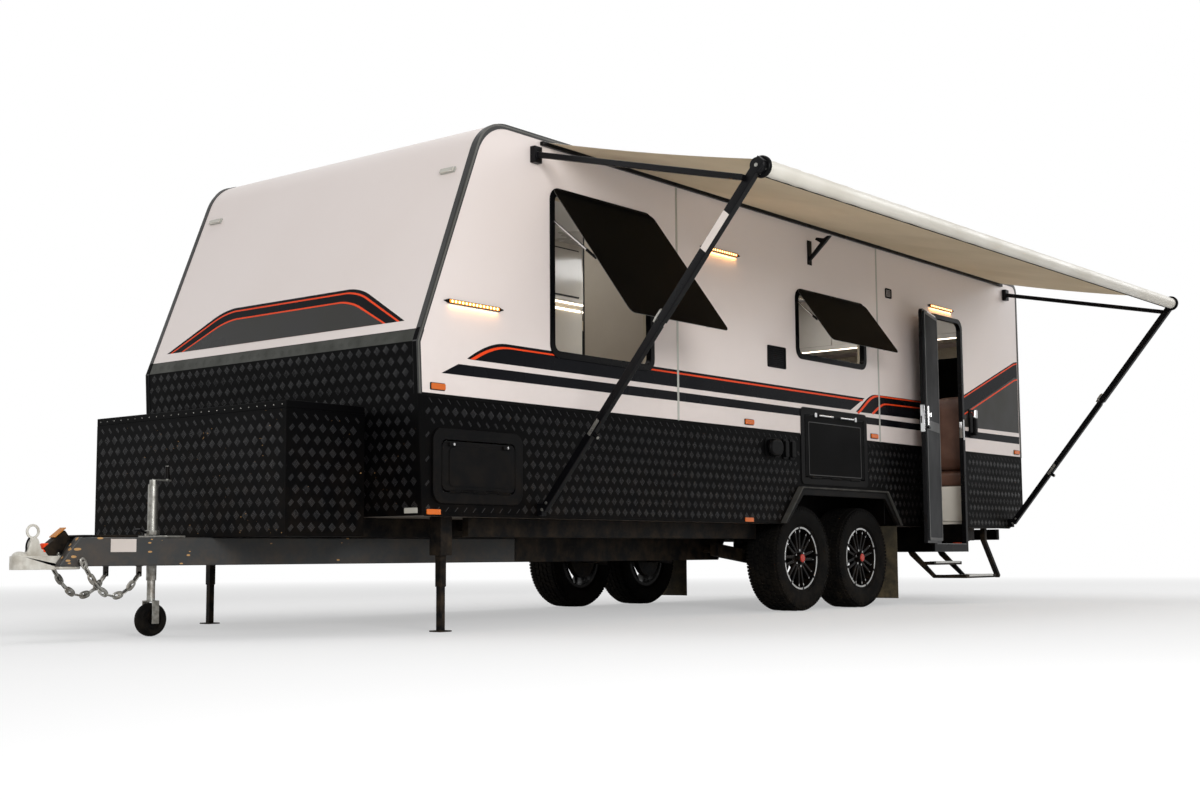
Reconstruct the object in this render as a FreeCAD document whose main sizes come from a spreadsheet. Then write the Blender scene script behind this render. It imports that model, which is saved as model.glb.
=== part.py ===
import FreeCAD, Part
import Sketcher
import math
import os
from FreeCAD import Placement, Rotation, Vector

# Travel caravan with a tandem axle, an A-frame drawbar and an open roll-out awning.
# Millimetres. +X is the door side, +Y runs rearwards, +Z is up.
# Places are written from the ground below the front wall and then shifted, so that
# the centre of the tow ball is the origin.

SIZES = {
    # Body shell
    "body_length": 7940,
    "half_width": 1220,
    "wall_thick": 30,
    "skirt_height": 640,
    "split_height": 1298,
    "roof_height": 2933,
    "foot_set": 82,
    "kink_set": 35,
    "kink_height": 1583,
    "front_split": 1657,
    "nose_set": 564,
    "nose_round": 300,
    "roof_round": 90,
    "nose_joint": 800,
    "tail_joint": 7740,
    "tail_cut_set": 7640,
    "tail_cut_height": 830,
    "trim_face": 26,
    "trim_thick": 3,
    # Tow ball and ground
    "ball_reach": 1550,
    "ball_height": 400,
    "ball_round": 25,
    # Running gear
    "axle_front": 4070,
    "axle_pitch": 894,
    "hub_height": 388,
    "tyre_round": 388,
    "tyre_wide": 265,
    "tread_half": 112,
    "bulge_round": 318,
    "rim_round": 232,
    "rim_seat": 221,
    "rim_inside": 203,
    "rim_half": 108,
    "rim_dish": 12,
    "hub_round": 78,
    "boss_deep": 70,
    "hub_bore": 31,
    
    "spoke_gap_inner": 17,
    "spoke_gap_outer": 50,
    "track_half": 1052,
    "arm_pivot_reach": 470,
    "arm_pivot_height": 455,
    "arm_deep": 90,
    "arm_thick": 70,
    "arm_set": 700,
    "drum_round": 150,
    "drum_thick": 50,
    "bellows_round": 62,
    "bellows_set": 150,
    "damper_round": 28,
    # Wheel openings
    "arch_front_foot": 3725,
    "arch_front_top": 3965,
    "arch_rear_top": 5240,
    "arch_rear_foot": 5455,
    "arch_height": 880,
    "arch_trim_wide": 62,
    "arch_trim_proud": 26,
    "box_inner": 862,
    "box_sheet": 5,
    "flap_low": 60,
    "flap_thick": 6,
    # Frame
    "rail_wide": 50,
    "rail_deep": 110,
    "rail_set": 600,
    "side_rail_set": 1000,
    "side_rail_front": 650,
    "side_rail_rear": 7300,
    "cross_first": 180,
    "cross_pitch": 800,
    "cross_wide": 40,
    "cross_deep": 70,
    "drawbar_deep": 150,
    "drawbar_tip": 170,
    "drawbar_tip_set": 75,
    "drawbar_nose": 100,
    "drawbar_joint": 1500,
    "raiser_end": 3860,
    "raiser_taper": 90,
    "end_plate": 12,
    # Coupling
    "coupling_wide": 96,
    "coupling_nose": 38,
    "coupling_deep": 70,
    "coupling_tail": 360,
    "tip_plate_long": 120,
    "lever_wide": 24,
    "latch_foot": 74,
    "latch_neck": 32,
    "latch_high": 92,
    "latch_round": 38,
    "latch_bar": 12,
    "brake_reach": 330,
    "brake_lever_wide": 56,
    "brake_lever_long": 150,
    "brake_lever_deep": 50,
    "brake_lever_slope": 38,
    "brake_foot": 65,
    "brake_set": 15,
    # Jockey wheel
    "jockey_reach": 760,
    "jockey_tube_round": 27,
    "jockey_tube_top": 820,
    "jockey_tube_low": 300,
    "jockey_inner_round": 22,
    "jockey_wheel_round": 90,
    "jockey_wheel_wide": 70,
    "jockey_wheel_fall": 16,
    "jockey_fork_thick": 6,
    "jockey_bore": 11,
    "clamp_plate": 10,
    "clamp_collar": 40,
    # Chains
    "link_long": 70,
    "link_wide": 44,
    "link_wire": 11,
    "link_slack": 0.7,
    "chain_set": 150,
    "chain_set_back": 95,
    "chain_high": 35,
    "chain_drop": 104,
    "lug_edge": 10,
    "lug_thick": 7,
    # Toolbox
    "toolbox_half": 855,
    "toolbox_deep": 554,
    "toolbox_top": 1243,
    "toolbox_lid": 42,
    "sheet_thick": 4,
    # Stabiliser legs
    "leg_set": 1030,
    "leg_front": 420,
    "leg_wide": 44,
    "leg_inner_wide": 36,
    "leg_foot": 90,
    "leg_foot_thick": 8,
    "leg_split": 250,
    "leg_bracket": 90,
    "rear_leg_top": 7480,
    "rear_leg_reach": 270,
    "rear_leg_low": 190,
    # Windows
    "bed_window_front": 1148,
    "bed_window_rear": 2190,
    "bed_window_low": 1600,
    "bed_window_high": 2640,
    "galley_window_front": 3950,
    "galley_window_rear": 5010,
    "galley_window_low": 1860,
    "galley_window_high": 2390,
    "window_round": 80,
    "window_rim": 34,
    "window_proud": 9,
    "pane_thick": 5,
    "pane_swing": 36,
    "stay_round": 6,
    "stay_ball": 9,
    # Doorway
    "door_front": 6100,
    "door_rear": 6740,
    "door_high": 2460,
    "door_low": 429,
    "door_round": 85,
    "door_rim": 38,
    "door_lip": 18,
    "door_proud": 10,
    "door_sill": 495,
    "door_thick": 30,
    "door_screen_thick": 13,
    "door_screen_inset": 20,
    "door_window_high": 2290,
    "door_window_low": 1640,
    "door_window_side": 110,
    "door_open": 165,
    "knuckle_round": 7,
    "barrel_round": 5,
    "knuckle_long": 60,
    "well_inner": 800,
    # Entry step
    "step_deep": 200,
    "step_low": 210,
    "step_reach": 270,
    "step_tube": 14,
    "step_inset": 30,
    # Locker door and fold-down table
    "boot_front": 155,
    "boot_rear": 886,
    "boot_low": 707,
    "boot_high": 1120,
    "boot_rim": 42,
    "boot_round": 70,
    "boot_proud": 14,
    "table_front": 3995,
    "table_rear": 4990,
    "table_low": 930,
    "table_high": 1505,
    "table_rim": 26,
    "table_proud": 6,
    "table_recess": 70,
    "leaf_thick": 18,
    "leaf_round": 40,
    # Fittings on the wall
    "lamp_first": 138,
    "lamp_second": 3245,
    "lamp_third": 5053,
    "lamp_fourth": 7770,
    "lamp_long": 115,
    "lamp_high": 42,
    "lamp_proud": 15,
    "lamp_low": 1324,
    "strip_first": 237,
    "strip_second": 2720,
    "strip_third": 6098,
    "strip_first_height": 1817,
    "strip_second_height": 2500,
    "strip_third_height": 2508,
    "strip_long": 495,
    "strip_high": 26,
    "strip_proud": 16,
    "reflector_long": 107,
    "reflector_high": 29,
    "reflector_proud": 5,
    "reflector_second": 3234,
    "vent_front": 3558,
    "vent_wide": 246,
    "vent_low": 1762,
    "vent_high": 1921,
    "vent_proud": 8,
    "socket_front": 3495,
    "socket_wide": 190,
    "socket_gap": 30,
    "socket_low": 1117,
    "socket_high": 1229,
    "socket_proud": 22,
    "handle_set": 6870,
    "handle_low": 1437,
    "handle_high": 1667,
    "handle_wide": 46,
    "handle_out": 62,
    "handle_thick": 16,
    "speaker_front": 5352,
    "speaker_wide": 103,
    "speaker_low": 2490,
    "speaker_high": 2570,
    # Rear
    "bumper_gap": 110,
    "bumper_half": 900,
    "bumper_deep": 100,
    "bumper_thick": 60,
    "spare_height": 1060,
    "spare_post": 80,
    "cover_slack": 12,
    "cover_round": 50,
    "tail_lamp_wide": 90,
    "tail_lamp_low": 1000,
    "tail_lamp_high": 1500,
    "tail_lamp_set": 1080,
    "tail_lamp_proud": 30,
    # Awning
    "awning_front": 1062,
    "awning_rear": 7600,
    "roller_set": 2780,
    "roller_front_height": 2490,
    "roller_rear_height": 2550,
    "roller_round": 44,
    "cap_round": 62,
    "cap_thick": 30,
    "wall_rail_height": 2872,
    "wall_rail_deep": 26,
    "wall_rail_proud": 24,
    "fabric_thick": 3,
    "fabric_inset": 14,
    "awning_arm_wide": 40,
    "awning_arm_deep": 46,
    "awning_inner_deep": 36,
    "awning_foot": 687,
    "foot_proud": 42,
    "foot_high": 74,
    "rafter_deep": 34,
    "rafter_wide": 34,
    "rafter_height": 2800,
    "rafter_drop": 62,
    "rafter_back": 70,
    "bracket_high": 100,
    "bracket_proud": 30,
    "cradle_front": 4140,
    "cradle_wide": 60,
    "cradle_low": 2588,
    "cradle_high": 2775,
    "cradle_out": 150,
    # Roof
    "cooler_front": 3900,
    "cooler_long": 1050,
    "cooler_half": 350,
    "cooler_high": 210,
    "cooler_round": 60,
    "hatch_long": 560,
    "hatch_half": 280,
    "hatch_high": 70,
    "hatch_first": 1500,
    "hatch_second": 6200,
    # Inside
    "bed_high": 1130,
    "bed_rear": 2350,
    "mattress_thick": 200,
    "mattress_half": 780,
    "galley_front": 2900,
    "galley_rear": 5900,
    "galley_deep": 560,
    "galley_high": 1560,
    "locker_low": 2430,
    "locker_deep": 330,
    "lounge_front": 6940,
    "lounge_seat": 1010,
    "lounge_back": 1700,
    "cushion_thick": 140,
    "fit_gap": 0.4,
    "running_gap": 0.08,
    "moving_gap": 6,
    "overrun": 20,
}

doc = FreeCAD.newDocument("Caravan")


class Size:
    """A length that keeps its formula over the sheet's cells beside its value."""

    def __init__(self, text, value):
        self.text = text
        self.value = value

    def _joined(self, other, mark, value):
        return Size(f"({self.text} {mark} {formula(other)})", value)

    def __add__(self, other):
        return self._joined(other, "+", self.value + number(other))

    def __sub__(self, other):
        return self._joined(other, "-", self.value - number(other))

    def __mul__(self, other):
        return self._joined(other, "*", self.value * number(other))

    def __truediv__(self, other):
        return self._joined(other, "/", self.value / number(other))

    def __neg__(self):
        return Size(f"(0 - {self.text})", -self.value)


def formula(size):
    """The expression of a size, or the digits of a plain share."""
    return size.text if isinstance(size, Size) else str(size)


def number(size):
    """The value of a size, or of a plain share."""
    return size.value if isinstance(size, Size) else float(size)


def distance(run, rise):
    """The length of the slope that covers run and rise."""
    text = f"sqrt({formula(run)} ^ 2 + {formula(rise)} ^ 2)"
    return Size(text, math.hypot(number(run), number(rise)))


def sine(angle):
    """The sine of an angle in degrees."""
    return Size(f"sin({formula(angle)})", math.sin(math.radians(number(angle))))


def cosine(angle):
    """The cosine of an angle in degrees."""
    return Size(f"cos({formula(angle)})", math.cos(math.radians(number(angle))))


def slope_angle(run, rise):
    """The angle, in degrees, of a slope that covers run and rise."""
    text = f"atan2({formula(rise)}; {formula(run)})"
    return Size(text, math.degrees(math.atan2(number(rise), number(run))))


def make_sheet():
    """Write the driving sizes to a sheet and return them by name."""
    sheet = doc.addObject("Spreadsheet::Sheet", "Sizes")
    for row, (name, value) in enumerate(SIZES.items(), 1):
        sheet.set(f"A{row}", name)
        sheet.set(f"B{row}", str(value))
        sheet.setAlias(f"B{row}", name)
    doc.recompute()
    return {name: Size(f"Sizes.{name}", value) for name, value in SIZES.items()}


class Named:
    """The sizes as attributes, so that a formula reads as plain words."""

    def __init__(self, sizes):
        self.__dict__.update(sizes)


d = Named(make_sheet())
ZERO = Size("0", 0)
BACK = Rotation(Vector(0, 0, 1), 180)


def bind(thing, **formulas):
    """Tie each property of an object to its formula."""
    for name, size in formulas.items():
        thing.setExpression(name, formula(size))


def place(thing, across, along, up, rotation=None):
    """Put an object at a place that is counted from the ground below the front wall."""
    if rotation is not None:
        thing.Placement = Placement(Vector(), rotation)
    thing.setExpression("Placement.Base.x", formula(across))
    thing.setExpression("Placement.Base.y", formula(along + d.ball_reach))
    thing.setExpression("Placement.Base.z", formula(up - d.ball_height))
    return thing


def box(label, at, size):
    """A block with its low corner at a place."""
    block = doc.addObject("Part::Box", label)
    block.Label = label
    bind(block, Length=size[0], Width=size[1], Height=size[2])
    return place(block, *at)


TURNS = {
    "X": Rotation(Vector(0, 1, 0), 90),
    "Y": Rotation(Vector(1, 0, 0), -90),
    "Z": Rotation(),
}


def rod(label, at, axis, radius, length):
    """A round bar from a place along the X, Y or Z axis."""
    bar = doc.addObject("Part::Cylinder", label)
    bar.Label = label
    bind(bar, Radius=radius, Height=length)
    return place(bar, *at, TURNS[axis])


def prism(label, at, axis, radius, length, sides=8):
    """A bar with many flat sides, whose corners lie at the radius."""
    bar = doc.addObject("Part::Prism", label)
    bar.Label = label
    bar.Polygon = sides
    bind(bar, Circumradius=radius, Height=length)
    return place(bar, *at, TURNS[axis])


def strut(label, start, end, along, wide, deep):
    """A square bar between two (across, up) points, in an upright plane across the body."""
    run = end[0] - start[0]
    rise = end[1] - start[1]
    long = distance(run, rise)
    bar = doc.addObject("Part::Box", label)
    bar.Label = label
    bind(bar, Length=long, Width=wide, Height=deep)
    across = start[0] + deep / 2 * rise / long
    up = start[1] - deep / 2 * run / long
    place(bar, across, along, up, Rotation(Vector(0, 1, 0), -1))
    bar.setExpression("Placement.Rotation.Angle", formula(slope_angle(run, rise)))
    bar.setExpression("Placement.Rotation.Axis.y", "-1")
    return bar


def thin_strut(label, start, end, along, radius):
    """A six-sided bar between two (across, up) points, in an upright plane across the body."""
    run = end[0] - start[0]
    rise = end[1] - start[1]
    bar = doc.addObject("Part::Prism", label)
    bar.Label = label
    bar.Polygon = 6
    bind(bar, Circumradius=radius, Height=distance(run, rise))
    place(bar, start[0], along, start[1], Rotation(Vector(0, 1, 0), 1))
    bar.setExpression("Placement.Rotation.Angle", formula(slope_angle(rise, run)))
    return bar


def joined(label, pieces):
    """Several shapes made one."""
    whole = doc.addObject("Part::MultiFuse", label)
    whole.Label = label
    whole.Shapes = pieces
    return whole


def cut_from(label, base, tool):
    """A shape with another taken out of it."""
    rest = doc.addObject("Part::Cut", label)
    rest.Label = label
    rest.Base = base
    rest.Tool = tool
    return rest


def grouped(label, pieces):
    """Like pieces that stay separate solids of one sub-part."""
    group = doc.addObject("Part::Compound", label)
    group.Label = label
    group.Links = pieces
    return group


def turn_back(label, piece):
    """The same piece mirrored to the other side of the centre plane."""
    mirror = doc.addObject("Part::Mirroring", label)
    mirror.Label = label
    mirror.Source = piece
    mirror.Normal = Vector(1, 0, 0)
    return mirror


def both_sides(label, pieces):
    """Pieces of the door side together with their mirror images."""
    mirrored = [turn_back(f"{piece.Label}_far", piece) for piece in pieces]
    return grouped(label, pieces + mirrored)


class Corner:
    """A corner of an outline, with the ends of its round where it has one."""

    def __init__(self, corners, index):
        here = corners[index]
        before = corners[index - 1]
        after = corners[(index + 1) % len(corners)]
        self.across = here[0]
        self.up = here[1]
        self.radius = here[2] if len(here) > 2 else None
        self.point = Vector(number(here[0]), number(here[1]), 0)
        self.entry = self.point
        self.exit = self.point
        if self.radius is not None:
            self._round(before, after)

    def _round(self, before, after):
        way_in = self.point - Vector(number(before[0]), number(before[1]), 0)
        way_out = Vector(number(after[0]), number(after[1]), 0) - self.point
        way_in.normalize()
        way_out.normalize()
        turn = way_in.getAngle(way_out)
        radius = number(self.radius)
        back = radius * math.tan(turn / 2)
        self.entry = self.point - way_in * back
        self.exit = self.point + way_out * back
        self.left = way_in.cross(way_out).z > 0
        side = Vector(-way_in.y, way_in.x, 0) if self.left else Vector(way_in.y, -way_in.x, 0)
        self.centre = self.entry + side * radius

    def arc(self):
        """The round as a counter-clockwise arc."""
        first, last = (self.entry, self.exit) if self.left else (self.exit, self.entry)
        start = math.atan2(first.y - self.centre.y, first.x - self.centre.x)
        end = math.atan2(last.y - self.centre.y, last.x - self.centre.x)
        circle = Part.Circle(self.centre, Vector(0, 0, 1), number(self.radius))
        return Part.ArcOfCircle(circle, start, end)


def pin_point(constraints, formulas, geometry, spot, corner):
    """Fix a point of a sketch at its corner's two sizes."""
    for kind, size, axis in (("DistanceX", corner.across, -2), ("DistanceY", corner.up, -1)):
        value = number(size)
        if abs(value) < 1e-9:
            constraints.append(Sketcher.Constraint("PointOnObject", geometry, spot, axis))
            formulas.append(None)
        elif value > 0:
            constraints.append(Sketcher.Constraint(kind, -1, 1, geometry, spot, value))
            formulas.append(formula(size))
        else:
            constraints.append(Sketcher.Constraint(kind, geometry, spot, -1, 1, -value))
            formulas.append(f"0 - {formula(size)}")


def draw_outline(sketch, outline):
    """Draw a closed outline of straight edges and rounds, held by its named sizes."""
    corners = [Corner(outline, index) for index in range(len(outline))]
    count = len(corners)
    lines = []
    for index in range(count):
        edge = Part.LineSegment(corners[index].exit, corners[(index + 1) % count].entry)
        lines.append(sketch.addGeometry(edge, False))
    constraints = []
    formulas = []
    for index, corner in enumerate(corners):
        before = lines[index - 1]
        after = lines[index]
        if corner.radius is None:
            constraints.append(Sketcher.Constraint("Coincident", before, 2, after, 1))
            formulas.append(None)
            pin_point(constraints, formulas, after, 1, corner)
            continue
        arc = sketch.addGeometry(corner.arc(), False)
        spot = sketch.addGeometry(Part.Point(corner.point), True)
        first, last = (1, 2) if corner.left else (2, 1)
        constraints += [
            Sketcher.Constraint("Tangent", before, 2, arc, first),
            Sketcher.Constraint("Tangent", arc, last, after, 1),
            Sketcher.Constraint("PointOnObject", spot, 1, before),
            Sketcher.Constraint("PointOnObject", spot, 1, after),
            Sketcher.Constraint("Radius", arc, number(corner.radius)),
        ]
        formulas += [None, None, None, None, formula(corner.radius)]
        pin_point(constraints, formulas, spot, 1, corner)
    numbers = sketch.addConstraint(constraints)
    for index, text in zip(numbers, formulas):
        if text is not None:
            sketch.setExpression(f"Constraints[{index}]", text)


def draw_circle(sketch, centre, radius):
    """Draw a circle held by its centre and radius."""
    corner = Corner([centre, centre], 0)
    circle = Part.Circle(corner.point, Vector(0, 0, 1), number(radius))
    ring = sketch.addGeometry(circle, False)
    constraints = []
    formulas = []
    pin_point(constraints, formulas, ring, 3, corner)
    constraints.append(Sketcher.Constraint("Radius", ring, number(radius)))
    formulas.append(formula(radius))
    numbers = sketch.addConstraint(constraints)
    for index, text in zip(numbers, formulas):
        if text is not None:
            sketch.setExpression(f"Constraints[{index}]", text)


def sketch_on(body, role, outlines, offset=ZERO):
    """A sketch on one of a body's own origin planes."""
    sketch = body.newObject("Sketcher::SketchObject", f"{body.Name}_sketch")
    plane = next(item for item in body.Origin.OriginFeatures if item.Role == role)
    sketch.AttachmentSupport = [(plane, "")]
    sketch.MapMode = "FlatFace"
    sketch.setExpression("AttachmentOffset.Base.z", formula(offset))
    for outline in outlines:
        if isinstance(outline, tuple):
            draw_circle(sketch, *outline)
        else:
            draw_outline(sketch, outline)
    return sketch


def new_body(label):
    body = doc.addObject("PartDesign::Body", label)
    body.Label = label
    return body


def add_pad(body, role, outlines, start, thick):
    """Thicken outlines from a plane. Along Y the plane's normal points forward."""
    offset = -(start + thick) if role == "XZ_Plane" else start
    pad = body.newObject("PartDesign::Pad", f"{body.Name}_pad")
    pad.Profile = sketch_on(body, role, outlines, offset)
    pad.setExpression("Length", formula(thick))
    return pad


def panel(label, role, outlines, start, thick, at=None):
    """A flat piece: outlines on a plane, thickened from start towards the axis' plus end."""
    body = new_body(label)
    add_pad(body, role, outlines, start, thick)
    place(body, *(at or (ZERO, ZERO, ZERO)))
    return body


def rectangle(low_a, high_a, low_b, high_b, radius=None):
    """Four corners, rounded where a radius is given."""
    rounding = () if radius is None else (radius,)
    return [
        (low_a, low_b) + rounding,
        (high_a, low_b) + rounding,
        (high_a, high_b) + rounding,
        (low_a, high_b) + rounding,
    ]


def many_sided(radius, sides=36):
    """Corners of a ring with many flat sides, at a radius about the sketch's origin."""
    corners = []
    for index in range(sides):
        angle = math.radians(360 / sides * index)
        across_share = round(math.cos(angle), 9)
        up_share = round(math.sin(angle), 9)
        corners.append((radius * across_share, radius * up_share))
    return corners


def shouldered(label, at, radius, wide, drop, fall, bores=(), sides=36, rotation=None):
    """A wheel with many flats about the X direction, whose shoulders fall away to its walls."""
    body = new_body(label)
    add_pad(body, "YZ_Plane", [many_sided(radius, sides), *bores], -wide / 2, wide)
    place(body, *at, rotation)
    doc.recompute()
    pad = body.Tip
    edges = []
    for index, edge in enumerate(pad.Shape.Edges):
        spot = edge.Vertexes[0].Point
        outside = math.hypot(spot.y, spot.z) > number(radius - drop)
        if outside and edge.BoundBox.XLength < number(wide) / 2:
            edges.append(f"Edge{index + 1}")
    shoulders = body.newObject("PartDesign::Chamfer", f"{label}_shoulders")
    shoulders.Base = (pad, edges)
    shoulders.ChamferType = "Two distances"
    bind(shoulders, Size=fall, Size2=drop)
    body.Tip = shoulders
    return body


# Lines that several panels share

INNER = d.half_width - d.wall_thick


def front_line(up):
    """How far back the front wall's face lies at a height, below and above its kink."""
    if number(up) <= number(d.kink_height):
        share = (up - d.skirt_height) / (d.kink_height - d.skirt_height)
        return d.foot_set + (d.kink_set - d.foot_set) * share
    share = (up - d.kink_height) / (d.roof_height - d.kink_height)
    return d.kink_set + (d.nose_set - d.kink_set) * share


def arch_outline(margin):
    """The wheel opening's outline, drawn larger by a margin and open to the ground."""
    return [
        (d.arch_front_foot - margin, d.skirt_height),
        (d.arch_front_top - margin / 2, d.arch_height + margin),
        (d.arch_rear_top + margin / 2, d.arch_height + margin),
        (d.arch_rear_foot + margin, d.skirt_height),
    ]


# Walls, roof and floor


def boot_opening():
    """The cut in the wall; the frame covers its corners."""
    return rectangle(d.boot_front + d.boot_rim, d.boot_rear - d.boot_rim,
                     d.boot_low + d.boot_rim, d.boot_high - d.boot_rim)


def window_opening(front, rear, low, high):
    """The cut in the wall; the frame's flange covers its corners."""
    rim = d.window_rim
    return rectangle(front + rim, rear - rim, low + rim, high - rim)


def window_openings():
    return [
        window_opening(d.bed_window_front, d.bed_window_rear,
                       d.bed_window_low, d.bed_window_high),
        window_opening(d.galley_window_front, d.galley_window_rear,
                       d.galley_window_low, d.galley_window_high),
    ]


def table_corners():
    """The table's opening in the wall, as its front, rear, low and high edges."""
    rim = d.table_rim
    return d.table_front + rim, d.table_rear - rim, d.table_low + rim, d.table_high - rim


def left_wall_lower():
    """Dark cladding on the door side, in two lengths beside the doorway."""
    front, rear, low, high = table_corners()
    arch = arch_outline(ZERO)
    door_front = d.door_front + d.door_lip
    door_rear = d.door_rear - d.door_lip
    fore = [(d.foot_set, d.skirt_height)] + arch + [
        (door_front, d.skirt_height),
        (door_front, d.split_height),
        (rear, d.split_height),
        (rear, low),
        (front, low),
        (front, d.split_height),
        (front_line(d.split_height), d.split_height),
    ]
    aft = [
        (door_rear, d.skirt_height),
        (d.tail_cut_set, d.skirt_height),
        (d.body_length, d.tail_cut_height),
        (d.body_length, d.split_height),
        (door_rear, d.split_height),
    ]
    fore_piece = panel("left_wall_fore", "YZ_Plane", [fore, boot_opening()], INNER, d.wall_thick)
    aft_piece = panel("left_wall_aft", "YZ_Plane", [aft], INNER, d.wall_thick)
    return grouped("left_wall_lower", [fore_piece, aft_piece])


def upper_outline():
    """The side wall's outline above the cladding, from the front foot round to the rear."""
    return [
        (front_line(d.split_height), d.split_height),
        (d.kink_set, d.kink_height),
        (d.nose_set, d.roof_height, d.nose_round),
        (d.body_length, d.roof_height, d.roof_round),
        (d.body_length, d.split_height),
    ]


def left_wall_upper():
    """Pale upper wall on the door side, with its windows, doorway and table opening cut."""
    front, rear, low, high = table_corners()
    door_front = d.door_front + d.door_lip
    door_rear = d.door_rear - d.door_lip
    door_top = d.door_high - d.door_lip
    outline = upper_outline() + [
        (door_rear, d.split_height),
        (door_rear, door_top, d.door_round),
        (door_front, door_top, d.door_round),
        (door_front, d.split_height),
        (rear, d.split_height),
        (rear, high),
        (front, high),
        (front, d.split_height),
    ]
    return panel("left_wall_upper", "YZ_Plane", [outline] + window_openings(), INNER, d.wall_thick)


def right_wall_lower():
    outline = [(d.foot_set, d.skirt_height)] + arch_outline(ZERO) + [
        (d.tail_cut_set, d.skirt_height),
        (d.body_length, d.tail_cut_height),
        (d.body_length, d.split_height),
        (front_line(d.split_height), d.split_height),
    ]
    return panel("right_wall_lower", "YZ_Plane", [outline, boot_opening()],
                 -d.half_width, d.wall_thick)


def right_wall_upper():
    return panel("right_wall_upper", "YZ_Plane", [upper_outline()] + window_openings(),
                 -d.half_width, d.wall_thick)


def across_panel(label, outline):
    """A panel that fills the width between the side walls."""
    return panel(label, "YZ_Plane", [outline], -INNER, INNER * 2)


def front_wall_lower():
    thick = d.wall_thick
    return across_panel("front_wall_lower", [
        (d.foot_set, d.skirt_height),
        (d.kink_set, d.kink_height),
        (front_line(d.front_split), d.front_split),
        (front_line(d.front_split) + thick, d.front_split),
        (d.kink_set + thick, d.kink_height),
        (d.foot_set + thick, d.skirt_height),
    ])


def front_wall_upper():
    """Sloping front with the curve that turns it into the roof."""
    thick = d.wall_thick
    under = d.roof_height - thick
    return across_panel("front_wall_upper", [
        (front_line(d.front_split), d.front_split),
        (d.nose_set, d.roof_height, d.nose_round),
        (d.nose_joint, d.roof_height),
        (d.nose_joint, under),
        (front_line(under) + thick, under, d.nose_round - thick),
        (front_line(d.front_split) + thick, d.front_split),
    ])


def roof():
    low = d.roof_height - d.wall_thick
    return across_panel("roof", rectangle(d.nose_joint, d.tail_joint, low, d.roof_height))


def rear_wall():
    """Rear wall with its round at the roof and the raked panel that clears the ground."""
    thick = d.wall_thick
    return across_panel("rear_wall", [
        (d.tail_joint, d.roof_height),
        (d.body_length, d.roof_height, d.roof_round),
        (d.body_length, d.tail_cut_height),
        (d.tail_cut_set, d.skirt_height),
        (d.tail_cut_set, d.skirt_height + thick),
        (d.body_length - thick, d.tail_cut_height + thick / 2),
        (d.body_length - thick, d.roof_height - thick, d.roof_round - thick),
        (d.tail_joint, d.roof_height - thick),
    ])


def floor():
    """Floor with notches for the wheel housings and the step well."""
    box_front = d.arch_front_foot - d.box_sheet
    box_rear = d.arch_rear_foot + d.box_sheet
    box_in = d.box_inner - d.box_sheet
    well_front = d.door_front
    well_rear = d.door_rear
    well_in = d.well_inner - d.sheet_thick
    start = d.foot_set + d.wall_thick
    outline = [
        (-INNER, start),
        (INNER, start),
        (INNER, box_front),
        (box_in, box_front),
        (box_in, box_rear),
        (INNER, box_rear),
        (INNER, well_front),
        (well_in, well_front),
        (well_in, well_rear),
        (INNER, well_rear),
        (INNER, d.tail_cut_set),
        (-INNER, d.tail_cut_set),
        (-INNER, box_rear),
        (-box_in, box_rear),
        (-box_in, box_front),
        (-INNER, box_front),
    ]
    return panel("floor", "XY_Plane", [outline], d.skirt_height, d.wall_thick)


def wheel_boxes():
    """Moulded housings over each wheel pair, closed towards the cabin."""
    sheet = d.box_sheet
    outer = panel("housing_outer", "YZ_Plane", [arch_outline(sheet)],
                  d.box_inner - sheet, INNER - d.box_inner + sheet)
    hollow = [
        (d.arch_front_foot, d.skirt_height - d.overrun),
        (d.arch_front_foot, d.skirt_height),
        (d.arch_front_top, d.arch_height),
        (d.arch_rear_top, d.arch_height),
        (d.arch_rear_foot, d.skirt_height),
        (d.arch_rear_foot, d.skirt_height - d.overrun),
    ]
    inner = panel("housing_hollow", "YZ_Plane", [hollow], d.box_inner,
                  INNER - d.box_inner + d.overrun)
    return both_sides("wheel_boxes", [cut_from("housing", outer, inner)])


def arch_trims():
    """Angular rims around the wheel openings, standing proud of the wall."""
    trim = d.arch_trim_wide
    inside = [
        (d.arch_front_foot + trim / 2, d.skirt_height),
        (d.arch_front_top + trim / 4, d.arch_height - trim / 2),
        (d.arch_rear_top - trim / 4, d.arch_height - trim / 2),
        (d.arch_rear_foot - trim / 2, d.skirt_height),
    ]
    outline = arch_outline(trim / 2) + list(reversed(inside))
    ring = panel("arch_trim", "YZ_Plane", [outline], d.half_width, d.arch_trim_proud)
    return both_sides("arch_trims", [ring])


def edge_trims():
    """Mouldings that cap the joint of each side wall with the front, roof and rear."""
    proud = d.trim_thick
    face = d.trim_face
    low = d.split_height
    outer = [
        (front_line(low) - proud, low),
        (d.kink_set - proud, d.kink_height),
        (d.nose_set - proud, d.roof_height + proud, d.nose_round),
        (d.body_length + proud, d.roof_height + proud, d.roof_round),
        (d.body_length + proud, low),
    ]
    inner = [
        (front_line(low) + face, low),
        (d.kink_set + face, d.kink_height),
        (d.nose_set + face, d.roof_height - face, d.nose_round - face),
        (d.body_length - face, d.roof_height - face, d.roof_round - face),
        (d.body_length - face, low),
    ]
    cap = [
        (front_line(low), low),
        (d.kink_set, d.kink_height),
        (d.nose_set, d.roof_height, d.nose_round),
        (d.body_length, d.roof_height, d.roof_round),
        (d.body_length, low),
    ]
    side = panel("edge_side", "YZ_Plane", [outer + list(reversed(inner))], d.half_width, proud)
    over = panel("edge_over", "YZ_Plane", [outer + list(reversed(cap))], INNER, d.wall_thick)
    return both_sides("edge_trims", [joined("edge_trim", [side, over])])


# Frame under the body


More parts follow.
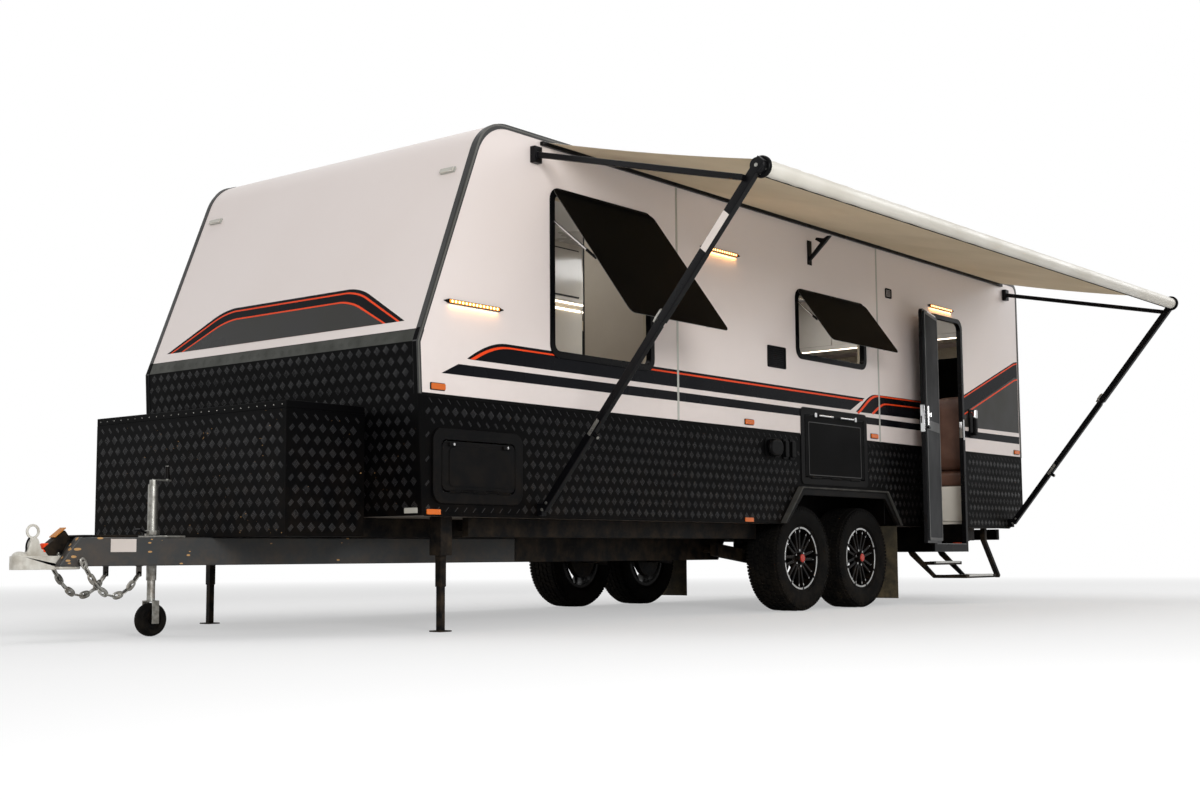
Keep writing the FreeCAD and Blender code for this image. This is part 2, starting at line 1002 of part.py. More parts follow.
def chassis_rails():
    top = d.skirt_height
    low = top - d.rail_deep
    half = d.rail_wide / 2
    start = d.foot_set
    main = box("main_rail", (d.rail_set - half, start, low),
               (d.rail_wide, d.body_length + d.bumper_gap - start, d.rail_deep))
    gap = d.arch_front_foot - d.side_rail_front - d.rail_wide
    fore = box("side_rail_fore", (d.side_rail_set - half, d.side_rail_front, low),
               (d.rail_wide, gap, d.rail_deep))
    back = d.door_rear + d.rail_wide
    aft = box("side_rail_aft", (d.side_rail_set - half, back, low),
              (d.rail_wide, d.side_rail_rear - back, d.rail_deep))
    return both_sides("chassis_rails", [main, fore, aft])


def between(place_along, low, high):
    """Whether a place lies between two others."""
    return number(low) < number(place_along) < number(high)


def cross_members():
    """Joists between the rails and outriggers to the skirts, clear of wheels and doorway."""
    top = d.skirt_height
    low = top - d.cross_deep
    inner = d.rail_set - d.rail_wide / 2
    outer = d.rail_set + d.rail_wide / 2
    side_in = d.side_rail_set - d.rail_wide / 2
    pieces = []
    count = int(number((d.tail_cut_set - d.cross_first) / d.cross_pitch)) + 1
    for index in range(count):
        along = d.cross_first + d.cross_pitch * index
        pieces.append(box(f"joist_{index}", (-inner, along, low),
                          (inner * 2, d.cross_wide, d.cross_deep)))
        if between(along, d.side_rail_front, d.arch_front_foot - d.cross_pitch / 4) or between(
                along, d.door_rear + d.rail_wide, d.side_rail_rear - d.rail_wide):
            arm = box(f"outrigger_{index}", (outer, along, low),
                      (side_in - outer, d.cross_wide, d.cross_deep))
            pieces += [arm, turn_back(f"outrigger_{index}_far", arm)]
    return pieces


def drawbar_line(along):
    """How far out an A-frame rail's centre line lies at a place along it."""
    share = (along - TIP) / (d.drawbar_joint - TIP)
    return d.drawbar_tip_set + (d.rail_set - d.drawbar_tip_set) * share


DRAWBAR_TOP = d.skirt_height - d.rail_deep
DRAWBAR_LOW = DRAWBAR_TOP - d.drawbar_deep
TIP = d.drawbar_tip - d.ball_reach


def drawbar():
    """The two rails of the A-frame, cut off at a slant in front, with the chains' fixings."""
    half = d.rail_wide / 2
    outline = [
        (d.drawbar_tip_set - half, TIP),
        (d.drawbar_tip_set + half, TIP),
        (d.rail_set + half, d.drawbar_joint),
        (d.rail_set - half, d.drawbar_joint),
    ]
    rail = panel("drawbar_rail", "XY_Plane", [outline], DRAWBAR_LOW, d.drawbar_deep)
    slant = [
        (TIP - d.overrun, DRAWBAR_LOW + d.end_plate),
        (TIP, DRAWBAR_LOW + d.end_plate),
        (TIP + d.drawbar_nose, DRAWBAR_TOP),
        (TIP + d.drawbar_nose, DRAWBAR_TOP + d.overrun),
        (TIP - d.overrun, DRAWBAR_TOP + d.overrun),
    ]
    nose = panel("drawbar_slant", "YZ_Plane", [slant], ZERO, d.rail_set)
    cut = cut_from("drawbar_rail_cut", rail, nose)
    return both_sides("drawbar", [joined("drawbar_side", [cut, chain_pin(), chain_lug()])])


def raiser_rails():
    """Rails that carry on behind the A-frame and taper off ahead of the wheels."""
    outline = [
        (d.drawbar_joint, DRAWBAR_LOW),
        (d.raiser_end - d.raiser_taper, DRAWBAR_LOW),
        (d.raiser_end, DRAWBAR_TOP),
        (d.drawbar_joint, DRAWBAR_TOP),
    ]
    rail = panel("raiser_rail", "YZ_Plane", [outline], d.rail_set - d.rail_wide / 2, d.rail_wide)
    return [rail, turn_back("raiser_rail_far", rail)]


def hangers():
    """Brackets below the main rails for the pivots of the rear arms."""
    half = d.rail_wide / 2
    pivot = d.axle_front + d.axle_pitch - d.arm_pivot_reach
    low = d.arm_pivot_height - d.arm_deep / 2
    block = box("hanger", (d.rail_set - half, pivot - d.arm_deep, low),
                (d.rail_wide, d.arm_deep * 2, DRAWBAR_TOP - low))
    return [block, turn_back("hanger_far", block)]


def underframe():
    return grouped("underframe", cross_members() + raiser_rails() + hangers())


# Coupling, brake lever, chains and jockey wheel


COUPLING_TOP = d.ball_height + d.coupling_deep / 2


def coupling():
    """Ball coupling: a long housing with a round nose, a socket below and a ring to lift it."""
    half = d.coupling_wide / 2
    nose = -d.ball_reach - d.coupling_nose
    tail = nose + d.coupling_tail
    low = d.ball_height - d.coupling_deep / 2
    plan = [
        (-half, nose, d.coupling_nose),
        (half, nose, d.coupling_nose),
        (half, tail),
        (-half, tail),
    ]
    shell = panel("coupling_shell", "XY_Plane", [plan], low, d.coupling_deep)
    radius = d.ball_round + d.fit_gap
    mouth = rod("ball_mouth", (ZERO, -d.ball_reach, low - d.overrun), "Z", radius,
                d.coupling_deep / 2 + d.overrun)
    crown = doc.addObject("Part::Cone", "ball_crown")
    bind(crown, Radius1=radius, Radius2=radius / 2, Height=radius - d.fit_gap * 10)
    place(crown, ZERO, -d.ball_reach, d.ball_height)
    body = cut_from("coupling_body", shell, joined("socket", [mouth, crown]))
    start = nose + d.coupling_nose * 2
    middle = start + d.latch_foot / 2
    top = COUPLING_TOP + d.latch_high
    neck = panel("latch_neck", "YZ_Plane", [[
        (start, COUPLING_TOP),
        (start + d.latch_foot, COUPLING_TOP),
        (middle + d.latch_neck / 2, top),
        (middle - d.latch_neck / 2, top),
    ]], -d.lever_wide / 2, d.lever_wide)
    rings = [many_sided(d.latch_round, 16), many_sided(d.latch_round - d.latch_bar, 16)]
    ring = panel("latch_ring", "YZ_Plane", rings, -d.latch_bar / 2, d.latch_bar,
                 (ZERO, middle, top + d.latch_round - d.latch_bar / 2))
    wide = d.drawbar_tip_set + d.rail_wide / 2
    plate = box("coupling_plate", (-wide, TIP, DRAWBAR_LOW - d.end_plate),
                (wide * 2, d.tip_plate_long, d.end_plate))
    return joined("coupling", [body, neck, ring, plate])


def chain_link():
    """One welded link, as a six-sided bar bent round an eight-cornered path."""
    body = new_body("chain_link")
    wire = d.link_wire / 2
    half = (d.link_long - d.link_wire) / 2
    side = (d.link_wide - d.link_wire) / 2
    bend_share = 0.6
    cut = side * bend_share
    path = sketch_on(body, "XY_Plane", [[
        (half - cut, -side), (half, cut - side), (half, side - cut), (half - cut, side),
        (cut - half, side), (-half, side - cut), (-half, cut - side), (cut - half, -side),
    ]])
    section = [(across - side, up) for across, up in many_sided(wire, 6)]
    bar = sketch_on(body, "YZ_Plane", [section])
    pipe = body.newObject("PartDesign::AdditivePipe", "chain_link_pipe")
    pipe.Profile = bar
    pipe.Spine = (path, [])
    pipe.Transition = "Right corner"
    doc.recompute()
    return body


CHAIN_LINKS = 10
CHAIN_PITCH = d.link_long - d.link_wire * 2 - d.link_slack
reach_share = 0.68
sag_share = 0.285
CHAIN_REACH = CHAIN_PITCH * CHAIN_LINKS * reach_share
CHAIN_SAG = CHAIN_PITCH * CHAIN_LINKS * sag_share


def chain_joints():
    """Where the links of the sagging chain meet, one pitch apart, as (rearwards, down)."""
    pitch = number(CHAIN_PITCH)
    reach = number(CHAIN_REACH)

    def fall(back):
        share = back / reach
        return 4 * number(CHAIN_SAG) * share * (1 - share) + number(d.chain_drop) * share

    joints = [(0.0, 0.0)]
    for _ in range(CHAIN_LINKS):
        back, down = joints[-1]
        step = pitch
        for _ in range(20):
            step *= pitch / math.hypot(step, fall(back + step) - down)
        joints.append((back + step, fall(back + step)))
    return joints


def chain_spot(end):
    """The centre of the pin in the first link's bend, or of the last link's own bend."""
    joints = chain_joints()
    first, after = (joints[0], joints[1]) if end == "front" else (joints[-2], joints[-1])
    seat = joints[0] if end == "front" else joints[-1]
    inset = number(d.link_wire + d.link_slack) / 2 / number(CHAIN_PITCH)
    back = seat[0] + (after[0] - first[0]) * inset
    down = seat[1] + (after[1] - first[1]) * inset
    return (TIP + d.chain_set_back + Size(str(back), back),
            DRAWBAR_LOW + d.chain_high - Size(str(down), down))


def chain_pin():
    """Pin through the rail's side, for the chain's front link."""
    along, up = chain_spot("front")
    start = drawbar_line(along)
    return prism("chain_pin", (start, along, up), "X", d.link_wire / 2,
                 d.chain_set + d.link_wire - start)


def chain_lug():
    """Lug below the rail, with the hole for the chain's rear link."""
    along, up = chain_spot("rear")
    half = d.link_wire / 2 + d.lug_edge
    plate = [
        (along - half, DRAWBAR_LOW + d.overrun),
        (along - half, up - half),
        (along + half, up - half),
        (along + half, DRAWBAR_LOW + d.overrun),
    ]
    hole = [(along + across, up + rise)
            for across, rise in many_sided(d.link_wire / 2 + d.link_slack, 12)]
    return panel("chain_lug", "YZ_Plane", [plate, hole], d.chain_set - d.lug_thick / 2,
                 d.lug_thick)


def safety_chains():
    """Two chains that loop below the drawbar, from a pin at its tip back to a lug."""
    link = chain_link()
    joints = chain_joints()
    pieces = []
    for index, (first, last) in enumerate(zip(joints, joints[1:])):
        fall = math.degrees(math.atan2(last[1] - first[1], last[0] - first[0]))
        along = number(TIP + d.chain_set_back + d.ball_reach) + (first[0] + last[0]) / 2
        up = number(DRAWBAR_LOW + d.chain_high - d.ball_height) - (first[1] + last[1]) / 2
        roll = Rotation(Vector(1, 0, 0), 0 if index % 2 else 90)
        rearwards = Rotation(Vector(0, 0, 1), 90)
        piece = doc.addObject("Part::Feature", f"link_{index}")
        piece.Shape = link.Shape.copy()
        piece.Placement = Placement(Vector(number(d.chain_set), along, up),
                                    Rotation(Vector(1, 0, 0), -fall) * rearwards * roll)
        pieces.append(piece)
    return both_sides("safety_chains", pieces)


def handbrake():
    """Hand brake: a lever that leans back from the coupling, and its plate on the rails."""
    start = TIP + d.drawbar_nose + d.overrun
    wide = drawbar_line(start) + d.rail_wide / 2
    base = box("brake_plate", (-wide, start, DRAWBAR_TOP), (wide * 2, d.brake_reach, d.end_plate))
    foot = TIP - d.brake_set
    long = d.brake_lever_long
    deep = d.brake_lever_deep
    run = cosine(d.brake_lever_slope)
    rise = sine(d.brake_lever_slope)
    lever = [
        (foot, COUPLING_TOP),
        (foot + d.brake_foot, COUPLING_TOP),
        (foot + long * run, COUPLING_TOP + long * rise),
        (foot + long * run - deep * rise, COUPLING_TOP + long * rise + deep * run),
        (foot - deep * rise, COUPLING_TOP + deep * run),
    ]
    arm = panel("brake_lever", "YZ_Plane", [lever], -d.brake_lever_wide / 2, d.brake_lever_wide)
    return grouped("handbrake", [base, arm])


def jockey_stand():
    """Clamp plate across the drawbar with the outer tube and winding handle."""
    along = -d.jockey_reach
    half = drawbar_line(along) + d.rail_wide / 2
    wide = d.clamp_collar * 3
    plate = box("clamp_plate", (-half, along - wide / 2, DRAWBAR_TOP),
                (half * 2, wide, d.clamp_plate))
    tube = rod("outer_tube", (ZERO, along, d.jockey_tube_low), "Z", d.jockey_tube_round,
               d.jockey_tube_top - d.jockey_tube_low)
    collar = prism("clamp_ring", (ZERO, along, DRAWBAR_TOP), "Z", d.clamp_collar,
                   d.clamp_collar, 12)
    bore = rod("tube_bore", (ZERO, along, d.jockey_tube_low - d.overrun), "Z",
               d.jockey_inner_round + d.running_gap, d.jockey_tube_top - d.jockey_tube_low)
    tube_piece = cut_from("stand_tube", joined("stand_solid", [plate, tube, collar]), bore)
    arm = d.clamp_plate
    reach = d.clamp_collar * 3
    high = d.jockey_tube_top + arm * 2
    crank = box("crank_arm", (-arm / 2, along - arm / 2, high), (arm, reach, arm))
    neck = prism("crank_neck", (ZERO, along, d.jockey_tube_top), "Z", arm * 2,
                 high + arm / 2 - d.jockey_tube_top)
    knob = prism("crank_knob", (ZERO, along + reach - arm * 3, high + arm / 2), "Z", arm,
                 d.clamp_collar * 2)
    return joined("jockey_stand", [tube_piece, crank, neck, knob])


def jockey_fork():
    """Inner tube with a fork and axle pin, which swivels in the stand."""
    along = -d.jockey_reach
    half = d.jockey_wheel_wide / 2 + d.moving_gap
    yoke_top = d.jockey_wheel_round * 2 + d.moving_gap + d.jockey_fork_thick
    tube = rod("inner_tube", (ZERO, along, yoke_top), "Z", d.jockey_inner_round,
               d.jockey_tube_top - d.overrun * 3 - yoke_top)
    thick = d.jockey_fork_thick
    deep = d.jockey_inner_round * 2
    yoke = box("yoke", (-half - thick, along - deep / 2, yoke_top - thick),
               ((half + thick) * 2, deep, thick))
    low = d.jockey_wheel_round - deep / 2
    cheek = box("cheek", (half, along - deep / 2, low), (thick, deep, yoke_top - thick - low))
    far = turn_back("cheek_far", cheek)
    pin = rod("jockey_axle", (-half, along, d.jockey_wheel_round), "X",
              d.jockey_bore - d.running_gap, half * 2)
    return joined("jockey_fork", [tube, yoke, cheek, far, pin])


def jockey_wheel():
    """Solid wheel with a tread that falls away to its edges."""
    radius = d.jockey_wheel_round
    fall = d.jockey_wheel_fall
    bore = ((ZERO, ZERO), d.jockey_bore)
    return shouldered("jockey_wheel", (ZERO, -d.jockey_reach, radius), radius,
                      d.jockey_wheel_wide, fall, fall, [bore], 24)


# Toolbox on the drawbar


def toolbox():
    half = d.toolbox_half
    low = DRAWBAR_TOP
    sheet = d.sheet_thick
    high = d.toolbox_top - d.toolbox_lid - low
    shell = box("toolbox_shell", (-half, -d.toolbox_deep, low), (half * 2, d.toolbox_deep, high))
    room = box("toolbox_room", (sheet - half, sheet - d.toolbox_deep, low + sheet),
               ((half - sheet) * 2, d.toolbox_deep - sheet * 2, high))
    return cut_from("toolbox", shell, room)


def toolbox_lid():
    """Folded lid, hinged along its rear edge."""
    half = d.toolbox_half
    low = d.toolbox_top - d.toolbox_lid + d.fit_gap
    sheet = d.sheet_thick
    high = d.toolbox_top - low
    cap = box("lid_shell", (-half, -d.toolbox_deep, low), (half * 2, d.toolbox_deep, high))
    room = box("lid_room", (sheet - half, sheet - d.toolbox_deep, low - d.overrun),
               ((half - sheet) * 2, d.toolbox_deep - sheet * 2, high - sheet + d.overrun))
    return cut_from("toolbox_lid", cap, room)


# Wheels and suspension


def tyre(label, across, along, rotation=None):
    """Tyre with a tread that falls away to its walls, and a bead behind the rim's flange."""
    half = d.tyre_wide / 2
    bore = many_sided(d.rim_round + d.fit_gap)
    body = shouldered(label, (across, along, d.hub_height), d.tyre_round, d.tyre_wide,
                      d.tyre_round - d.bulge_round, half - d.tread_half, [bore],
                      rotation=rotation)
    bead = [many_sided(d.rim_round + d.rim_dish), many_sided(d.rim_seat)]
    add_pad(body, "YZ_Plane", bead, -half, half + d.rim_half - d.rim_dish / 2 - d.fit_gap)
    return body


def rim(label, across, along, rotation=None):
    """Wheel: a barrel, a front flange and a disc that is opened between its spokes."""
    lip = d.rim_half
    dish = d.rim_dish
    inside = many_sided(d.rim_inside)
    bore = ((ZERO, ZERO), d.hub_bore)
    body = new_body(label)
    add_pad(body, "YZ_Plane", [many_sided(d.rim_seat - d.fit_gap), inside], -lip,
            lip * 2 - dish / 2)
    add_pad(body, "YZ_Plane", [many_sided(d.rim_round), inside], lip - dish / 2, dish / 2)
    face = many_sided(d.rim_inside + dish / 2)
    add_pad(body, "YZ_Plane", [face, bore], lip - dish * 3, dish * 2)
    boss = many_sided(d.hub_round, 18)
    add_pad(body, "YZ_Plane", [boss, bore], lip - d.boss_deep, d.boss_deep - dish * 2)
    place(body, across, along, d.hub_height, rotation)
    doc.recompute()
    low = d.hub_round + d.rim_dish
    high = d.rim_inside - d.rim_dish
    window = [
        (-d.spoke_gap_inner, low),
        (d.spoke_gap_inner, low),
        (d.spoke_gap_outer, high),
        (-d.spoke_gap_outer, high),
    ]
    pocket = body.newObject("PartDesign::Pocket", f"{label}_window")
    pocket.Profile = sketch_on(body, "YZ_Plane", [window])
    pocket.Type = "ThroughAll"
    pocket.Reversed = True
    doc.recompute()
    pattern = body.newObject("PartDesign::PolarPattern", f"{label}_windows")
    pattern.Originals = [pocket]
    axis = next(item for item in body.Origin.OriginFeatures if item.Role == "X_Axis")
    pattern.Axis = (axis, [""])
    pattern.Angle = 360
    pattern.Occurrences = 8
    body.Tip = pattern
    return body


AXLES = (("front", ZERO), ("rear", d.axle_pitch))


def wheels():
    pieces = []
    for side, across, rotation in (("left", d.track_half, None), ("right", -d.track_half, BACK)):
        for name, extra in AXLES:
            along = d.axle_front + extra
            pieces.append(tyre(f"{side}_{name}_tyre", across, along, rotation))
            pieces.append(rim(f"{side}_{name}_rim", across, along, rotation))
    return pieces


def trailing_arms():
    """Arms with stub axles and drums, each below a spring bellows and a damper."""
    pieces = []
    for name, extra in AXLES:
        along = d.axle_front + extra
        pivot = along - d.arm_pivot_reach
        half = d.arm_deep / 2
        outline = [
            (pivot - half, d.arm_pivot_height - half),
            (along + half, d.hub_height - half),
            (along + half, d.hub_height + half),
            (pivot - half, d.arm_pivot_height + half),
        ]
        arm = panel(f"{name}_arm", "YZ_Plane", [outline], d.arm_set, d.arm_thick)
        outer = d.rail_set + d.rail_wide / 2
        pin = prism(f"{name}_pivot", (outer, pivot, d.arm_pivot_height), "X", half / 2,
                    d.arm_set - outer)
        start = d.arm_set + d.arm_thick
        stub = rod(f"{name}_stub", (start, along, d.hub_height), "X",
                   d.hub_bore - d.running_gap, d.track_half + d.rim_half - d.rim_dish * 2 - start)
        drum = prism(f"{name}_drum", (d.track_half - d.tyre_wide / 2, along, d.hub_height), "X",
                     d.drum_round, d.drum_thick, 18)
        low = d.hub_height + half
        tall = d.skirt_height - low
        across = d.arm_set + d.arm_thick / 2
        bellows = prism(f"{name}_bellows", (across, along - d.bellows_set, low), "Z",
                        d.bellows_round, tall, 12)
        damper = prism(f"{name}_damper", (across, along, low), "Z", d.damper_round, tall)
        pieces.append(joined(f"{name}_axle", [arm, pin, stub, drum, bellows, damper]))
    return both_sides("suspension_arms", pieces)


def mud_flaps():
    along = d.arch_rear_foot
    wide = d.half_width - d.box_inner
    sheet = box("mud_flap", (d.box_inner, along - d.flap_thick, d.flap_low),
                (wide, d.flap_thick, d.skirt_height - d.flap_low))
    return both_sides("mud_flaps", [sheet])


# Legs


def stabiliser_legs():
    """Telescoping legs: the front pair stands on the ground, the rear pair hangs raised."""
    half = d.leg_wide / 2
    low = DRAWBAR_LOW
    side = d.leg_bracket / 2
    top = box("leg_head", (d.leg_set - side, d.leg_front - side, low + d.leg_wide),
              (d.leg_bracket, d.leg_bracket, d.skirt_height - low - d.leg_wide))
    outer = box("leg_outer", (d.leg_set - half, d.leg_front - half, d.leg_split),
                (d.leg_wide, d.leg_wide, low + d.leg_wide - d.leg_split))
    thin = d.leg_inner_wide / 2
    inner = box("leg_inner", (d.leg_set - thin, d.leg_front - thin, d.leg_foot_thick),
                (d.leg_inner_wide, d.leg_inner_wide, d.leg_split - d.leg_foot_thick))
    foot = box("leg_foot_plate", (d.leg_set - d.leg_foot / 2, d.leg_front - d.leg_foot / 2, ZERO),
               (d.leg_foot, d.leg_foot, d.leg_foot_thick))
    front = joined("front_leg", [top, outer, inner, foot])
    return both_sides("stabiliser_legs", [front, rear_leg()])


def rear_leg():
    """A raised leg, swung back under the tail."""
    half = d.leg_wide / 2
    back = d.rear_leg_top + d.rear_leg_reach
    head = d.skirt_height - d.rail_deep
    outline = [
        (d.rear_leg_top - half, d.skirt_height),
        (d.rear_leg_top - half, head),
        (back - half, d.rear_leg_low + half),
        (back, d.rear_leg_low),
        (back + half, d.rear_leg_low + half),
        (d.rear_leg_top + half, head),
        (d.rear_leg_top + half, d.skirt_height),
    ]
    return panel("rear_leg", "YZ_Plane", [outline], d.leg_set - half, d.leg_wide)


# Windows


WINDOWS = (
    ("bed", d.bed_window_front, d.bed_window_rear, d.bed_window_low, d.bed_window_high),
    ("galley", d.galley_window_front, d.galley_window_rear,
     d.galley_window_low, d.galley_window_high),
)


PANE_LINE = d.half_width + d.window_proud + d.fit_gap


def window_stay(name, along, low, high):
    """A stay from the frame's side up to a ball stud that meets the open pane."""
    stay_share = 0.62
    foot_share = 0.3
    reach = (high - low) * stay_share
    back = d.stay_ball + d.fit_gap
    end = (PANE_LINE + sine(d.pane_swing) * reach - cosine(d.pane_swing) * back,
           high - d.window_rim / 2 - cosine(d.pane_swing) * reach - sine(d.pane_swing) * back)
    start = (d.half_width + d.window_proud / 2, low + (high - low) * foot_share)
    bar = thin_strut(f"{name}_stay", start, end, along, d.stay_round)
    stud = prism(f"{name}_stay_stud", (end[0], along - d.stay_ball, end[1]), "Y", d.stay_ball,
                 d.stay_ball * 2)
    return [bar, stud]


def window_frames():
    """Black frames: a rim on the wall's face and a liner through the opening."""
    pieces = []
    rim = d.window_rim
    for name, front, rear, low, high in WINDOWS:
        hole = rectangle(front + rim * 2, rear - rim * 2, low + rim * 2, high - rim * 2,
                         d.window_round / 2)
        body = panel(f"{name}_frame", "YZ_Plane",
                     [rectangle(front, rear, low, high, d.window_round), hole],
                     d.half_width, d.window_proud)
        add_pad(body, "YZ_Plane", [window_opening(front, rear, low, high), hole],
                INNER, d.wall_thick)
        stays = window_stay(f"{name}_front", front + rim, low, high)
        stays += window_stay(f"{name}_rear", rear - rim, low, high)
        pieces.append(joined(f"{name}_frame_whole", [body] + stays))
    return both_sides("window_frames", pieces)


def window_panes():
    """Tinted panes hinged along their top edges and held open by stays."""
    pieces = []
    for name, front, rear, low, high in WINDOWS:
        rim = d.window_rim
        body = new_body(f"{name}_pane")
        drop = high - low - rim
        outline = rectangle(front + rim / 2, rear - rim / 2, -drop, ZERO, d.window_round / 2)
        add_pad(body, "YZ_Plane", [outline], ZERO, d.pane_thick)
        place(body, PANE_LINE, ZERO, high - rim / 2,
              Rotation(Vector(0, 1, 0), -1))
        body.setExpression("Placement.Rotation.Angle", formula(d.pane_swing))
        body.setExpression("Placement.Rotation.Axis.y", "-1")
        pieces.append(body)
    return both_sides("window_panes", pieces)


# Doorway


def door_frame():
    """Black frame round the doorway, down past the skirt to the step well."""
    rim = d.door_rim
    lip = d.door_lip
    hole = [
        (d.door_front + rim, d.door_sill),
        (d.door_rear - rim, d.door_sill),
        (d.door_rear - rim, d.door_high - rim, d.door_round - rim / 2),
        (d.door_front + rim, d.door_high - rim, d.door_round - rim / 2),
    ]
    face = [
        (d.door_front, d.door_low),
        (d.door_rear, d.door_low),
        (d.door_rear, d.door_high, d.door_round),
        (d.door_front, d.door_high, d.door_round),
    ]
    liner = [
        (d.door_front + lip, d.door_low),
        (d.door_rear - lip, d.door_low),
        (d.door_rear - lip, d.door_high - lip, d.door_round),
        (d.door_front + lip, d.door_high - lip, d.door_round),
    ]
    body = panel("door_frame_ring", "YZ_Plane", [face, hole], d.half_width, d.door_proud)
    add_pad(body, "YZ_Plane", [liner, hole], INNER, d.wall_thick)
    pieces = [body]
    for index, up in enumerate(hinge_heights()):
        pieces.append(prism(f"frame_knuckle_{index}", (HINGE_X, HINGE_Y, up), "Z",
                            d.knuckle_round, d.knuckle_long))
        across = d.half_width + d.door_proud / 2
        along = d.door_front + rim / 2
        pieces.append(box(f"frame_lug_{index}", (across, along, up),
                          (HINGE_X - across, HINGE_Y - along, d.knuckle_long)))
    return joined("door_frame", pieces)


HINGE_X = d.half_width + d.door_proud + d.moving_gap + d.knuckle_round
HINGE_Y = d.door_front + d.door_rim - d.moving_gap


def hinge_heights():
    """Three hinges up the door's edge."""
    hinge_shares = (0.08, 0.46, 0.86)
    span = d.door_high - d.door_sill
    return [d.door_sill + span * share for share in hinge_shares]


def door_piece(label, outlines, start, thick):
    """A piece of the door leaf, drawn closed from its hinge line and then swung open."""
    body = new_body(label)
    add_pad(body, "YZ_Plane", outlines, start, thick)
    place(body, HINGE_X, HINGE_Y, ZERO, Rotation(Vector(0, 0, -1), 1))
    body.setExpression("Placement.Rotation.Angle", formula(d.door_open))
    body.setExpression("Placement.Rotation.Axis.z", "-1")
    return body


def door_edges():
    """The leaf's hinge edge, free edge, foot and head, counted from the hinge line."""
    gap = d.moving_gap
    near = gap * 2
    far = d.door_rear - d.door_rim - gap - HINGE_Y
    return near, far, d.door_sill + gap, d.door_high - d.door_rim - gap


DOOR_FACE = -d.knuckle_round / 2


def entry_door():
    near, far, low, high = door_edges()
    side = d.door_window_side
    window = rectangle(near + side, far - side, d.door_window_low, d.door_window_high,
                       d.door_round / 2)
    outline = [
        (near, low),
        (far, low),
        (far, high, d.door_round - d.door_rim),
        (near, high, d.door_round - d.door_rim),
    ]
    return door_piece("entry_door_leaf", [outline, window], DOOR_FACE - d.door_thick, d.door_thick)


def entry_door_whole():
    """Leaf with its three knuckles."""
    near = door_edges()[0]
    pieces = [entry_door()]
    for index, up in enumerate(hinge_heights()):
        start = up + d.knuckle_long + d.fit_gap
        knuckle = prism(f"door_knuckle_{index}", (HINGE_X, HINGE_Y, start), "Z",
                        d.knuckle_round, d.knuckle_long)
        lug = door_piece(f"door_lug_{index}",
                         [rectangle(ZERO, near, start, start + d.knuckle_long)],
                         DOOR_FACE - d.knuckle_round / 2, d.knuckle_round / 2)
        pieces += [knuckle, lug]
    return joined("entry_door", pieces)


def door_screen():
    """Insect screen clipped to the inside of the leaf."""
    near, far, low, high = door_edges()
    inset = d.door_screen_inset
    back = DOOR_FACE - d.door_thick - d.door_screen_thick
    outline = rectangle(near + inset, far - inset, low + inset, high - inset)
    return door_piece("door_screen", [outline], back, d.door_screen_thick)


def step_well():
    """Sheet box below the floor, open to the doorway, with the first tread at the sill."""
    low = d.door_low
    sheet = d.sheet_thick
    high = d.skirt_height + d.wall_thick
    outer = box("well_outer", (d.well_inner - sheet, d.door_front, low),
                (INNER - d.well_inner + sheet, d.door_rear - d.door_front, high - low))
    room = box("well_room", (d.well_inner, d.door_front + sheet, d.door_sill),
               (INNER - d.well_inner + d.overrun, d.door_rear - d.door_front - sheet * 2, high))
    return cut_from("step_well", outer, room)


def entry_step():
    """Folding double step: two side tubes carry an upper and a lower tread."""
    front = d.door_front + d.step_inset
    rear = d.door_rear - d.step_inset
    tube = d.step_tube * 2
    low = d.step_low
    inner = INNER - d.step_deep
    bend = INNER
    end = d.half_width + d.step_reach
    top = d.door_low
    side = [
        (inner, top),
        (inner + tube, top),
        (bend + tube / 2, low + tube, d.step_tube),
        (end, low + tube),
        (end, low),
        (bend, low, d.step_tube),
        (inner - tube / 2, top - tube),
        (inner - tube, top),
    ]
    pieces = []
    for name, along in (("front", front), ("rear", rear - tube)):
        pieces.append(panel(f"step_side_{name}", "XZ_Plane", [side], along, tube))
    tread = box("step_tread", (end - d.step_deep, front + tube, low),
                (d.step_deep, rear - front - tube * 2, tube))
    upper = box("step_upper", (bend - d.step_deep / 2, front + tube, (top + low) / 2),
                (d.step_deep / 2, rear - front - tube * 2, tube))
    return joined("entry_step", pieces + [tread, upper])


# Locker doors and fold-down table


def leaf_hinge(label, front, rear, face, low):
    """Barrels of a hinge below a leaf: the frame's ones and, between them, the leaf's."""
    radius = d.barrel_round
    across = face + radius + d.fit_gap
    up = low - d.moving_gap / 2
    long = (rear - front) / 6
    fixed = []
    moving = []
    for index in range(5):
        along = front + long / 2 + long * index
        barrel = prism(f"{label}_barrel_{index}", (across, along, up), "Y", radius,
                       long - d.fit_gap)
        lug_low = up if index % 2 else up - radius * 2
        lug = box(f"{label}_lug_{index}", (face - radius / 2, along, lug_low),
                  (across - face + radius / 2, long - d.fit_gap, radius * 2))
        (moving if index % 2 else fixed).extend([barrel, lug])
    return fixed, moving


def boot_edges():
    """The locker door's front, rear, low and high edges."""
    inset = d.boot_rim * 1.5 + d.moving_gap
    return d.boot_front + inset, d.boot_rear - inset, d.boot_low + inset, d.boot_high - inset


def boot_frames():
    rim = d.boot_rim
    hole = rectangle(d.boot_front + rim * 1.5, d.boot_rear - rim * 1.5, d.boot_low + rim * 1.5,
                     d.boot_high - rim * 1.5, d.boot_round / 2)
    face = rectangle(d.boot_front, d.boot_rear, d.boot_low, d.boot_high, d.boot_round)
    body = panel("boot_frame", "YZ_Plane", [face, hole], d.half_width, d.boot_proud)
    front, rear, low, high = boot_edges()
    fixed, _ = leaf_hinge("boot_frame", front, rear, d.half_width + d.boot_proud, low)
    frame = joined("boot_frame_whole", [body] + fixed)
    return [frame, turn_back("boot_frame_far", frame)]


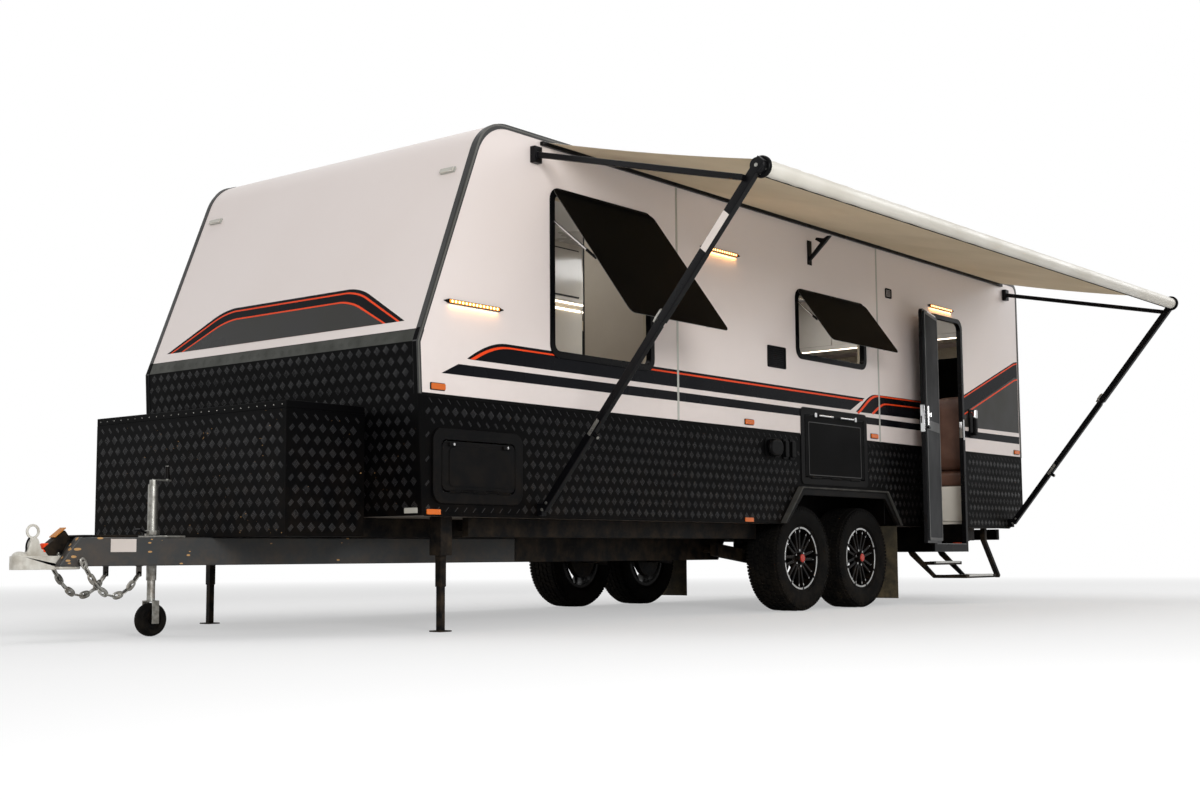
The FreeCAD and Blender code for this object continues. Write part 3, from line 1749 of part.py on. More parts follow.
def boot_door(label):
    """Locker door, hinged along its lower edge."""
    front, rear, low, high = boot_edges()
    outline = rectangle(front, rear, low, high, d.boot_round / 2)
    leaf = panel(f"{label}_leaf", "YZ_Plane", [outline], d.half_width, d.boot_proud)
    _, moving = leaf_hinge(label, front, rear, d.half_width + d.boot_proud, low)
    return joined(label, [leaf] + moving)


def table_frame():
    front, rear, low, high = table_corners()
    rim = d.table_rim
    hole = rectangle(front + rim, rear - rim, low + rim, high - rim)
    face = rectangle(d.table_front, d.table_rear, d.table_low, d.table_high, d.leaf_round)
    body = panel("table_rim", "YZ_Plane", [face, hole], d.half_width, d.table_proud)
    add_pad(body, "YZ_Plane", [rectangle(front, rear, low, high), hole], INNER, d.wall_thick)
    back = box("table_back", (INNER - d.table_recess, front, low),
               (d.sheet_thick, rear - front, high - low))
    around = panel("table_sleeve", "YZ_Plane", [rectangle(front, rear, low, high), hole],
                   INNER - d.table_recess, d.table_recess)
    inset = rim + d.moving_gap
    fixed, _ = leaf_hinge("table_frame", front + inset, rear - inset,
                          d.half_width + d.table_proud, low + inset)
    return joined("table_frame", [body, back, around] + fixed)


def hatch_frames():
    return grouped("hatch_frames", boot_frames() + [table_frame()])


def table_leaf():
    """Fold-down table, hinged along its lower edge."""
    front, rear, low, high = table_corners()
    inset = d.table_rim + d.moving_gap
    outline = rectangle(front + inset, rear - inset, low + inset, high - inset)
    start = d.half_width + d.table_proud - d.leaf_thick
    leaf = panel("table_leaf_board", "YZ_Plane", [outline], start, d.leaf_thick)
    _, moving = leaf_hinge("table_leaf", front + inset, rear - inset,
                           d.half_width + d.table_proud, low + inset)
    return joined("table_leaf", [leaf] + moving)


# Fittings


def wall_block(label, front, low, wide, high, proud, radius=None):
    """A small fitting on the door side's wall."""
    outline = rectangle(front, front + wide, low, low + high, radius)
    return panel(label, "YZ_Plane", [outline], d.half_width, proud)


def marker_lamps():
    """Amber lamps along the wall, and the reflectors below them on the skirt."""
    starts = (d.lamp_first, d.lamp_second, d.lamp_third, d.lamp_fourth)
    pieces = []
    for index, front in enumerate(starts):
        pieces.append(wall_block(f"marker_{index}", front, d.lamp_low, d.lamp_long,
                                 d.lamp_high, d.lamp_proud))
    for index, front in enumerate((d.lamp_long, d.reflector_second)):
        pieces.append(wall_block(f"reflector_{index}", front, d.skirt_height + d.reflector_proud,
                                 d.reflector_long, d.reflector_high, d.reflector_proud))
    return both_sides("marker_lamps", pieces)


def light_strips():
    """Lit strips: one near the front, one under the awning and one over the door."""
    places = (
        (d.strip_first, d.strip_first_height),
        (d.strip_second, d.strip_second_height),
        (d.strip_third, d.strip_third_height),
    )
    pieces = []
    for index, (front, low) in enumerate(places):
        pieces.append(wall_block(f"strip_{index}", front, low, d.strip_long, d.strip_high,
                                 d.strip_proud))
    return grouped("light_strips", pieces)


def wall_fittings():
    """Vent, speaker and the two hinged inlet covers."""
    pieces = [
        wall_block("vent", d.vent_front, d.vent_low, d.vent_wide, d.vent_high - d.vent_low,
                   d.vent_proud),
        wall_block("speaker", d.speaker_front, d.speaker_low, d.speaker_wide,
                   d.speaker_high - d.speaker_low, d.vent_proud),
    ]
    for index in range(2):
        front = d.socket_front + (d.socket_wide + d.socket_gap) * index
        pieces.append(wall_block(f"inlet_{index}", front, d.socket_low, d.socket_wide,
                                 d.socket_high - d.socket_low, d.socket_proud,
                                 d.socket_proud))
    return grouped("wall_fittings", pieces + [grab_handle()])


def grab_handle():
    """Handle beside the doorway: two feet and an upright bar."""
    wide = d.handle_wide
    inner = [
        (d.half_width, d.handle_low),
        (d.half_width + d.handle_out, d.handle_low, d.handle_thick),
        (d.half_width + d.handle_out, d.handle_high, d.handle_thick),
        (d.half_width, d.handle_high),
        (d.half_width, d.handle_high - d.handle_thick),
        (d.half_width + d.handle_out - d.handle_thick, d.handle_high - d.handle_thick),
        (d.half_width + d.handle_out - d.handle_thick, d.handle_low + d.handle_thick),
        (d.half_width, d.handle_low + d.handle_thick),
    ]
    return panel("grab_handle", "XZ_Plane", [inner], d.handle_set - wide / 2, wide)


def tail_lamps():
    half = d.tail_lamp_wide / 2
    outline = rectangle(d.tail_lamp_set - half, d.tail_lamp_set + half, d.tail_lamp_low,
                        d.tail_lamp_high, d.tail_lamp_wide / 4)
    lamp = panel("tail_lamp", "XZ_Plane", [outline], d.body_length, d.tail_lamp_proud)
    return both_sides("tail_lamps", [lamp])


# Rear bumper and spare wheel


BUMPER = d.body_length + d.bumper_gap


def rear_bumper():
    """Bumper bar behind the body, with the post for the spare wheel."""
    low = d.skirt_height - d.bumper_deep
    bar = box("bumper_bar", (-d.bumper_half, BUMPER, low),
              (d.bumper_half * 2, d.bumper_thick, d.bumper_deep))
    post = box("spare_post", (-d.spare_post / 2, BUMPER, d.skirt_height),
               (d.spare_post, d.bumper_thick, d.spare_height + d.spare_post / 2 - d.skirt_height))
    return joined("rear_bumper", [bar, post])


def spare_cover():
    """Moulded cover over the spare wheel on its post."""
    radius = d.tyre_round + d.cover_slack
    along = BUMPER + d.bumper_thick + d.fit_gap + d.tyre_wide / 2
    return shouldered("spare_cover", (ZERO, along, d.spare_height), radius, d.tyre_wide,
                      d.cover_round, d.cover_round, rotation=Rotation(Vector(0, 0, 1), 90))


# Awning


def awning_rail():
    """Rail along the top of the wall that holds the fabric's edge."""
    front = d.awning_front
    return box("awning_rail", (d.half_width, front, d.wall_rail_height),
               (d.wall_rail_proud, d.awning_rear - front, d.wall_rail_deep))


def awning_ends():
    """For each end: the arm's place along the body and the roller's height there."""
    return (
        ("front", d.awning_front - d.awning_arm_wide, d.roller_front_height),
        ("rear", d.awning_rear, d.roller_rear_height),
    )


def awning_arms():
    """Telescoping arms from feet low on the wall to the roller's ends, with the rafters."""
    split_share = 0.56
    pieces = []
    for name, along, height in awning_ends():
        foot = (d.half_width + d.foot_proud, d.awning_foot)
        head = (d.roller_set, height)
        run = head[0] - foot[0]
        rise = head[1] - foot[1]
        middle = (foot[0] + run * split_share, foot[1] + rise * split_share)
        base = box(f"arm_foot_{name}", (d.half_width, along, d.awning_foot - d.foot_high / 2),
                   (d.foot_proud, d.awning_arm_wide, d.foot_high))
        outer = strut(f"arm_outer_{name}", foot, middle, along, d.awning_arm_wide,
                      d.awning_arm_deep)
        inner = strut(f"arm_inner_{name}", middle, head, along, d.awning_arm_wide,
                      d.awning_inner_deep)
        knuckle = rod(f"arm_head_{name}", (d.roller_set, along, height), "Y", d.roller_round,
                      d.awning_arm_wide)
        pieces.append(joined(f"arm_{name}", [base, outer, inner, knuckle]))
        side = (along - d.rafter_wide - d.fit_gap if name == "front"
                else along + d.awning_arm_wide + d.fit_gap)
        start = (d.half_width + d.bracket_proud, d.rafter_height)
        end = (d.roller_set - d.rafter_back, height - d.rafter_drop)
        rafter = strut(f"rafter_{name}", start, end, side, d.rafter_wide, d.rafter_deep)
        bracket = box(f"bracket_{name}", (d.half_width, side - d.rafter_wide / 2,
                                          d.rafter_height - d.bracket_high / 2),
                      (d.bracket_proud + d.overrun / 2, d.rafter_wide * 2, d.bracket_high))
        pieces.append(joined(f"rafter_{name}_whole", [rafter, bracket]))
    return grouped("awning_arms", pieces + [awning_cradle()])


def awning_roller():
    """Roller tube with a cap at each end; it falls a little towards the front."""
    inset = d.cap_thick / 2
    long = d.awning_rear - d.awning_front
    fall = d.roller_rear_height - d.roller_front_height
    tube = doc.addObject("Part::Cylinder", "roller_tube")
    bind(tube, Radius=d.roller_round, Height=long - inset * 2)
    place(tube, d.roller_set, d.awning_front + inset,
          d.roller_front_height + fall * inset / long, Rotation(Vector(-1, 0, 0), 1))
    tube.setExpression("Placement.Rotation.Angle", formula(slope_angle(fall, long)))
    tube.setExpression("Placement.Rotation.Axis.x", "-1")
    pieces = [tube]
    for name, along, height in (
            ("front", d.awning_front, d.roller_front_height),
            ("rear", d.awning_rear - d.cap_thick, d.roller_rear_height)):
        pieces.append(rod(f"roller_cap_{name}", (d.roller_set, along, height), "Y",
                          d.cap_round, d.cap_thick))
    return joined("awning_roller", pieces)


def awning_fabric():
    """The canopy: a thin sheet that falls from the wall rail to the top of the roller."""
    body = new_body("awning_fabric")
    thick = d.fabric_thick
    inner = d.half_width + d.wall_rail_proud + d.fit_gap
    sections = []
    for along, height in ((d.awning_front + d.cap_thick + d.fabric_inset, d.roller_front_height),
                          (d.awning_rear - d.cap_thick - d.fabric_inset, d.roller_rear_height)):
        top = d.wall_rail_height + d.wall_rail_deep
        edge = height + d.roller_round + d.fabric_thick / 2
        outline = [
            (inner, top - thick),
            (d.roller_set, edge),
            (d.roller_set, edge + thick),
            (inner, top),
        ]
        sections.append(sketch_on(body, "XZ_Plane", [outline], -along))
    loft = body.newObject("PartDesign::AdditiveLoft", "awning_fabric_loft")
    loft.Profile = sections[0]
    loft.Sections = [sections[1]]
    loft.Ruled = True
    place(body, ZERO, ZERO, ZERO)
    return body


def awning_cradle():
    """Plate and forked arm halfway along, which hold the rolled-up awning."""
    plate = box("cradle_plate", (d.half_width, d.cradle_front, d.cradle_low),
                (d.vent_proud, d.cradle_wide, d.cradle_high - d.cradle_low))
    wide = d.cradle_wide / 2
    face = d.half_width + d.vent_proud
    out_shares = (1, 1.3, 1.1, 0.9, 0.5, 0.4, 0.7)
    tip, corner, horn, notch, tooth, heel, elbow = [
        d.half_width + d.cradle_out * share for share in out_shares]
    arm = [
        (face, d.cradle_low + wide),
        (tip, d.cradle_high - wide),
        (corner, d.cradle_high + wide / 2),
        (horn, d.cradle_high + wide / 2),
        (notch, d.cradle_high),
        (tooth, d.cradle_high + wide / 2),
        (heel, d.cradle_high),
        (elbow, d.cradle_high - wide),
        (face, d.cradle_low + wide * 2),
    ]
    fork = panel("cradle_fork", "XZ_Plane", [arm], d.cradle_front + wide / 2, wide)
    return joined("awning_cradle", [plate, fork])


# Roof


def roof_fittings():
    """Air conditioner and two vent hatches."""
    cooler = panel("cooler", "XY_Plane",
                   [rectangle(-d.cooler_half, d.cooler_half, d.cooler_front,
                              d.cooler_front + d.cooler_long, d.cooler_round)],
                   d.roof_height, d.cooler_high)
    pieces = [cooler]
    for index, front in enumerate((d.hatch_first, d.hatch_second)):
        pieces.append(box(f"roof_hatch_{index}", (-d.hatch_half, front, d.roof_height),
                          (d.hatch_half * 2, d.hatch_long, d.hatch_high)))
    return grouped("roof_fittings", pieces)


# Inside


FLOOR_TOP = d.skirt_height + d.wall_thick


def bed_base():
    """Bed box over the tunnel locker, which is open to both locker doors."""
    front = d.foot_set + d.wall_thick * 2
    sheet = d.wall_thick / 2
    tall = d.bed_high - sheet - FLOOR_TOP
    top = box("bed_top", (-INNER, front, d.bed_high - sheet),
              (INNER * 2, d.bed_rear - front, sheet))
    end = box("bed_end", (-d.mattress_half, d.bed_rear - sheet, FLOOR_TOP),
              (d.mattress_half * 2, sheet, tall))
    back = box("tunnel_back", (-INNER, d.boot_rear, FLOOR_TOP), (INNER * 2, sheet, tall))
    return joined("bed_base", [top, end, back])


def galley():
    """Galley bench on the door side, clear of the wheel housing and the table's recess."""
    gap = d.fit_gap
    outer = INNER - d.table_recess - gap
    bench = box("galley_block", (outer - d.galley_deep, d.galley_front, FLOOR_TOP),
                (d.galley_deep, d.galley_rear - d.galley_front, d.galley_high - FLOOR_TOP))
    room = panel("housing_room", "YZ_Plane", [arch_outline(d.box_sheet + gap)],
                 d.box_inner - d.box_sheet - gap, d.galley_deep)
    return cut_from("galley", bench, room)


def overhead_locker():
    """Lockers under the roof beside the windows."""
    front = d.bed_window_rear + d.galley_deep
    high = d.roof_height - d.wall_thick
    return box("overhead_locker", (INNER - d.locker_deep - d.fit_gap, front, d.locker_low),
               (d.locker_deep, d.galley_rear - front, high - d.locker_low))


def cabinets():
    """Fixed furniture that the windows and the doorway show."""
    gap = d.fit_gap
    tall = box("tall_unit", (gap - INNER, d.galley_front, FLOOR_TOP),
               (d.galley_deep, d.arch_front_foot - d.box_sheet - gap - d.galley_front,
                d.roof_height - d.wall_thick - FLOOR_TOP))
    base = box("lounge_base", (gap - INNER, d.lounge_front, FLOOR_TOP),
               ((INNER - gap) * 2, d.tail_cut_set - d.lounge_front - gap,
                d.lounge_seat - FLOOR_TOP))
    locker = overhead_locker()
    far = turn_back("overhead_locker_far", locker)
    return grouped("cabinets", [galley(), tall, base, locker, far])


def cushions():
    """Mattress, and the lounge's seat and back cushions, as plain soft blocks."""
    front = d.foot_set + d.wall_thick * 3
    mattress = box("mattress", (-d.mattress_half, front, d.bed_high + d.fit_gap),
                   (d.mattress_half * 2, d.bed_rear - front, d.mattress_thick))
    low = d.lounge_seat + d.fit_gap
    side = INNER - d.overrun
    back_front = d.tail_cut_set - d.cushion_thick
    seat = box("seat_cushion", (-side, d.lounge_front, low),
               (side * 2, back_front - d.fit_gap - d.lounge_front, d.cushion_thick))
    back = box("back_cushion", (-side, back_front, low),
               (side * 2, d.cushion_thick, d.lounge_back - low))
    return grouped("cushions", [mattress, seat, back])


def build():
    """Make every sub-part; each name is also the name of its file."""
    parts = [
        left_wall_lower(), left_wall_upper(), right_wall_lower(), right_wall_upper(),
        front_wall_lower(), front_wall_upper(), roof(), rear_wall(), floor(),
        wheel_boxes(), arch_trims(), edge_trims(),
        chassis_rails(), underframe(), drawbar(), trailing_arms(), stabiliser_legs(),
        coupling(), safety_chains(), handbrake(),
        jockey_stand(), jockey_fork(), jockey_wheel(),
        toolbox(), toolbox_lid(), mud_flaps(),
        window_frames(), window_panes(),
        door_frame(), entry_door_whole(), door_screen(), step_well(), entry_step(),
        hatch_frames(), boot_door("left_boot_door"),
        turn_back("right_boot_door", boot_door("near_boot_door")),
        table_leaf(), marker_lamps(), light_strips(), wall_fittings(), tail_lamps(),
        rear_bumper(), spare_cover(),
        awning_rail(), awning_arms(), awning_roller(), awning_fabric(), roof_fittings(),
        bed_base(), cabinets(), cushions(),
    ]
    return parts + wheels()


def check_and_write(parts):
    """Refuse to write anything unless every object and shape is sound."""
    doc.recompute()
    for thing in doc.Objects:
        if any(state in ("Invalid", "Error") for state in thing.State):
            raise RuntimeError(f"{thing.Label} did not compute: {thing.State}")
    for part in parts:
        if part.Shape.isNull() or not part.Shape.isValid():
            raise RuntimeError(f"{part.Label} has no sound shape")
    os.makedirs("parts", exist_ok=True)
    for part in parts:
        part.Shape.exportStep(f"parts/{part.Label}.step")


check_and_write(build())
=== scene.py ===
import logging
import math
from collections.abc import Callable, Iterable
from dataclasses import dataclass
from enum import Enum

import bmesh
import bpy
from mathutils import Matrix, Vector
from mathutils.geometry import interpolate_bezier


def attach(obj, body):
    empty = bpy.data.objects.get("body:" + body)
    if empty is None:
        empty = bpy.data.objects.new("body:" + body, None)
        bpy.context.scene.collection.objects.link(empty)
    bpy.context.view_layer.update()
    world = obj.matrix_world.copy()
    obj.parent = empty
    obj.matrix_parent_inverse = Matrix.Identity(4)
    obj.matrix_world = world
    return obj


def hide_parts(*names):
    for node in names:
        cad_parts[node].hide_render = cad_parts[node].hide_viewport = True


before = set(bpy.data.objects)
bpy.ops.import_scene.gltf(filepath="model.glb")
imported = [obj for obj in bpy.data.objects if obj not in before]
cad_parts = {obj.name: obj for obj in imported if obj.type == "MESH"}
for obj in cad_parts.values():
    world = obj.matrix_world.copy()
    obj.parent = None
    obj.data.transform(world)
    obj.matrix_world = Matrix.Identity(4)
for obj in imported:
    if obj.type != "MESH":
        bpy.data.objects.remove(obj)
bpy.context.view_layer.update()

Tree = bpy.types.NodeTree
Socket = bpy.types.NodeSocket
LOG = logging.getLogger("caravan")
NODES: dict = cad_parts
MAIN = "caravan"
# From the tow ball to the measuring frame's origin, on the ground below the front wall
BALL = Vector((0.0, 1.55, -0.40))
# The side walls' faces, and the front wall's foot, kink and head, in metres
WALL = 1.22
LENGTH = 7.94
# The axles behind the front wall, and the toolbox's half width and how far it reaches ahead
AXLES = (4.070, 4.964)
BOX_HALF, BOX_DEEP = 0.855, 0.554
FOOT_ALONG, FOOT_UP = 0.082, 0.64
KINK_ALONG, KINK_UP = 0.035, 1.583
ROOF_ALONG, ROOF_UP = 0.564, 2.933
NOSE_LEAN = math.atan2(ROOF_ALONG - KINK_ALONG, ROOF_UP - KINK_UP)
# Splashes of mud: their colour, how rough they and the dust are, and how far they reach
MUD_COLOUR, DIRT_ROUGH = "B9905F", 0.9
MUD_UP, MUD_ALONG = 1.2, 0.30


class Facing(Enum):
    """The way that a flat outline looks: its two coordinates are the other two axes."""

    X = 0
    Y = 1
    Z = 2


def linear(code: str) -> tuple:
    """Turn an sRGB hex colour into the linear colour that a shader takes.

    Args:
        code: Six hex digits.

    Returns:
        Red, green, blue and an alpha of one.
    """
    shares = [int(code[spot:spot + 2], 16) / 255 for spot in (0, 2, 4)]
    return tuple(share / 12.92 if share <= 0.04045 else ((share + 0.055) / 1.055) ** 2.4
                 for share in shares) + (1.0,)


def add_node(tree: Tree, kind: str, inputs: dict | None = None,
             **settings: object) -> bpy.types.Node:
    """Add a shader node with its settings, values and links.

    Args:
        tree: The node tree that it joins.
        kind: The node's type name.
        inputs: Values or output sockets, by input name or number.
        settings: Attributes of the node itself.

    Returns:
        The new node.
    """
    node = tree.nodes.new(kind)
    for name, value in settings.items():
        setattr(node, name, value)
    for key, value in (inputs or {}).items():
        if isinstance(value, Socket):
            tree.links.new(value, node.inputs[key])
        else:
            node.inputs[key].default_value = value
    return node


def maths(tree: Tree, operation: str, first: object, second: object) -> Socket:
    """Combine two values."""
    return add_node(tree, "ShaderNodeMath", {0: first, 1: second}, operation=operation).outputs[0]


def ramp(tree: Tree, value: Socket, low: float, high: float, to_low: float = 0.0,
         to_high: float = 1.0) -> Socket:
    """Map a value from one range onto another."""
    return add_node(tree, "ShaderNodeMapRange", {
        "Value": value, "From Min": low, "From Max": high, "To Min": to_low, "To Max": to_high,
    }).outputs["Result"]


def blend(tree: Tree, share: Socket, first: object, second: object) -> Socket:
    """Blend two colours."""
    return add_node(tree, "ShaderNodeMix", {0: share, 6: first, 7: second},
                    data_type="RGBA").outputs[2]


def clouds(tree: Tree, spot: Socket, scale: float, detail: float = 2.0,
           roughness: float = 0.5) -> Socket:
    """Give a noise at a scale per metre."""
    return add_node(tree, "ShaderNodeTexNoise", {
        "Vector": spot, "Scale": scale, "Detail": detail, "Roughness": roughness,
    }).outputs["Fac"]


def empty_tree(owner: bpy.types.ID) -> Tree:
    """Turn on the nodes of a material or a world, with none in the tree."""
    owner.use_nodes = True
    owner.node_tree.nodes.clear()
    return owner.node_tree


@dataclass(frozen=True)
class Finish:
    """A finish with a fine grain, slow blotches of a second colour, road dust and dried mud.

    Grain and blotch are the pattern's spacing in millimetres, and depth is the relief's height
    in millimetres. Spread is how far the gloss varies about rough, and specular the strength of
    the plain shine. Clear is the light let through, and glow the light given off. Dust is how
    much of the surface it covers at the ground, and dust_top the height in metres above the
    ground where it ends. Mud is the drops' size, as a share of the usual one.
    """

    name: str
    slot: str
    colour: str
    second: str = ""
    rough: float = 0.5
    spread: float = 0.08
    metallic: float = 0.0
    ior: float = 1.5
    coat: float = 0.0
    grain: float = 2.0
    depth: float = 0.02
    blotch: float = 400.0
    dust: float = 0.0
    dust_top: float = 1.2
    dust_colour: str = "6E5B45"
    clear: float = 0.0
    glow: float = 0.0
    specular: float = 0.5
    mud: float = 0.0

    def material(self) -> bpy.types.Material:
        """Give the finish's material, made on first use."""
        made = bpy.data.materials.get(self.name)
        if made is not None:
            return made
        made = bpy.data.materials.new(self.name)
        tree = empty_tree(made)
        spot = add_node(tree, "ShaderNodeTexCoord").outputs["Object"]
        shader = add_node(tree, "ShaderNodeBsdfPrincipled", {
            "Metallic": self.metallic, "Coat Weight": self.coat, "Coat Roughness": 0.12,
            "Specular IOR Level": self.specular, "Transmission Weight": self.clear})
        if self.metallic < 0.5:
            shader.inputs["IOR"].default_value = self.ior
        if self.glow > 0:
            shader.inputs["Emission Color"].default_value = linear(self.colour)
            shader.inputs["Emission Strength"].default_value = self.glow
        add_node(tree, "ShaderNodeOutputMaterial", {"Surface": shader.outputs["BSDF"]})
        self._colour(tree, shader, spot)
        bump = add_node(tree, "ShaderNodeBump", {
            "Height": self.relief(tree, spot), "Distance": self.depth / 1000, "Strength": 1.0})
        tree.links.new(bump.outputs["Normal"], shader.inputs["Normal"])
        return made

    def _colour(self, tree: Tree, shader: bpy.types.Node, spot: Socket) -> None:
        """Link the blotches, the uneven gloss, the dust and the mud."""
        cloud = clouds(tree, spot, 1000 / self.blotch, 5.0)
        colour = blend(tree, ramp(tree, cloud, 0.35, 0.65), self.ground(tree, spot),
                       linear(self.second or self.colour))
        rough = ramp(tree, cloud, 0.3, 0.7, self.rough - self.spread, self.rough + self.spread)
        covers = []
        if self.dust > 0:
            height = add_node(tree, "ShaderNodeSeparateXYZ", {0: spot}).outputs["Z"]
            fade = ramp(tree, height, BALL.z, BALL.z + self.dust_top, self.dust, 0.0)
            patch = ramp(tree, clouds(tree, spot, 9.0, 9.0, 0.7), 0.42, 0.68)
            covers.append((maths(tree, "MULTIPLY", fade, patch), self.dust_colour))
        if self.mud > 0:
            covers.append((self._splash(tree, spot), MUD_COLOUR))
        for mask, dirt in covers:
            colour = blend(tree, mask, colour, linear(dirt))
            rough = add_node(tree, "ShaderNodeMix", {0: mask, 2: rough, 3: DIRT_ROUGH}).outputs[0]
        tree.links.new(colour, shader.inputs["Base Color"])
        tree.links.new(rough, shader.inputs["Roughness"])

    def _splash(self, tree: Tree, spot: Socket) -> Socket:
        """Give the mask of dried splashes: separate drops in clouds, low down and in front."""
        drawn = add_node(tree, "ShaderNodeMapping", {"Vector": spot, "Scale": (1.0, 0.5, 1.3)})
        drops = add_node(tree, "ShaderNodeTexVoronoi", {
            "Vector": drawn.outputs[0], "Scale": 30.0, "Randomness": 1.0}).outputs["Distance"]
        size = ramp(tree, clouds(tree, spot, 5.0, 3.0), 0.46, 0.72, 0.0, 0.27 * self.mud)
        place = add_node(tree, "ShaderNodeSeparateXYZ", {0: spot}).outputs
        low = maths(tree, "LESS_THAN", place["Z"], BALL.z + MUD_UP)
        front = maths(tree, "LESS_THAN", place["Y"], BALL.y + MUD_ALONG)
        return maths(tree, "MULTIPLY", maths(tree, "LESS_THAN", drops, size),
                     maths(tree, "MULTIPLY", low, front))

    def ground(self, tree: Tree, spot: Socket) -> object:
        """Give the main colour, or the socket of a pattern that makes it."""
        return linear(self.colour)

    def relief(self, tree: Tree, spot: Socket) -> Socket:
        """Give the relief's height; here the plain grain of a moulded face."""
        return clouds(tree, spot, 1000 / self.grain, 3.0)


@dataclass(frozen=True)
class Brushed(Finish):
    """Metal with fine lines drawn along one axis."""

    along: tuple = (1.0, 1.0, 0.03)

    def relief(self, tree: Tree, spot: Socket) -> Socket:
        """Give the height of the drawn lines."""
        drawn = add_node(tree, "ShaderNodeMapping", {"Vector": spot, "Scale": self.along})
        return clouds(tree, drawn.outputs[0], 1000 / self.grain)


@dataclass(frozen=True)
class Cloth(Finish):
    """Woven cloth: warp and weft, one thread apart."""

    def relief(self, tree: Tree, spot: Socket) -> Socket:
        """Give the height of the crossing threads."""
        waves = [add_node(tree, "ShaderNodeTexWave", {
            "Vector": spot, "Scale": 1000 / self.grain / 20, "Distortion": 0.4,
        }, bands_direction=way).outputs["Fac"] for way in ("X", "Y")]
        return maths(tree, "MULTIPLY", *waves)


@dataclass(frozen=True)
class Hide(Finish):
    """Leather or leatherette with pebbled grain."""

    def relief(self, tree: Tree, spot: Socket) -> Socket:
        """Give the height of the pebbles between their creases."""
        return add_node(tree, "ShaderNodeTexVoronoi", {
            "Vector": spot, "Scale": 1000 / self.grain}, feature="SMOOTH_F1").outputs["Distance"]


@dataclass(frozen=True)
class Carbon(Finish):
    """A printed film with a small chequer weave."""

    weave: str = "3A3A3C"

    def ground(self, tree: Tree, spot: Socket) -> object:
        """Give the two greys of the weave."""
        return add_node(tree, "ShaderNodeTexChecker", {
            "Vector": spot, "Color1": linear(self.colour), "Color2": linear(self.weave),
            "Scale": 1000 / self.grain}).outputs["Color"]


@dataclass(frozen=True)
class Louvred(Finish):
    """Ribs that run along the body, one grain apart in height."""

    def relief(self, tree: Tree, spot: Socket) -> Socket:
        """Give the height of the ribs."""
        return add_node(tree, "ShaderNodeTexWave", {
            "Vector": spot, "Scale": 1000 / self.grain / 20}, bands_direction="Z").outputs["Fac"]


# Aluminium composite sheet, factory coated: flat, satin, a breath of pink in its white
COMPOSITE = Finish("painted_composite_white", "wall_white", "E4DAD6", "DFD4CF", rough=0.36,
                   coat=0.15, grain=35, depth=0.012, blotch=1800, dust=0.10, dust_top=2.0)
# Fibreglass, gel coated: the roof and its nose, a little cooler and glossier
GELCOAT = Finish("gelcoat_white", "wall_white", "E6E6E6", "DEDFE0", rough=0.28, coat=0.3,
                 grain=60, depth=0.03, blotch=2200)
# Rolled five-bar aluminium, powder coated black: hard gloss on the bars, whose lighter black than
# the sheet's is a painted glint, and dust between them
TREAD = Finish("powder_coated_tread_bars_painted_glint", "cladding_black", "1A1A1C", "101012", rough=0.3,
               spread=0.1, specular=0.36, mud=0.6, grain=3, depth=0.03, blotch=500, dust=0.5,
               dust_top=1.15, dust_colour="4C3E30")
# The same coat over plain folded sheet, darker than on the bars, where the lighter black is a
# painted glint
POWDER = Finish("powder_coated_sheet", "cladding_black", "040405", "060606", rough=0.45,
                specular=0.03, grain=3, depth=0.03, dust=0.14, mud=0.45, dust_top=1.15,
                dust_colour="4C3E30")
# The cladding's sloped flange, where dust settles: its pale grey is partly that dust and partly a
# painted sheen of the sky
FLANGE = Finish("tread_plate_flange_dust_and_painted_sky_sheen", "cladding_black", "3A3B36", "30312C", rough=0.6,
                specular=0.3, grain=3, depth=0.05, blotch=120)
# ABS, vacuum formed, with its leather grain
ABS_BLACK = Hide("moulded_abs_black", "black_plastic", "070708", "0A0A0B", rough=0.42,
                 specular=0.06, grain=3, depth=0.05, dust=0.12)
# ABS without grain, as around the glass
ABS_SMOOTH = Finish("smooth_abs_black", "black_plastic", "070708", "0B0B0C", rough=0.28,
                    specular=0.07, grain=8, depth=0.01, dust=0.15)
# The arch trim's upper ledge, a dull pale grey, much paler than the trim below it
LEDGE = Finish("pale_grey_abs_ledge", "black_plastic", "4A4946", "3B3A38", rough=0.8, specular=0.1,
               grain=3, depth=0.05, blotch=90)
# Extruded aluminium, painted a dull dark grey, and the paler vinyl pressed into it
MOULDING = Finish("painted_extrusion_grey", "moulding_grey", "343433", "2D2D2C", rough=0.42,
                  specular=0.3, grain=4, depth=0.02)
VINYL_INSERT = Finish("ribbed_vinyl_insert", "moulding_grey", "5C5B57", "504F4B", rough=0.5,
                      grain=5, depth=0.06)
# Sealant beads and gaskets: a soft black that takes no shine
GASKET = Finish("epdm_gasket", "black_plastic", "080808", "0B0B0B", rough=0.6, specular=0.05,
                grain=2, depth=0.03)
# Thin mill-finish strips, a shade greener than the walls
SEAM_STRIP = Finish("aluminium_joint_strip", "rail_white", "B9BAB2", "A9AAA3", rough=0.35,
                    metallic=0.4, grain=5, depth=0.02)
# Cast vinyl film: gloss black, orange-red, plain white and a printed weave
FILM_BLACK = Finish("vinyl_film_black", "cladding_black", "0B0C10", "0E0F13", rough=0.25,
                    specular=0.05, grain=20, depth=0.006)
FILM_RED = Finish("vinyl_film_red", "lamp_red", "EE4A1E", "E6451A", rough=0.28, specular=0.1,
                  grain=20, depth=0.006)
FILM_WHITE = Finish("vinyl_film_white", "wall_white", "D2C8C1", "C9BFB7", rough=0.3, grain=20,
                    depth=0.006)
FILM_CARBON = Carbon("vinyl_film_carbon", "cladding_black", "2A2926", "302F2B", rough=0.32,
                     specular=0.12, grain=9, depth=0.006)
# Steel rails under grey paint, the most splashed of all
FRAME_GREY = Finish("painted_steel_grey", "galvanised", "3A3B3B", "323333", rough=0.4,
                    specular=0.3, grain=6, depth=0.04, blotch=900, dust=0.35, dust_top=0.7,
                    mud=1.7, dust_colour="8B6A46")
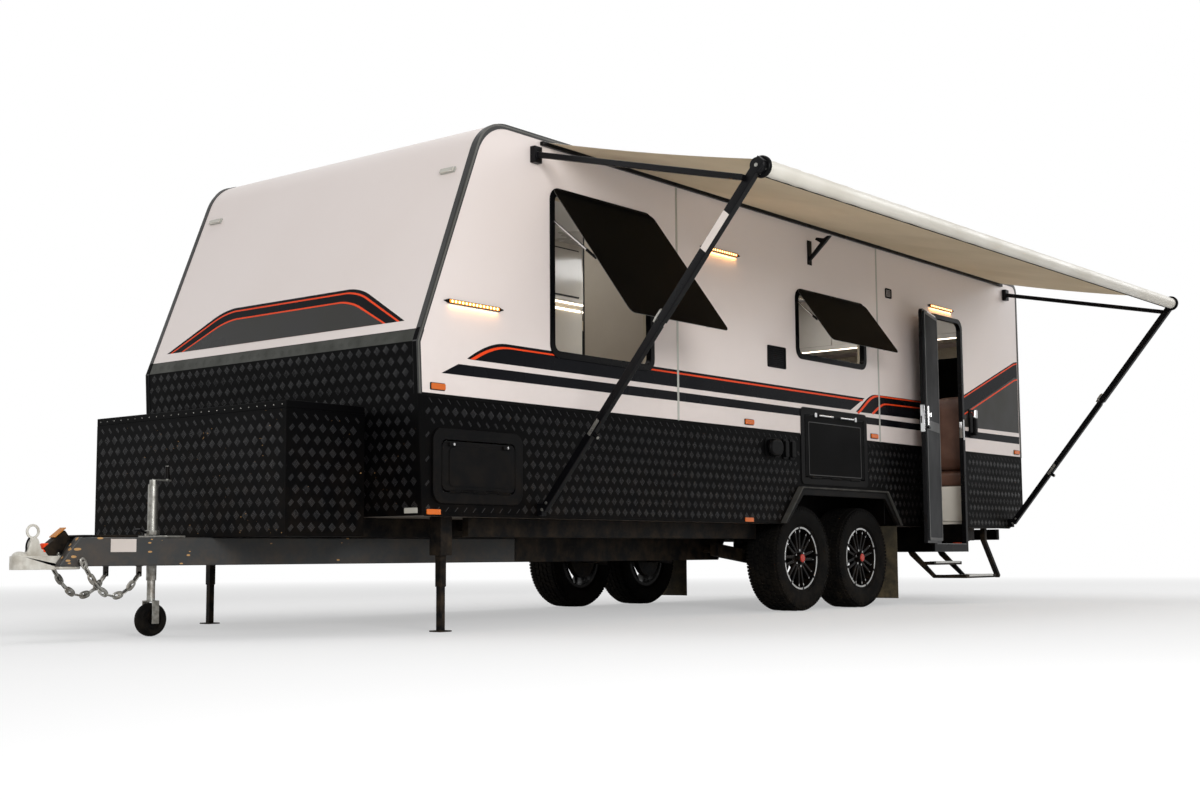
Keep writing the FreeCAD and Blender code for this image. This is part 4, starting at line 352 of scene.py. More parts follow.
# Chassis steel, brushed with dull black
FRAME_BLACK = Finish("painted_steel_black", "frame_black", "0C0C0D", "080809", rough=0.45,
                     specular=0.08, grain=5, depth=0.04, dust=0.35, dust_top=1.1)
# Extrusions of the awning and the door: an even satin
SATIN_BLACK = Finish("anodised_aluminium_black", "frame_black", "08080A", "0C0C0E", rough=0.3,
                     specular=0.12, grain=3, depth=0.01)
# Hot-dip galvanised steel: dull spangle with rust-brown dust
ZINC = Finish("galvanised_steel_spangled", "zinc", "A9A8A2", "7F7E78", metallic=0.85, rough=0.36,
              spread=0.14, grain=5, depth=0.05, blotch=28, dust=0.55, dust_top=0.9,
              dust_colour="6B5137")
# The coupling's sand-cast skin under worn white paint
CAST_WHITE = Finish("cast_steel_painted_white", "zinc", "D8D5CC", "B9B4A8", rough=0.42,
                    grain=2.5, depth=0.12, blotch=60, dust=0.5, dust_top=0.8)
# Small bright castings
CHROME = Finish("chromed_zinc_casting", "zinc", "DADADA", "C9C9C9", metallic=1.0, rough=0.1,
                spread=0.04, grain=30, depth=0.004)
# The rims: a lathe-cut lip on gloss black
MACHINED = Brushed("machined_aluminium_lip", "rim_black", "C9C9C8", "AFAFAD", metallic=1.0,
                   rough=0.22, grain=1.5, depth=0.01)
RIM_GLOSS = Finish("gloss_enamel_black", "rim_black", "060607", "090909", rough=0.2,
                   specular=0.08, grain=20, depth=0.01, dust=0.2, dust_colour="4A3A2A")
HUB_RED = Finish("gloss_abs_red", "lamp_red", "C22A0C", "A82208", rough=0.26, coat=0.12,
                 grain=20, depth=0.01)
# Filled tyre rubber, with the grey-brown bloom of gravel roads
RUBBER = Finish("vulcanised_tyre_rubber", "tyre_rubber", "0A0A0A", "0F0E0D", rough=0.75,
                specular=0.05, grain=3, depth=0.12, blotch=120, dust=0.18, dust_top=0.8,
                dust_colour="50463A")
# The flaps behind the wheels, caked with road dirt
FLAP = Finish("moulded_rubber_flap", "flap_rubber", "35322A", "443F33", rough=0.7, specular=0.2,
              grain=4, depth=0.1, dust=0.8, dust_top=0.9, dust_colour="77694F")
# The brake lever's grip
PAD_ORANGE = Finish("moulded_grip_orange", "brake_black", "C9812B", "B46F22", rough=0.45,
                    grain=2, depth=0.06)
# Cast acrylic, deep tint: almost opaque, with a fine polish
ACRYLIC = Finish("cast_acrylic_dark_tint", "tinted_glass", "040404", "070605", rough=0.14,
                 specular=0.05, spread=0.03, ior=1.2, grain=400, depth=0.05)
# The door's insect screen: a fine dull weave
MESH = Cloth("fibreglass_insect_mesh", "mesh_grey", "2B2C2E", "242527", rough=0.7, specular=0.2,
             grain=3, depth=0.3)
# Acrylic-coated polyester: chalk white above, and sand below, a painted glow of the light that
# comes through it
CANOPY = Cloth("coated_canopy_cloth", "awning_cloth", "E4E0D8", "D9D4CA", rough=0.72, grain=6,
               depth=0.12, blotch=900)
CANOPY_UNDER = Cloth("canopy_underside_painted_backlight", "awning_cloth", "DECBAC", "CFBC9C",
                     rough=0.78, grain=6, depth=0.12, blotch=900)
# The awning's tube, in dulled white enamel
ROLLER_WHITE = Finish("painted_roller_white", "rail_white", "DAD6CC", "CFCABE", rough=0.4,
                      grain=8, depth=0.02)
# Ribbed lamp lenses; the amber and the red carry a faint painted glow for the sky that lights them
# from behind
AMBER = Louvred("moulded_lens_amber", "lamp_amber", "D86600", "C45A00", rough=0.3, coat=0.1,
                grain=6, depth=0.25, clear=0.15, glow=0.1)
LENS_CLEAR = Louvred("moulded_lens_clear", "lamp_amber", "D8D4C8", "CFCBC0", rough=0.12,
                     coat=0.5, grain=5, depth=0.25, clear=0.3)
LENS_RED = Louvred("moulded_lens_red", "lamp_red", "B01010", "8E0A0A", rough=0.14, coat=0.6,
                   grain=6, depth=0.25, clear=0.15, glow=0.08)
# The strips' amber diffuser and its lit diodes, and the cooler strips inside
DIFFUSER = Finish("amber_strip_diffuser", "strip_warm", "E88A2C", "D97E24", rough=0.3, grain=8,
                  depth=0.01, glow=1.1)
DIODES = Finish("lit_diode_strip_warm", "strip_warm", "FFD59A", rough=0.4, grain=10, depth=0.01,
                glow=3.2)
DIODES_COOL = Finish("lit_diode_strip_cool", "strip_warm", "FFF1DC", rough=0.4, grain=10,
                     depth=0.01, glow=4.0)
# The cabin: gloss doors, matt trims, linen-look wall board, speckled stone and a cream blind
LAMINATE = Finish("high_gloss_laminate_white", "cabinet_white", "E7E2D8", "DFD9CE", rough=0.16,
                  coat=0.4, grain=60, depth=0.01)
LAMINATE_WARM = Finish("matt_laminate_beige", "cabinet_white", "C9BDA6", "BFB299", rough=0.4,
                       grain=8, depth=0.02)
WALLBOARD = Finish("foil_faced_wallboard_beige", "cabinet_white", "CDC2B0", "C4B8A5", rough=0.5,
                   grain=4, depth=0.03)
BENCH_TOP = Finish("pressed_stone_top", "cabinet_white", "5F5B55", "77726A", rough=0.25,
                   grain=3, depth=0.02, blotch=14)
BLIND = Finish("pleated_blind_cream", "cabinet_white", "D9D2C2", "CFC7B5", rough=0.7, grain=4,
               depth=0.05)
# Upholstery: pebbled brown leather, grey linen, a white quilt
LEATHER = Hide("pebbled_leather_brown", "lounge_brown", "6A4A3C", "563A2E", rough=0.5, grain=5,
               depth=0.35, blotch=160)
LINEN = Cloth("woven_linen_grey", "lounge_brown", "9A948B", "8B857C", rough=0.8, grain=4,
              depth=0.3, blotch=80)
QUILT = Cloth("woven_cotton_white", "lounge_brown", "DDD8CE", "D2CCC0", rough=0.8, grain=4,
              depth=0.3)
# The floor's printed planks, scuffed
VINYL_FLOOR = Finish("printed_vinyl_floor", "floor_grey", "6B6257", "5A5147", rough=0.42,
                     grain=12, depth=0.03, blotch=90)
# Sheet aluminium, powder coated pale grey, on the treads' noses
NOSING = Finish("powder_coated_nosing_white", "rail_white", "D2D2CF", "C6C6C2", rough=0.45,
                grain=3, depth=0.05, dust=0.3, dust_top=0.6)
# Tread plate worn to bare metal by shoes
TREAD_BRIGHT = Finish("worn_tread_plate_aluminium", "tread_plate", "8D8177", "5D5249",
                      metallic=0.8, rough=0.38, grain=4, depth=0.05, blotch=70)


def at(across: float, along: float, up: float) -> Vector:
    """Give the frame's place of a point counted from the ground below the front wall."""
    return Vector((across, along, up)) + BALL


def rounded(box: tuple, radius: float, steps: int = 6) -> list:
    """Give the points of a rectangle with round corners, counter-clockwise.

    Args:
        box: Its low and high end along the first axis, and then along the second.
        radius: The corners' radius.
        steps: Edges in each corner.

    Returns:
        The points, as pairs.
    """
    low_a, high_a, low_b, high_b = box
    centres = ((high_a - radius, high_b - radius), (low_a + radius, high_b - radius),
               (low_a + radius, low_b + radius), (high_a - radius, low_b + radius))
    points = []
    for quarter, (a, b) in enumerate(centres):
        for step in range(steps + 1):
            angle = math.pi / 2 * (quarter + step / steps)
            points.append((a + radius * math.cos(angle), b + radius * math.sin(angle)))
    return points


def inset(box: tuple, by: float) -> tuple:
    """Draw the four sides of such a rectangle inwards."""
    return box[0] + by, box[1] - by, box[2] + by, box[3] - by


def front_line(up: float) -> float:
    """Give how far back the front wall's face lies at a height, below and above its kink."""
    if up <= KINK_UP:
        return FOOT_ALONG + (KINK_ALONG - FOOT_ALONG) * (up - FOOT_UP) / (KINK_UP - FOOT_UP)
    return KINK_ALONG + (ROOF_ALONG - KINK_ALONG) * (up - KINK_UP) / (ROOF_UP - KINK_UP)


def points_of(geom: list) -> list:
    """Give the vertices among what an operator has made."""
    return [item for item in geom if isinstance(item, bmesh.types.BMVert)]


def round_off(mesh: bmesh.types.BMesh, edges: Iterable, width: float, segments: int = 2,
              clamp: bool = True) -> None:
    """Round some edges."""
    bmesh.ops.bevel(mesh, geom=list(edges), offset=width, affect="EDGES", segments=segments,
                    profile=0.5, material=-1, clamp_overlap=clamp)


def settled(whole: bmesh.types.BMesh, name: str) -> bpy.types.Mesh:
    """Keep finished geometry as a named mesh, and free the working copy."""
    data = bpy.data.meshes.new(name)
    whole.to_mesh(data)
    whole.free()
    return data


class Shape:
    """A mesh that grows piece by piece, in metres from the ground below the front wall."""

    def __init__(self) -> None:
        """Start with nothing in it."""
        self.mesh = bmesh.new()

    def _spot(self, pair: tuple, facing: Facing, depth: float) -> Vector:
        """Give the point of an outline's pair at a depth along its facing axis."""
        values = list(pair)
        values.insert(facing.value, depth)
        return Vector(values)

    def _all(self) -> list:
        """Give everything in it so far."""
        return list(self.mesh.verts) + list(self.mesh.edges) + list(self.mesh.faces)

    def block(self, low: tuple, high: tuple, bevel: float = 0.0, segments: int = 2,
              turn: Matrix | None = None) -> "Shape":
        """Add a box with round edges, turned about its own middle where a turn is given."""
        verts = bmesh.ops.create_cube(self.mesh, size=1.0)["verts"]
        low_spot, high_spot = Vector(low), Vector(high)
        middle = Matrix.Translation((low_spot + high_spot) / 2)
        scale = Matrix.Diagonal((*(high_spot - low_spot), 1.0))
        bmesh.ops.transform(self.mesh, matrix=middle @ (turn or Matrix()) @ scale, verts=verts)
        if bevel > 0:
            round_off(self.mesh, {edge for vert in verts for edge in vert.link_edges}, bevel,
                      segments)
        return self

    def plate(self, outline: list, facing: Facing, start: float, thick: float,
              bevel: float = 0.0, hole: list | None = None, segments: int = 2) -> "Shape":
        """Add a flat piece: an outline, with a hole of as many points where one is given.

        Args:
            outline: Pairs along the two axes that it doesn't face.
            facing: The axis that it faces.
            start: Where it starts on that axis.
            thick: How far it reaches from there, with its sign.
            bevel: The round of its edges.
            hole: Pairs of the hole, in the same order and number as the outline's.
            segments: Steps in the round.

        Returns:
            This shape.
        """
        loops = [[self.mesh.verts.new(self._spot(pair, facing, start)) for pair in points]
                 for points in ((outline, hole) if hole else (outline,))]
        if hole:
            edges = [self.mesh.edges.new((loop[index - 1], loop[index]))
                     for loop in loops for index in range(len(loop))]
            faces = bmesh.ops.bridge_loops(self.mesh, edges=edges)["faces"]
        else:
            faces = [self.mesh.faces.new(loops[0])]
        moved = points_of(bmesh.ops.extrude_face_region(self.mesh, geom=faces)["geom"])
        bmesh.ops.translate(self.mesh, vec=self._spot((0.0, 0.0), facing, thick), verts=moved)
        if bevel > 0:
            near = [vert for loop in loops for vert in loop]
            round_off(self.mesh, {edge for vert in near + moved for edge in vert.link_edges
                                  if edge.calc_face_angle(0.0) > 0.6}, bevel, segments)
        return self

    def panel(self, box: tuple, radius: float, start: float, thick: float, bevel: float = 0.0,
              steps: int = 6, hole: list | None = None, segments: int = 2,
              facing: Facing = Facing.X) -> "Shape":
        """Add a rectangular plate with round corners; the sizes are those of rounded and plate."""
        return self.plate(rounded(box, radius, steps), facing, start, thick, bevel, hole,
                          segments)

    def lathe(self, profile: list, centre: tuple = (0, 0, 0), facing: Facing = Facing.X,
              steps: int = 48) -> "Shape":
        """Add a turned piece from (axial, radial) pairs about an axis through its centre."""
        side = Facing.Z if facing is not Facing.Z else Facing.X
        spots = []
        for axial, radial in profile:
            values = [0.0, 0.0, 0.0]
            values[facing.value] = axial
            values[side.value] = radial
            spots.append(self.mesh.verts.new(Vector(values) + Vector(centre)))
        edges = [self.mesh.edges.new(pair) for pair in zip(spots, spots[1:])]
        axis = [0.0, 0.0, 0.0]
        axis[facing.value] = 1.0
        bmesh.ops.spin(self.mesh, geom=spots + edges, cent=centre, axis=axis, dvec=(0, 0, 0),
                       angle=math.tau, steps=steps, use_merge=True)
        near = [vert for vert in self.mesh.verts if vert.is_valid]
        bmesh.ops.remove_doubles(self.mesh, verts=near, dist=0.00002)
        return self

    def bar(self, start: tuple, end: tuple, radius: float, sides: int = 20,
            tip: float | None = None, bevel: float = 0.0) -> "Shape":
        """Add a round bar or cone between two points."""
        first, last = Vector(start), Vector(end)
        run = last - first
        place = (Matrix.Translation((first + last) / 2)
                 @ run.to_track_quat("Z", "Y").to_matrix().to_4x4())
        verts = bmesh.ops.create_cone(self.mesh, cap_ends=True, segments=sides, radius1=radius,
                                      radius2=radius if tip is None else tip,
                                      depth=run.length, matrix=place)["verts"]
        if bevel > 0:
            round_off(self.mesh, {
                edge for vert in verts for edge in vert.link_edges
                if abs((edge.verts[0].co - edge.verts[1].co).normalized().dot(
                    run.normalized())) < 0.5}, bevel)
        return self

    def pipe(self, points: list, radius: float) -> "Shape":
        """Add a bar bent along points on a smooth curve."""
        data = bpy.data.curves.new("bent_bar", "CURVE")
        data.dimensions = "3D"
        data.bevel_depth = radius
        data.bevel_resolution = 3
        data.use_fill_caps = True
        line = data.splines.new("NURBS")
        line.points.add(len(points) - 1)
        for knot, point in zip(line.points, points):
            knot.co = (*point, 1.0)
        line.use_endpoint_u = True
        line.order_u = 4
        line.resolution_u = 4
        holder = bpy.data.objects.new("bent_bar", data)
        made = bpy.data.meshes.new_from_object(holder)
        self.mesh.from_mesh(made)
        bpy.data.objects.remove(holder)
        bpy.data.meshes.remove(made)
        bpy.data.curves.remove(data)
        return self

    def move(self, matrix: Matrix) -> "Shape":
        """Move all of it so far."""
        bmesh.ops.transform(self.mesh, matrix=matrix, verts=self.mesh.verts)
        return self

    def ring_of(self, count: int, axis: tuple = (1, 0, 0)) -> "Shape":
        """Repeat all of it so far evenly about an axis through the zero point."""
        first = self._all()
        for index in range(1, count):
            made = bmesh.ops.duplicate(self.mesh, geom=first)["geom"]
            bmesh.ops.rotate(self.mesh, cent=(0, 0, 0), verts=points_of(made),
                             matrix=Matrix.Rotation(math.tau * index / count, 3, axis))
        return self

    def both(self) -> "Shape":
        """Add its mirror image on the other side of the centre plane."""
        bmesh.ops.mirror(self.mesh, geom=self._all(), axis="X", merge_dist=0.00001)
        return self

    def add(self, other: "Shape", matrix: Matrix | None = None) -> "Shape":
        """Add a copy of another shape, moved by a matrix."""
        copy = bpy.data.meshes.new("copy")
        other.mesh.to_mesh(copy)
        copy.transform(matrix or Matrix())
        self.mesh.from_mesh(copy)
        bpy.data.meshes.remove(copy)
        return self

    def piece(self, name: str, finish: Finish, body: str = MAIN, stands_for: tuple = (),
              sharp: float = 35.0, matrix: Matrix | None = None) -> bpy.types.Object:
        """Close the mesh and make it a piece that rides on a body.

        Args:
            name: The piece's name.
            finish: Its finish.
            body: The body that it rides on.
            stands_for: CAD nodes that it stands for.
            sharp: The angle in degrees past which an edge stays sharp.
            matrix: A last move of the whole, before the frame's shift.

        Returns:
            The new object.
        """
        whole = self.mesh.copy()
        if matrix is not None:
            bmesh.ops.transform(whole, matrix=matrix, verts=whole.verts)
        bmesh.ops.recalc_face_normals(whole, faces=whole.faces)
        bmesh.ops.translate(whole, vec=BALL, verts=whole.verts)
        return dress(name, settled(whole, name), finish, body, stands_for, sharp)


def dress(name: str, data: bpy.types.Mesh, finish: Finish, body: str = MAIN,
          stands_for: tuple = (), sharp: float = 35.0, levels: int = 0) -> bpy.types.Object:
    """Make an object of a finished mesh, with its finish, shading and body."""
    data.shade_smooth()
    data.set_sharp_from_angle(angle=math.radians(sharp))
    data.materials.clear()
    data.materials.append(finish.material())
    piece = bpy.data.objects.new(name, data)
    bpy.context.scene.collection.objects.link(piece)
    if levels:
        subdivide(piece, levels)
    elif sharp < 90:
        weights = piece.modifiers.new("flat_faces_stay_flat", "WEIGHTED_NORMAL")
        weights.keep_sharp = True
    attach(piece, body)
    if stands_for:
        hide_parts(*stands_for)
    LOG.info("%s: %d faces", name, len(data.polygons))
    return piece


def subdivide(piece: bpy.types.Object, levels: int) -> None:
    """Smooth a piece by subdivision."""
    smooth = piece.modifiers.new("smooth", "SUBSURF")
    smooth.levels = levels
    smooth.render_levels = levels


def merged(node: str) -> bmesh.types.BMesh:
    """Give a copy of a node's geometry, its double points merged and its flat faces joined."""
    whole = bmesh.new()
    whole.from_mesh(NODES[node].data)
    bmesh.ops.remove_doubles(whole, verts=whole.verts, dist=0.00001)
    bmesh.ops.dissolve_limit(whole, angle_limit=math.radians(1.0), verts=whole.verts,
                             edges=whole.edges)
    return whole


def rounded_copy(node: str, name: str, finish: Finish) -> bpy.types.Object:
    """Make a smooth piece from a node's geometry, which it then stands for."""
    return dress(name, settled(merged(node), name), finish, MAIN, (node,), 180.0, 2)


def softened(node: str, name: str, finish: Finish, width: float = 0.002, body: str = MAIN,
             segments: int = 2) -> bpy.types.Object:
    """Make a piece with rounded edges from a node's geometry, which it then stands for.

    Args:
        node: The CAD node that it stands for.
        name: The piece's name.
        finish: Its finish.
        width: The round's width in metres.
        body: The body that it rides on.
        segments: Steps in the round.

    Returns:
        The new piece.
    """
    whole = merged(node)
    round_off(whole, [edge for edge in whole.edges if edge.is_manifold
                      and edge.calc_face_angle(0.0) > math.radians(28)], width, segments, False)
    bmesh.ops.recalc_face_normals(whole, faces=whole.faces)
    return dress(name, settled(whole, name), finish, body, (node,), 40.0)


def paint(finish: Finish, *nodes: str) -> None:
    """Give CAD nodes their finish, on their objects' own slots."""
    for node in nodes:
        piece = NODES[node]
        if not piece.data.materials:
            piece.data.materials.append(None)
        for slot in piece.material_slots:
            slot.link = "OBJECT"
            slot.material = finish.material()


def bezier(*knots: tuple, steps: int = 8) -> list:
    """Give points along Bezier spans; each knot is (point, handle before, handle after)."""
    points = []
    for first, last in zip(knots, knots[1:]):
        span = interpolate_bezier(Vector((*first[0], 0)), Vector((*first[2], 0)),
                                  Vector((*last[1], 0)), Vector((*last[0], 0)), steps + 1)
        points += [(spot.x, spot.y) for spot in span[:-1]]
    points.append(knots[-1][0])
    return points


def bend(corner: tuple, before: tuple, after: tuple, reach: float, steps: int = 6) -> list:
    """Give the points of a smooth bend at a corner between two straight runs.

    Args:
        corner: Where the runs would meet.
        before: A point on the first run.
        after: A point on the second run.
        reach: How far along each run the bend starts.
        steps: Spans in the bend.

    Returns:
        The bend's points.
    """
    spot = Vector(corner)
    start = spot + (Vector(before) - spot).normalized() * reach
    end = spot + (Vector(after) - spot).normalized() * reach
    return bezier((tuple(start), None, tuple(start.lerp(spot, 0.6))),
                  (tuple(end), tuple(end.lerp(spot, 0.6)), None), steps=steps)


def placed(spot: tuple, angle: float, axis: str) -> Matrix:
    """Give the move that turns about an axis and then shifts to a spot."""
    return Matrix.Translation(spot) @ Matrix.Rotation(angle, 4, axis)


def on_side(across: float) -> Matrix:
    """Give the turn that lays a flat XY field on a side wall, facing outwards."""
    return Matrix(((0, 0, math.copysign(1, across), across), (1, 0, 0, 0), (0, 1, 0, 0),
                   (0, 0, 0, 1)))


def on_nose() -> Matrix:
    """Give the turn that lays a flat XY field on the front wall above its kink."""
    return placed((0, KINK_ALONG, KINK_UP), math.pi / 2 - NOSE_LEAN, "X")


@dataclass
class Shell:
    """Walls, roof and the mouldings along their edges."""

    insert_half: float = 0.005
    insert_proud: float = 0.0012
    strip_half: float = 0.011
    strip_proud: float = 0.0016
    hem: float = 1.30
    joints: tuple = (2.456, 5.211)

    def build(self) -> None:
        """Dress the walls and add the inserts, joint strips and the cladding's cap."""
        paint(COMPOSITE, "left_wall_upper", "right_wall_upper", "front_wall_upper", "rear_wall")
        paint(GELCOAT, "roof")
        paint(POWDER, "left_wall_lower", "right_wall_lower", "front_wall_lower")
        paint(MOULDING, "edge_trims")
        paint(VINYL_FLOOR, "floor")
        self.inserts()
        self.strips()

    def edge_path(self, by: float) -> list:
        """Give the side's outline above the cladding, a little inside its edge."""
        kink = (KINK_ALONG + by, KINK_UP)
        nose, tail = (ROOF_ALONG + by * 1.2, ROOF_UP - by), (LENGTH - by, ROOF_UP - by)
        foot = (LENGTH - by, self.hem)
        return [(front_line(self.hem) + by, self.hem), kink, *bend(nose, kink, tail, 0.15, 10),
                *bend(tail, nose, foot, 0.09, 8), foot]

    def inserts(self) -> None:
        """Add the ribbed insert that hides the screws of the edge moulding."""
        outer = self.edge_path(0.011 - self.insert_half)
        inner = self.edge_path(0.011 + self.insert_half)
        shape = Shape().plate(outer + inner[::-1], Facing.X, WALL + 0.003, self.insert_proud,
                              0.0004)
        shape.both().piece("edge_insert", VINYL_INSERT)

    def strips(self) -> None:
        """Add the cover strips over the joints between the sheets, and the cladding's cap."""
        shape, cap = Shape(), Shape()
        for along in self.joints:
            shape.panel((along - self.strip_half, along + self.strip_half, 1.299, 2.87), 0.004,
                        WALL, self.strip_proud, 0.0006, 2)
        shape.both()
        for across in (-0.41, 0.41):
            shape.block((across - 0.010, 0.90, 2.932), (across + 0.010, 7.7, 2.9345), 0.0006)
        shape.piece("joint_strips", SEAM_STRIP)
        for side in (1, -1):
            for start, end in ((0.05, 3.99), (4.995, 6.098), (6.742, 7.935)):
                cap.panel((start, end, 1.290, 1.3065), 0.003, side * WALL, side * 0.0016, 0.0005,
                          2)
        cap.piece("cladding_cap", GASKET)


@dataclass
class TreadPlate:
    """Five-bar plate: groups of raised bars that turn by a right angle from cell to cell."""

    pitch: tuple = (0.073, 0.132)
    bar_long: float = 0.036
    bar_wide: float = 0.0046
    bar_high: float = 0.0011
    gap: float = 0.0078
    crest: tuple = (0.72, 0.3, 1.0)

    def group(self, shape: Shape, centre: Vector, turn: float) -> None:
        """Add one group of five bars, flat in the XY plane."""
        mesh = shape.mesh
        for index in range(-2, 3):
            verts = bmesh.ops.create_grid(mesh, x_segments=1, y_segments=1, size=0.5)["verts"]
            ridge = bmesh.ops.extrude_face_region(
                mesh, geom=list({face for vert in verts for face in vert.link_faces}))
            top = points_of(ridge["geom"])
            bmesh.ops.scale(mesh, vec=self.crest, verts=top)
            bmesh.ops.translate(mesh, vec=(0, 0, 1), verts=top)
            under = [face for face in {face for vert in verts for face in vert.link_faces}
                     if all(vert in verts for vert in face.verts)]
            bmesh.ops.delete(mesh, geom=under, context="FACES")
            place = (placed(centre, turn, "Z") @ Matrix.Translation((0, index * self.gap, 0))
                     @ Matrix.Diagonal((self.bar_long, self.bar_wide, self.bar_high, 1.0)))
            bmesh.ops.transform(mesh, matrix=place, verts=verts + top)

    def field(self, low: tuple, high: tuple, inside: Callable | None = None) -> Shape:
        """Fill a rectangle with groups, and keep those that lie on the sheet.

        Args:
            low: Its low corner.
            high: Its high corner.
            inside: A test of a pair of places, true on the sheet, where it isn't all sheet.

        Returns:
            The raised bars, flat in the XY plane.
        """
        wide, tall = self.pitch
        cell = Shape()
        self.group(cell, Vector((wide / 4, tall / 4, 0)), math.pi / 4)
        self.group(cell, Vector((wide * 0.75, tall * 0.75, 0)), -math.pi / 4)
        bmesh.ops.translate(cell.mesh, vec=(low[0], low[1], 0), verts=cell.mesh.verts)
        for axis in (0, 1):
            count = 1
            while count * self.pitch[axis] < high[axis] - low[axis]:
                step = [0.0, 0.0, 0.0]
                step[axis] = count * self.pitch[axis]
                made = bmesh.ops.duplicate(cell.mesh, geom=list(cell.mesh.faces))["geom"]
                bmesh.ops.translate(cell.mesh, vec=step, verts=points_of(made))
                count *= 2
        outside = {vert for vert in cell.mesh.verts
                   if not (low[0] < vert.co.x < high[0] and low[1] < vert.co.y < high[1]
                           and (inside is None or inside(vert.co.x, vert.co.y)))}
        for _ in range(2):
            outside |= {other for vert in outside for face in vert.link_faces
                        for other in face.verts}
        bmesh.ops.delete(cell.mesh, geom=list(outside), context="VERTS")
        return cell


@dataclass
class Cladding:
    """Black tread plate round the lower body and on the toolbox."""

    plate: TreadPlate
    skirt: tuple = (0.10, 7.92, 0.654, 1.286)
    locker: tuple = (0.14, 0.90, 0.69, 1.135)
    left_fittings: tuple = ((3.98, 5.005, 0.915, 2.0), (3.48, 3.94, 1.10, 1.245),
                            (6.06, 6.78, 0.0, 2.0))

    def build(self) -> None:
        """Lay the plate's bars on every clad face, with angles at the corners."""
        self.sides()
        self.front()
        self.toolbox()
        self.corners()

    def on_wall(self, along: float, up: float, door: bool) -> bool:
        """Tell whether a place on a side wall is plain cladding."""
        def within(box: tuple) -> bool:
            """Tell whether the place lies within a rectangle."""
            return box[0] < along < box[1] and box[2] < up < box[3]

        if not within(self.skirt) or within(self.locker):
            return False
        if up < FOOT_UP + (along - 7.64) * 0.19 / 0.30 + 0.02:
            return False
        if door and any(within(box) for box in self.left_fittings):
            return False
        front, rear = 3.675 + (up - FOOT_UP), 5.505 - (up - FOOT_UP) * 0.9
        return not (front < along < rear and up < 0.935)

    def sides(self) -> None:
        """Lay the bars on both side walls."""
        for name, across in (("left", WALL), ("right", -WALL)):
            field = self.plate.field((0.10, 0.652), (7.92, 1.288),
                                     lambda a, b: self.on_wall(a, b, across > 0))
            field.piece(f"{name}_tread_bars", TREAD, matrix=on_side(across), sharp=20)

    def front(self) -> None:
        """Lay the bars on the front wall, which leans forward up to its kink and back above."""
        lean = math.atan2(FOOT_ALONG - KINK_ALONG, KINK_UP - FOOT_UP)
        self.plate.field((-1.19, 0.02), (1.19, 0.94)).piece(
            "front_tread_bars", TREAD, sharp=20,
            matrix=placed((0, FOOT_ALONG, FOOT_UP), math.pi / 2 + lean, "X"))
        flange = self.plate.field((-1.17, 0.004), (1.17, 0.076))
        flange.panel((-1.186, 1.186, 0.002, 0.076), 0.002, 0.0, 0.0006, steps=1, facing=Facing.Z)
        flange.piece("front_tread_flange", FLANGE, matrix=on_nose(), sharp=20)

    def toolbox(self) -> None:
        """Lay the bars on the toolbox and its lid."""
        self.plate.field((-0.84, 0.545), (0.84, 1.186)).piece(
            "toolbox_front_bars", TREAD, sharp=20,
            matrix=placed((0, -BOX_DEEP, 0), math.pi / 2, "X"))
        side = self.plate.field((-0.54, 0.545), (-0.015, 1.186))
        ends = Shape().add(side, on_side(BOX_HALF)).add(side, on_side(-BOX_HALF))
        ends.piece("toolbox_end_bars", TREAD, sharp=20)
        self.plate.field((-0.84, -0.54), (0.84, -0.015)).piece(
            "toolbox_lid_bars", TREAD, "toolbox_cover", sharp=20,
            matrix=Matrix.Translation((0, 0, 1.243)))

    def corners(self) -> None:
        """Add the folded angles up the front corners, the skirt's beads and the seams."""
        shape, seams = Shape(), Shape()
        kink = (KINK_ALONG, KINK_UP)
        for foot, head in (((FOOT_ALONG, FOOT_UP), kink), (kink, (0.064, 1.655))):
            lean = Matrix.Rotation(math.atan2(foot[0] - head[0], head[1] - foot[1]), 4, "X")
            middle = ((foot[0] + head[0]) / 2, (foot[1] + head[1]) / 2)
            half = math.hypot(head[0] - foot[0], head[1] - foot[1]) / 2
            shape.block((WALL - 0.03, middle[0] - 0.003, middle[1] - half),
                        (WALL + 0.0015, middle[0] + 0.03, middle[1] + half), 0.001, turn=lean)
        for start, end in ((0.10, 3.70), (5.50, 6.08), (6.76, 7.62)):
            shape.block((WALL - 0.002, start, 0.636), (WALL + 0.003, end, 0.650), 0.001)
        shape.both().piece("cladding_angles", POWDER)
        for along in (2.545, 5.25):
            seams.block((WALL - 0.001, along - 0.004, 0.65), (WALL + 0.0014, along + 0.004, 1.29))
        seams.both().piece("cladding_seams", GASKET)
        paint(POWDER, "toolbox", "toolbox_lid")


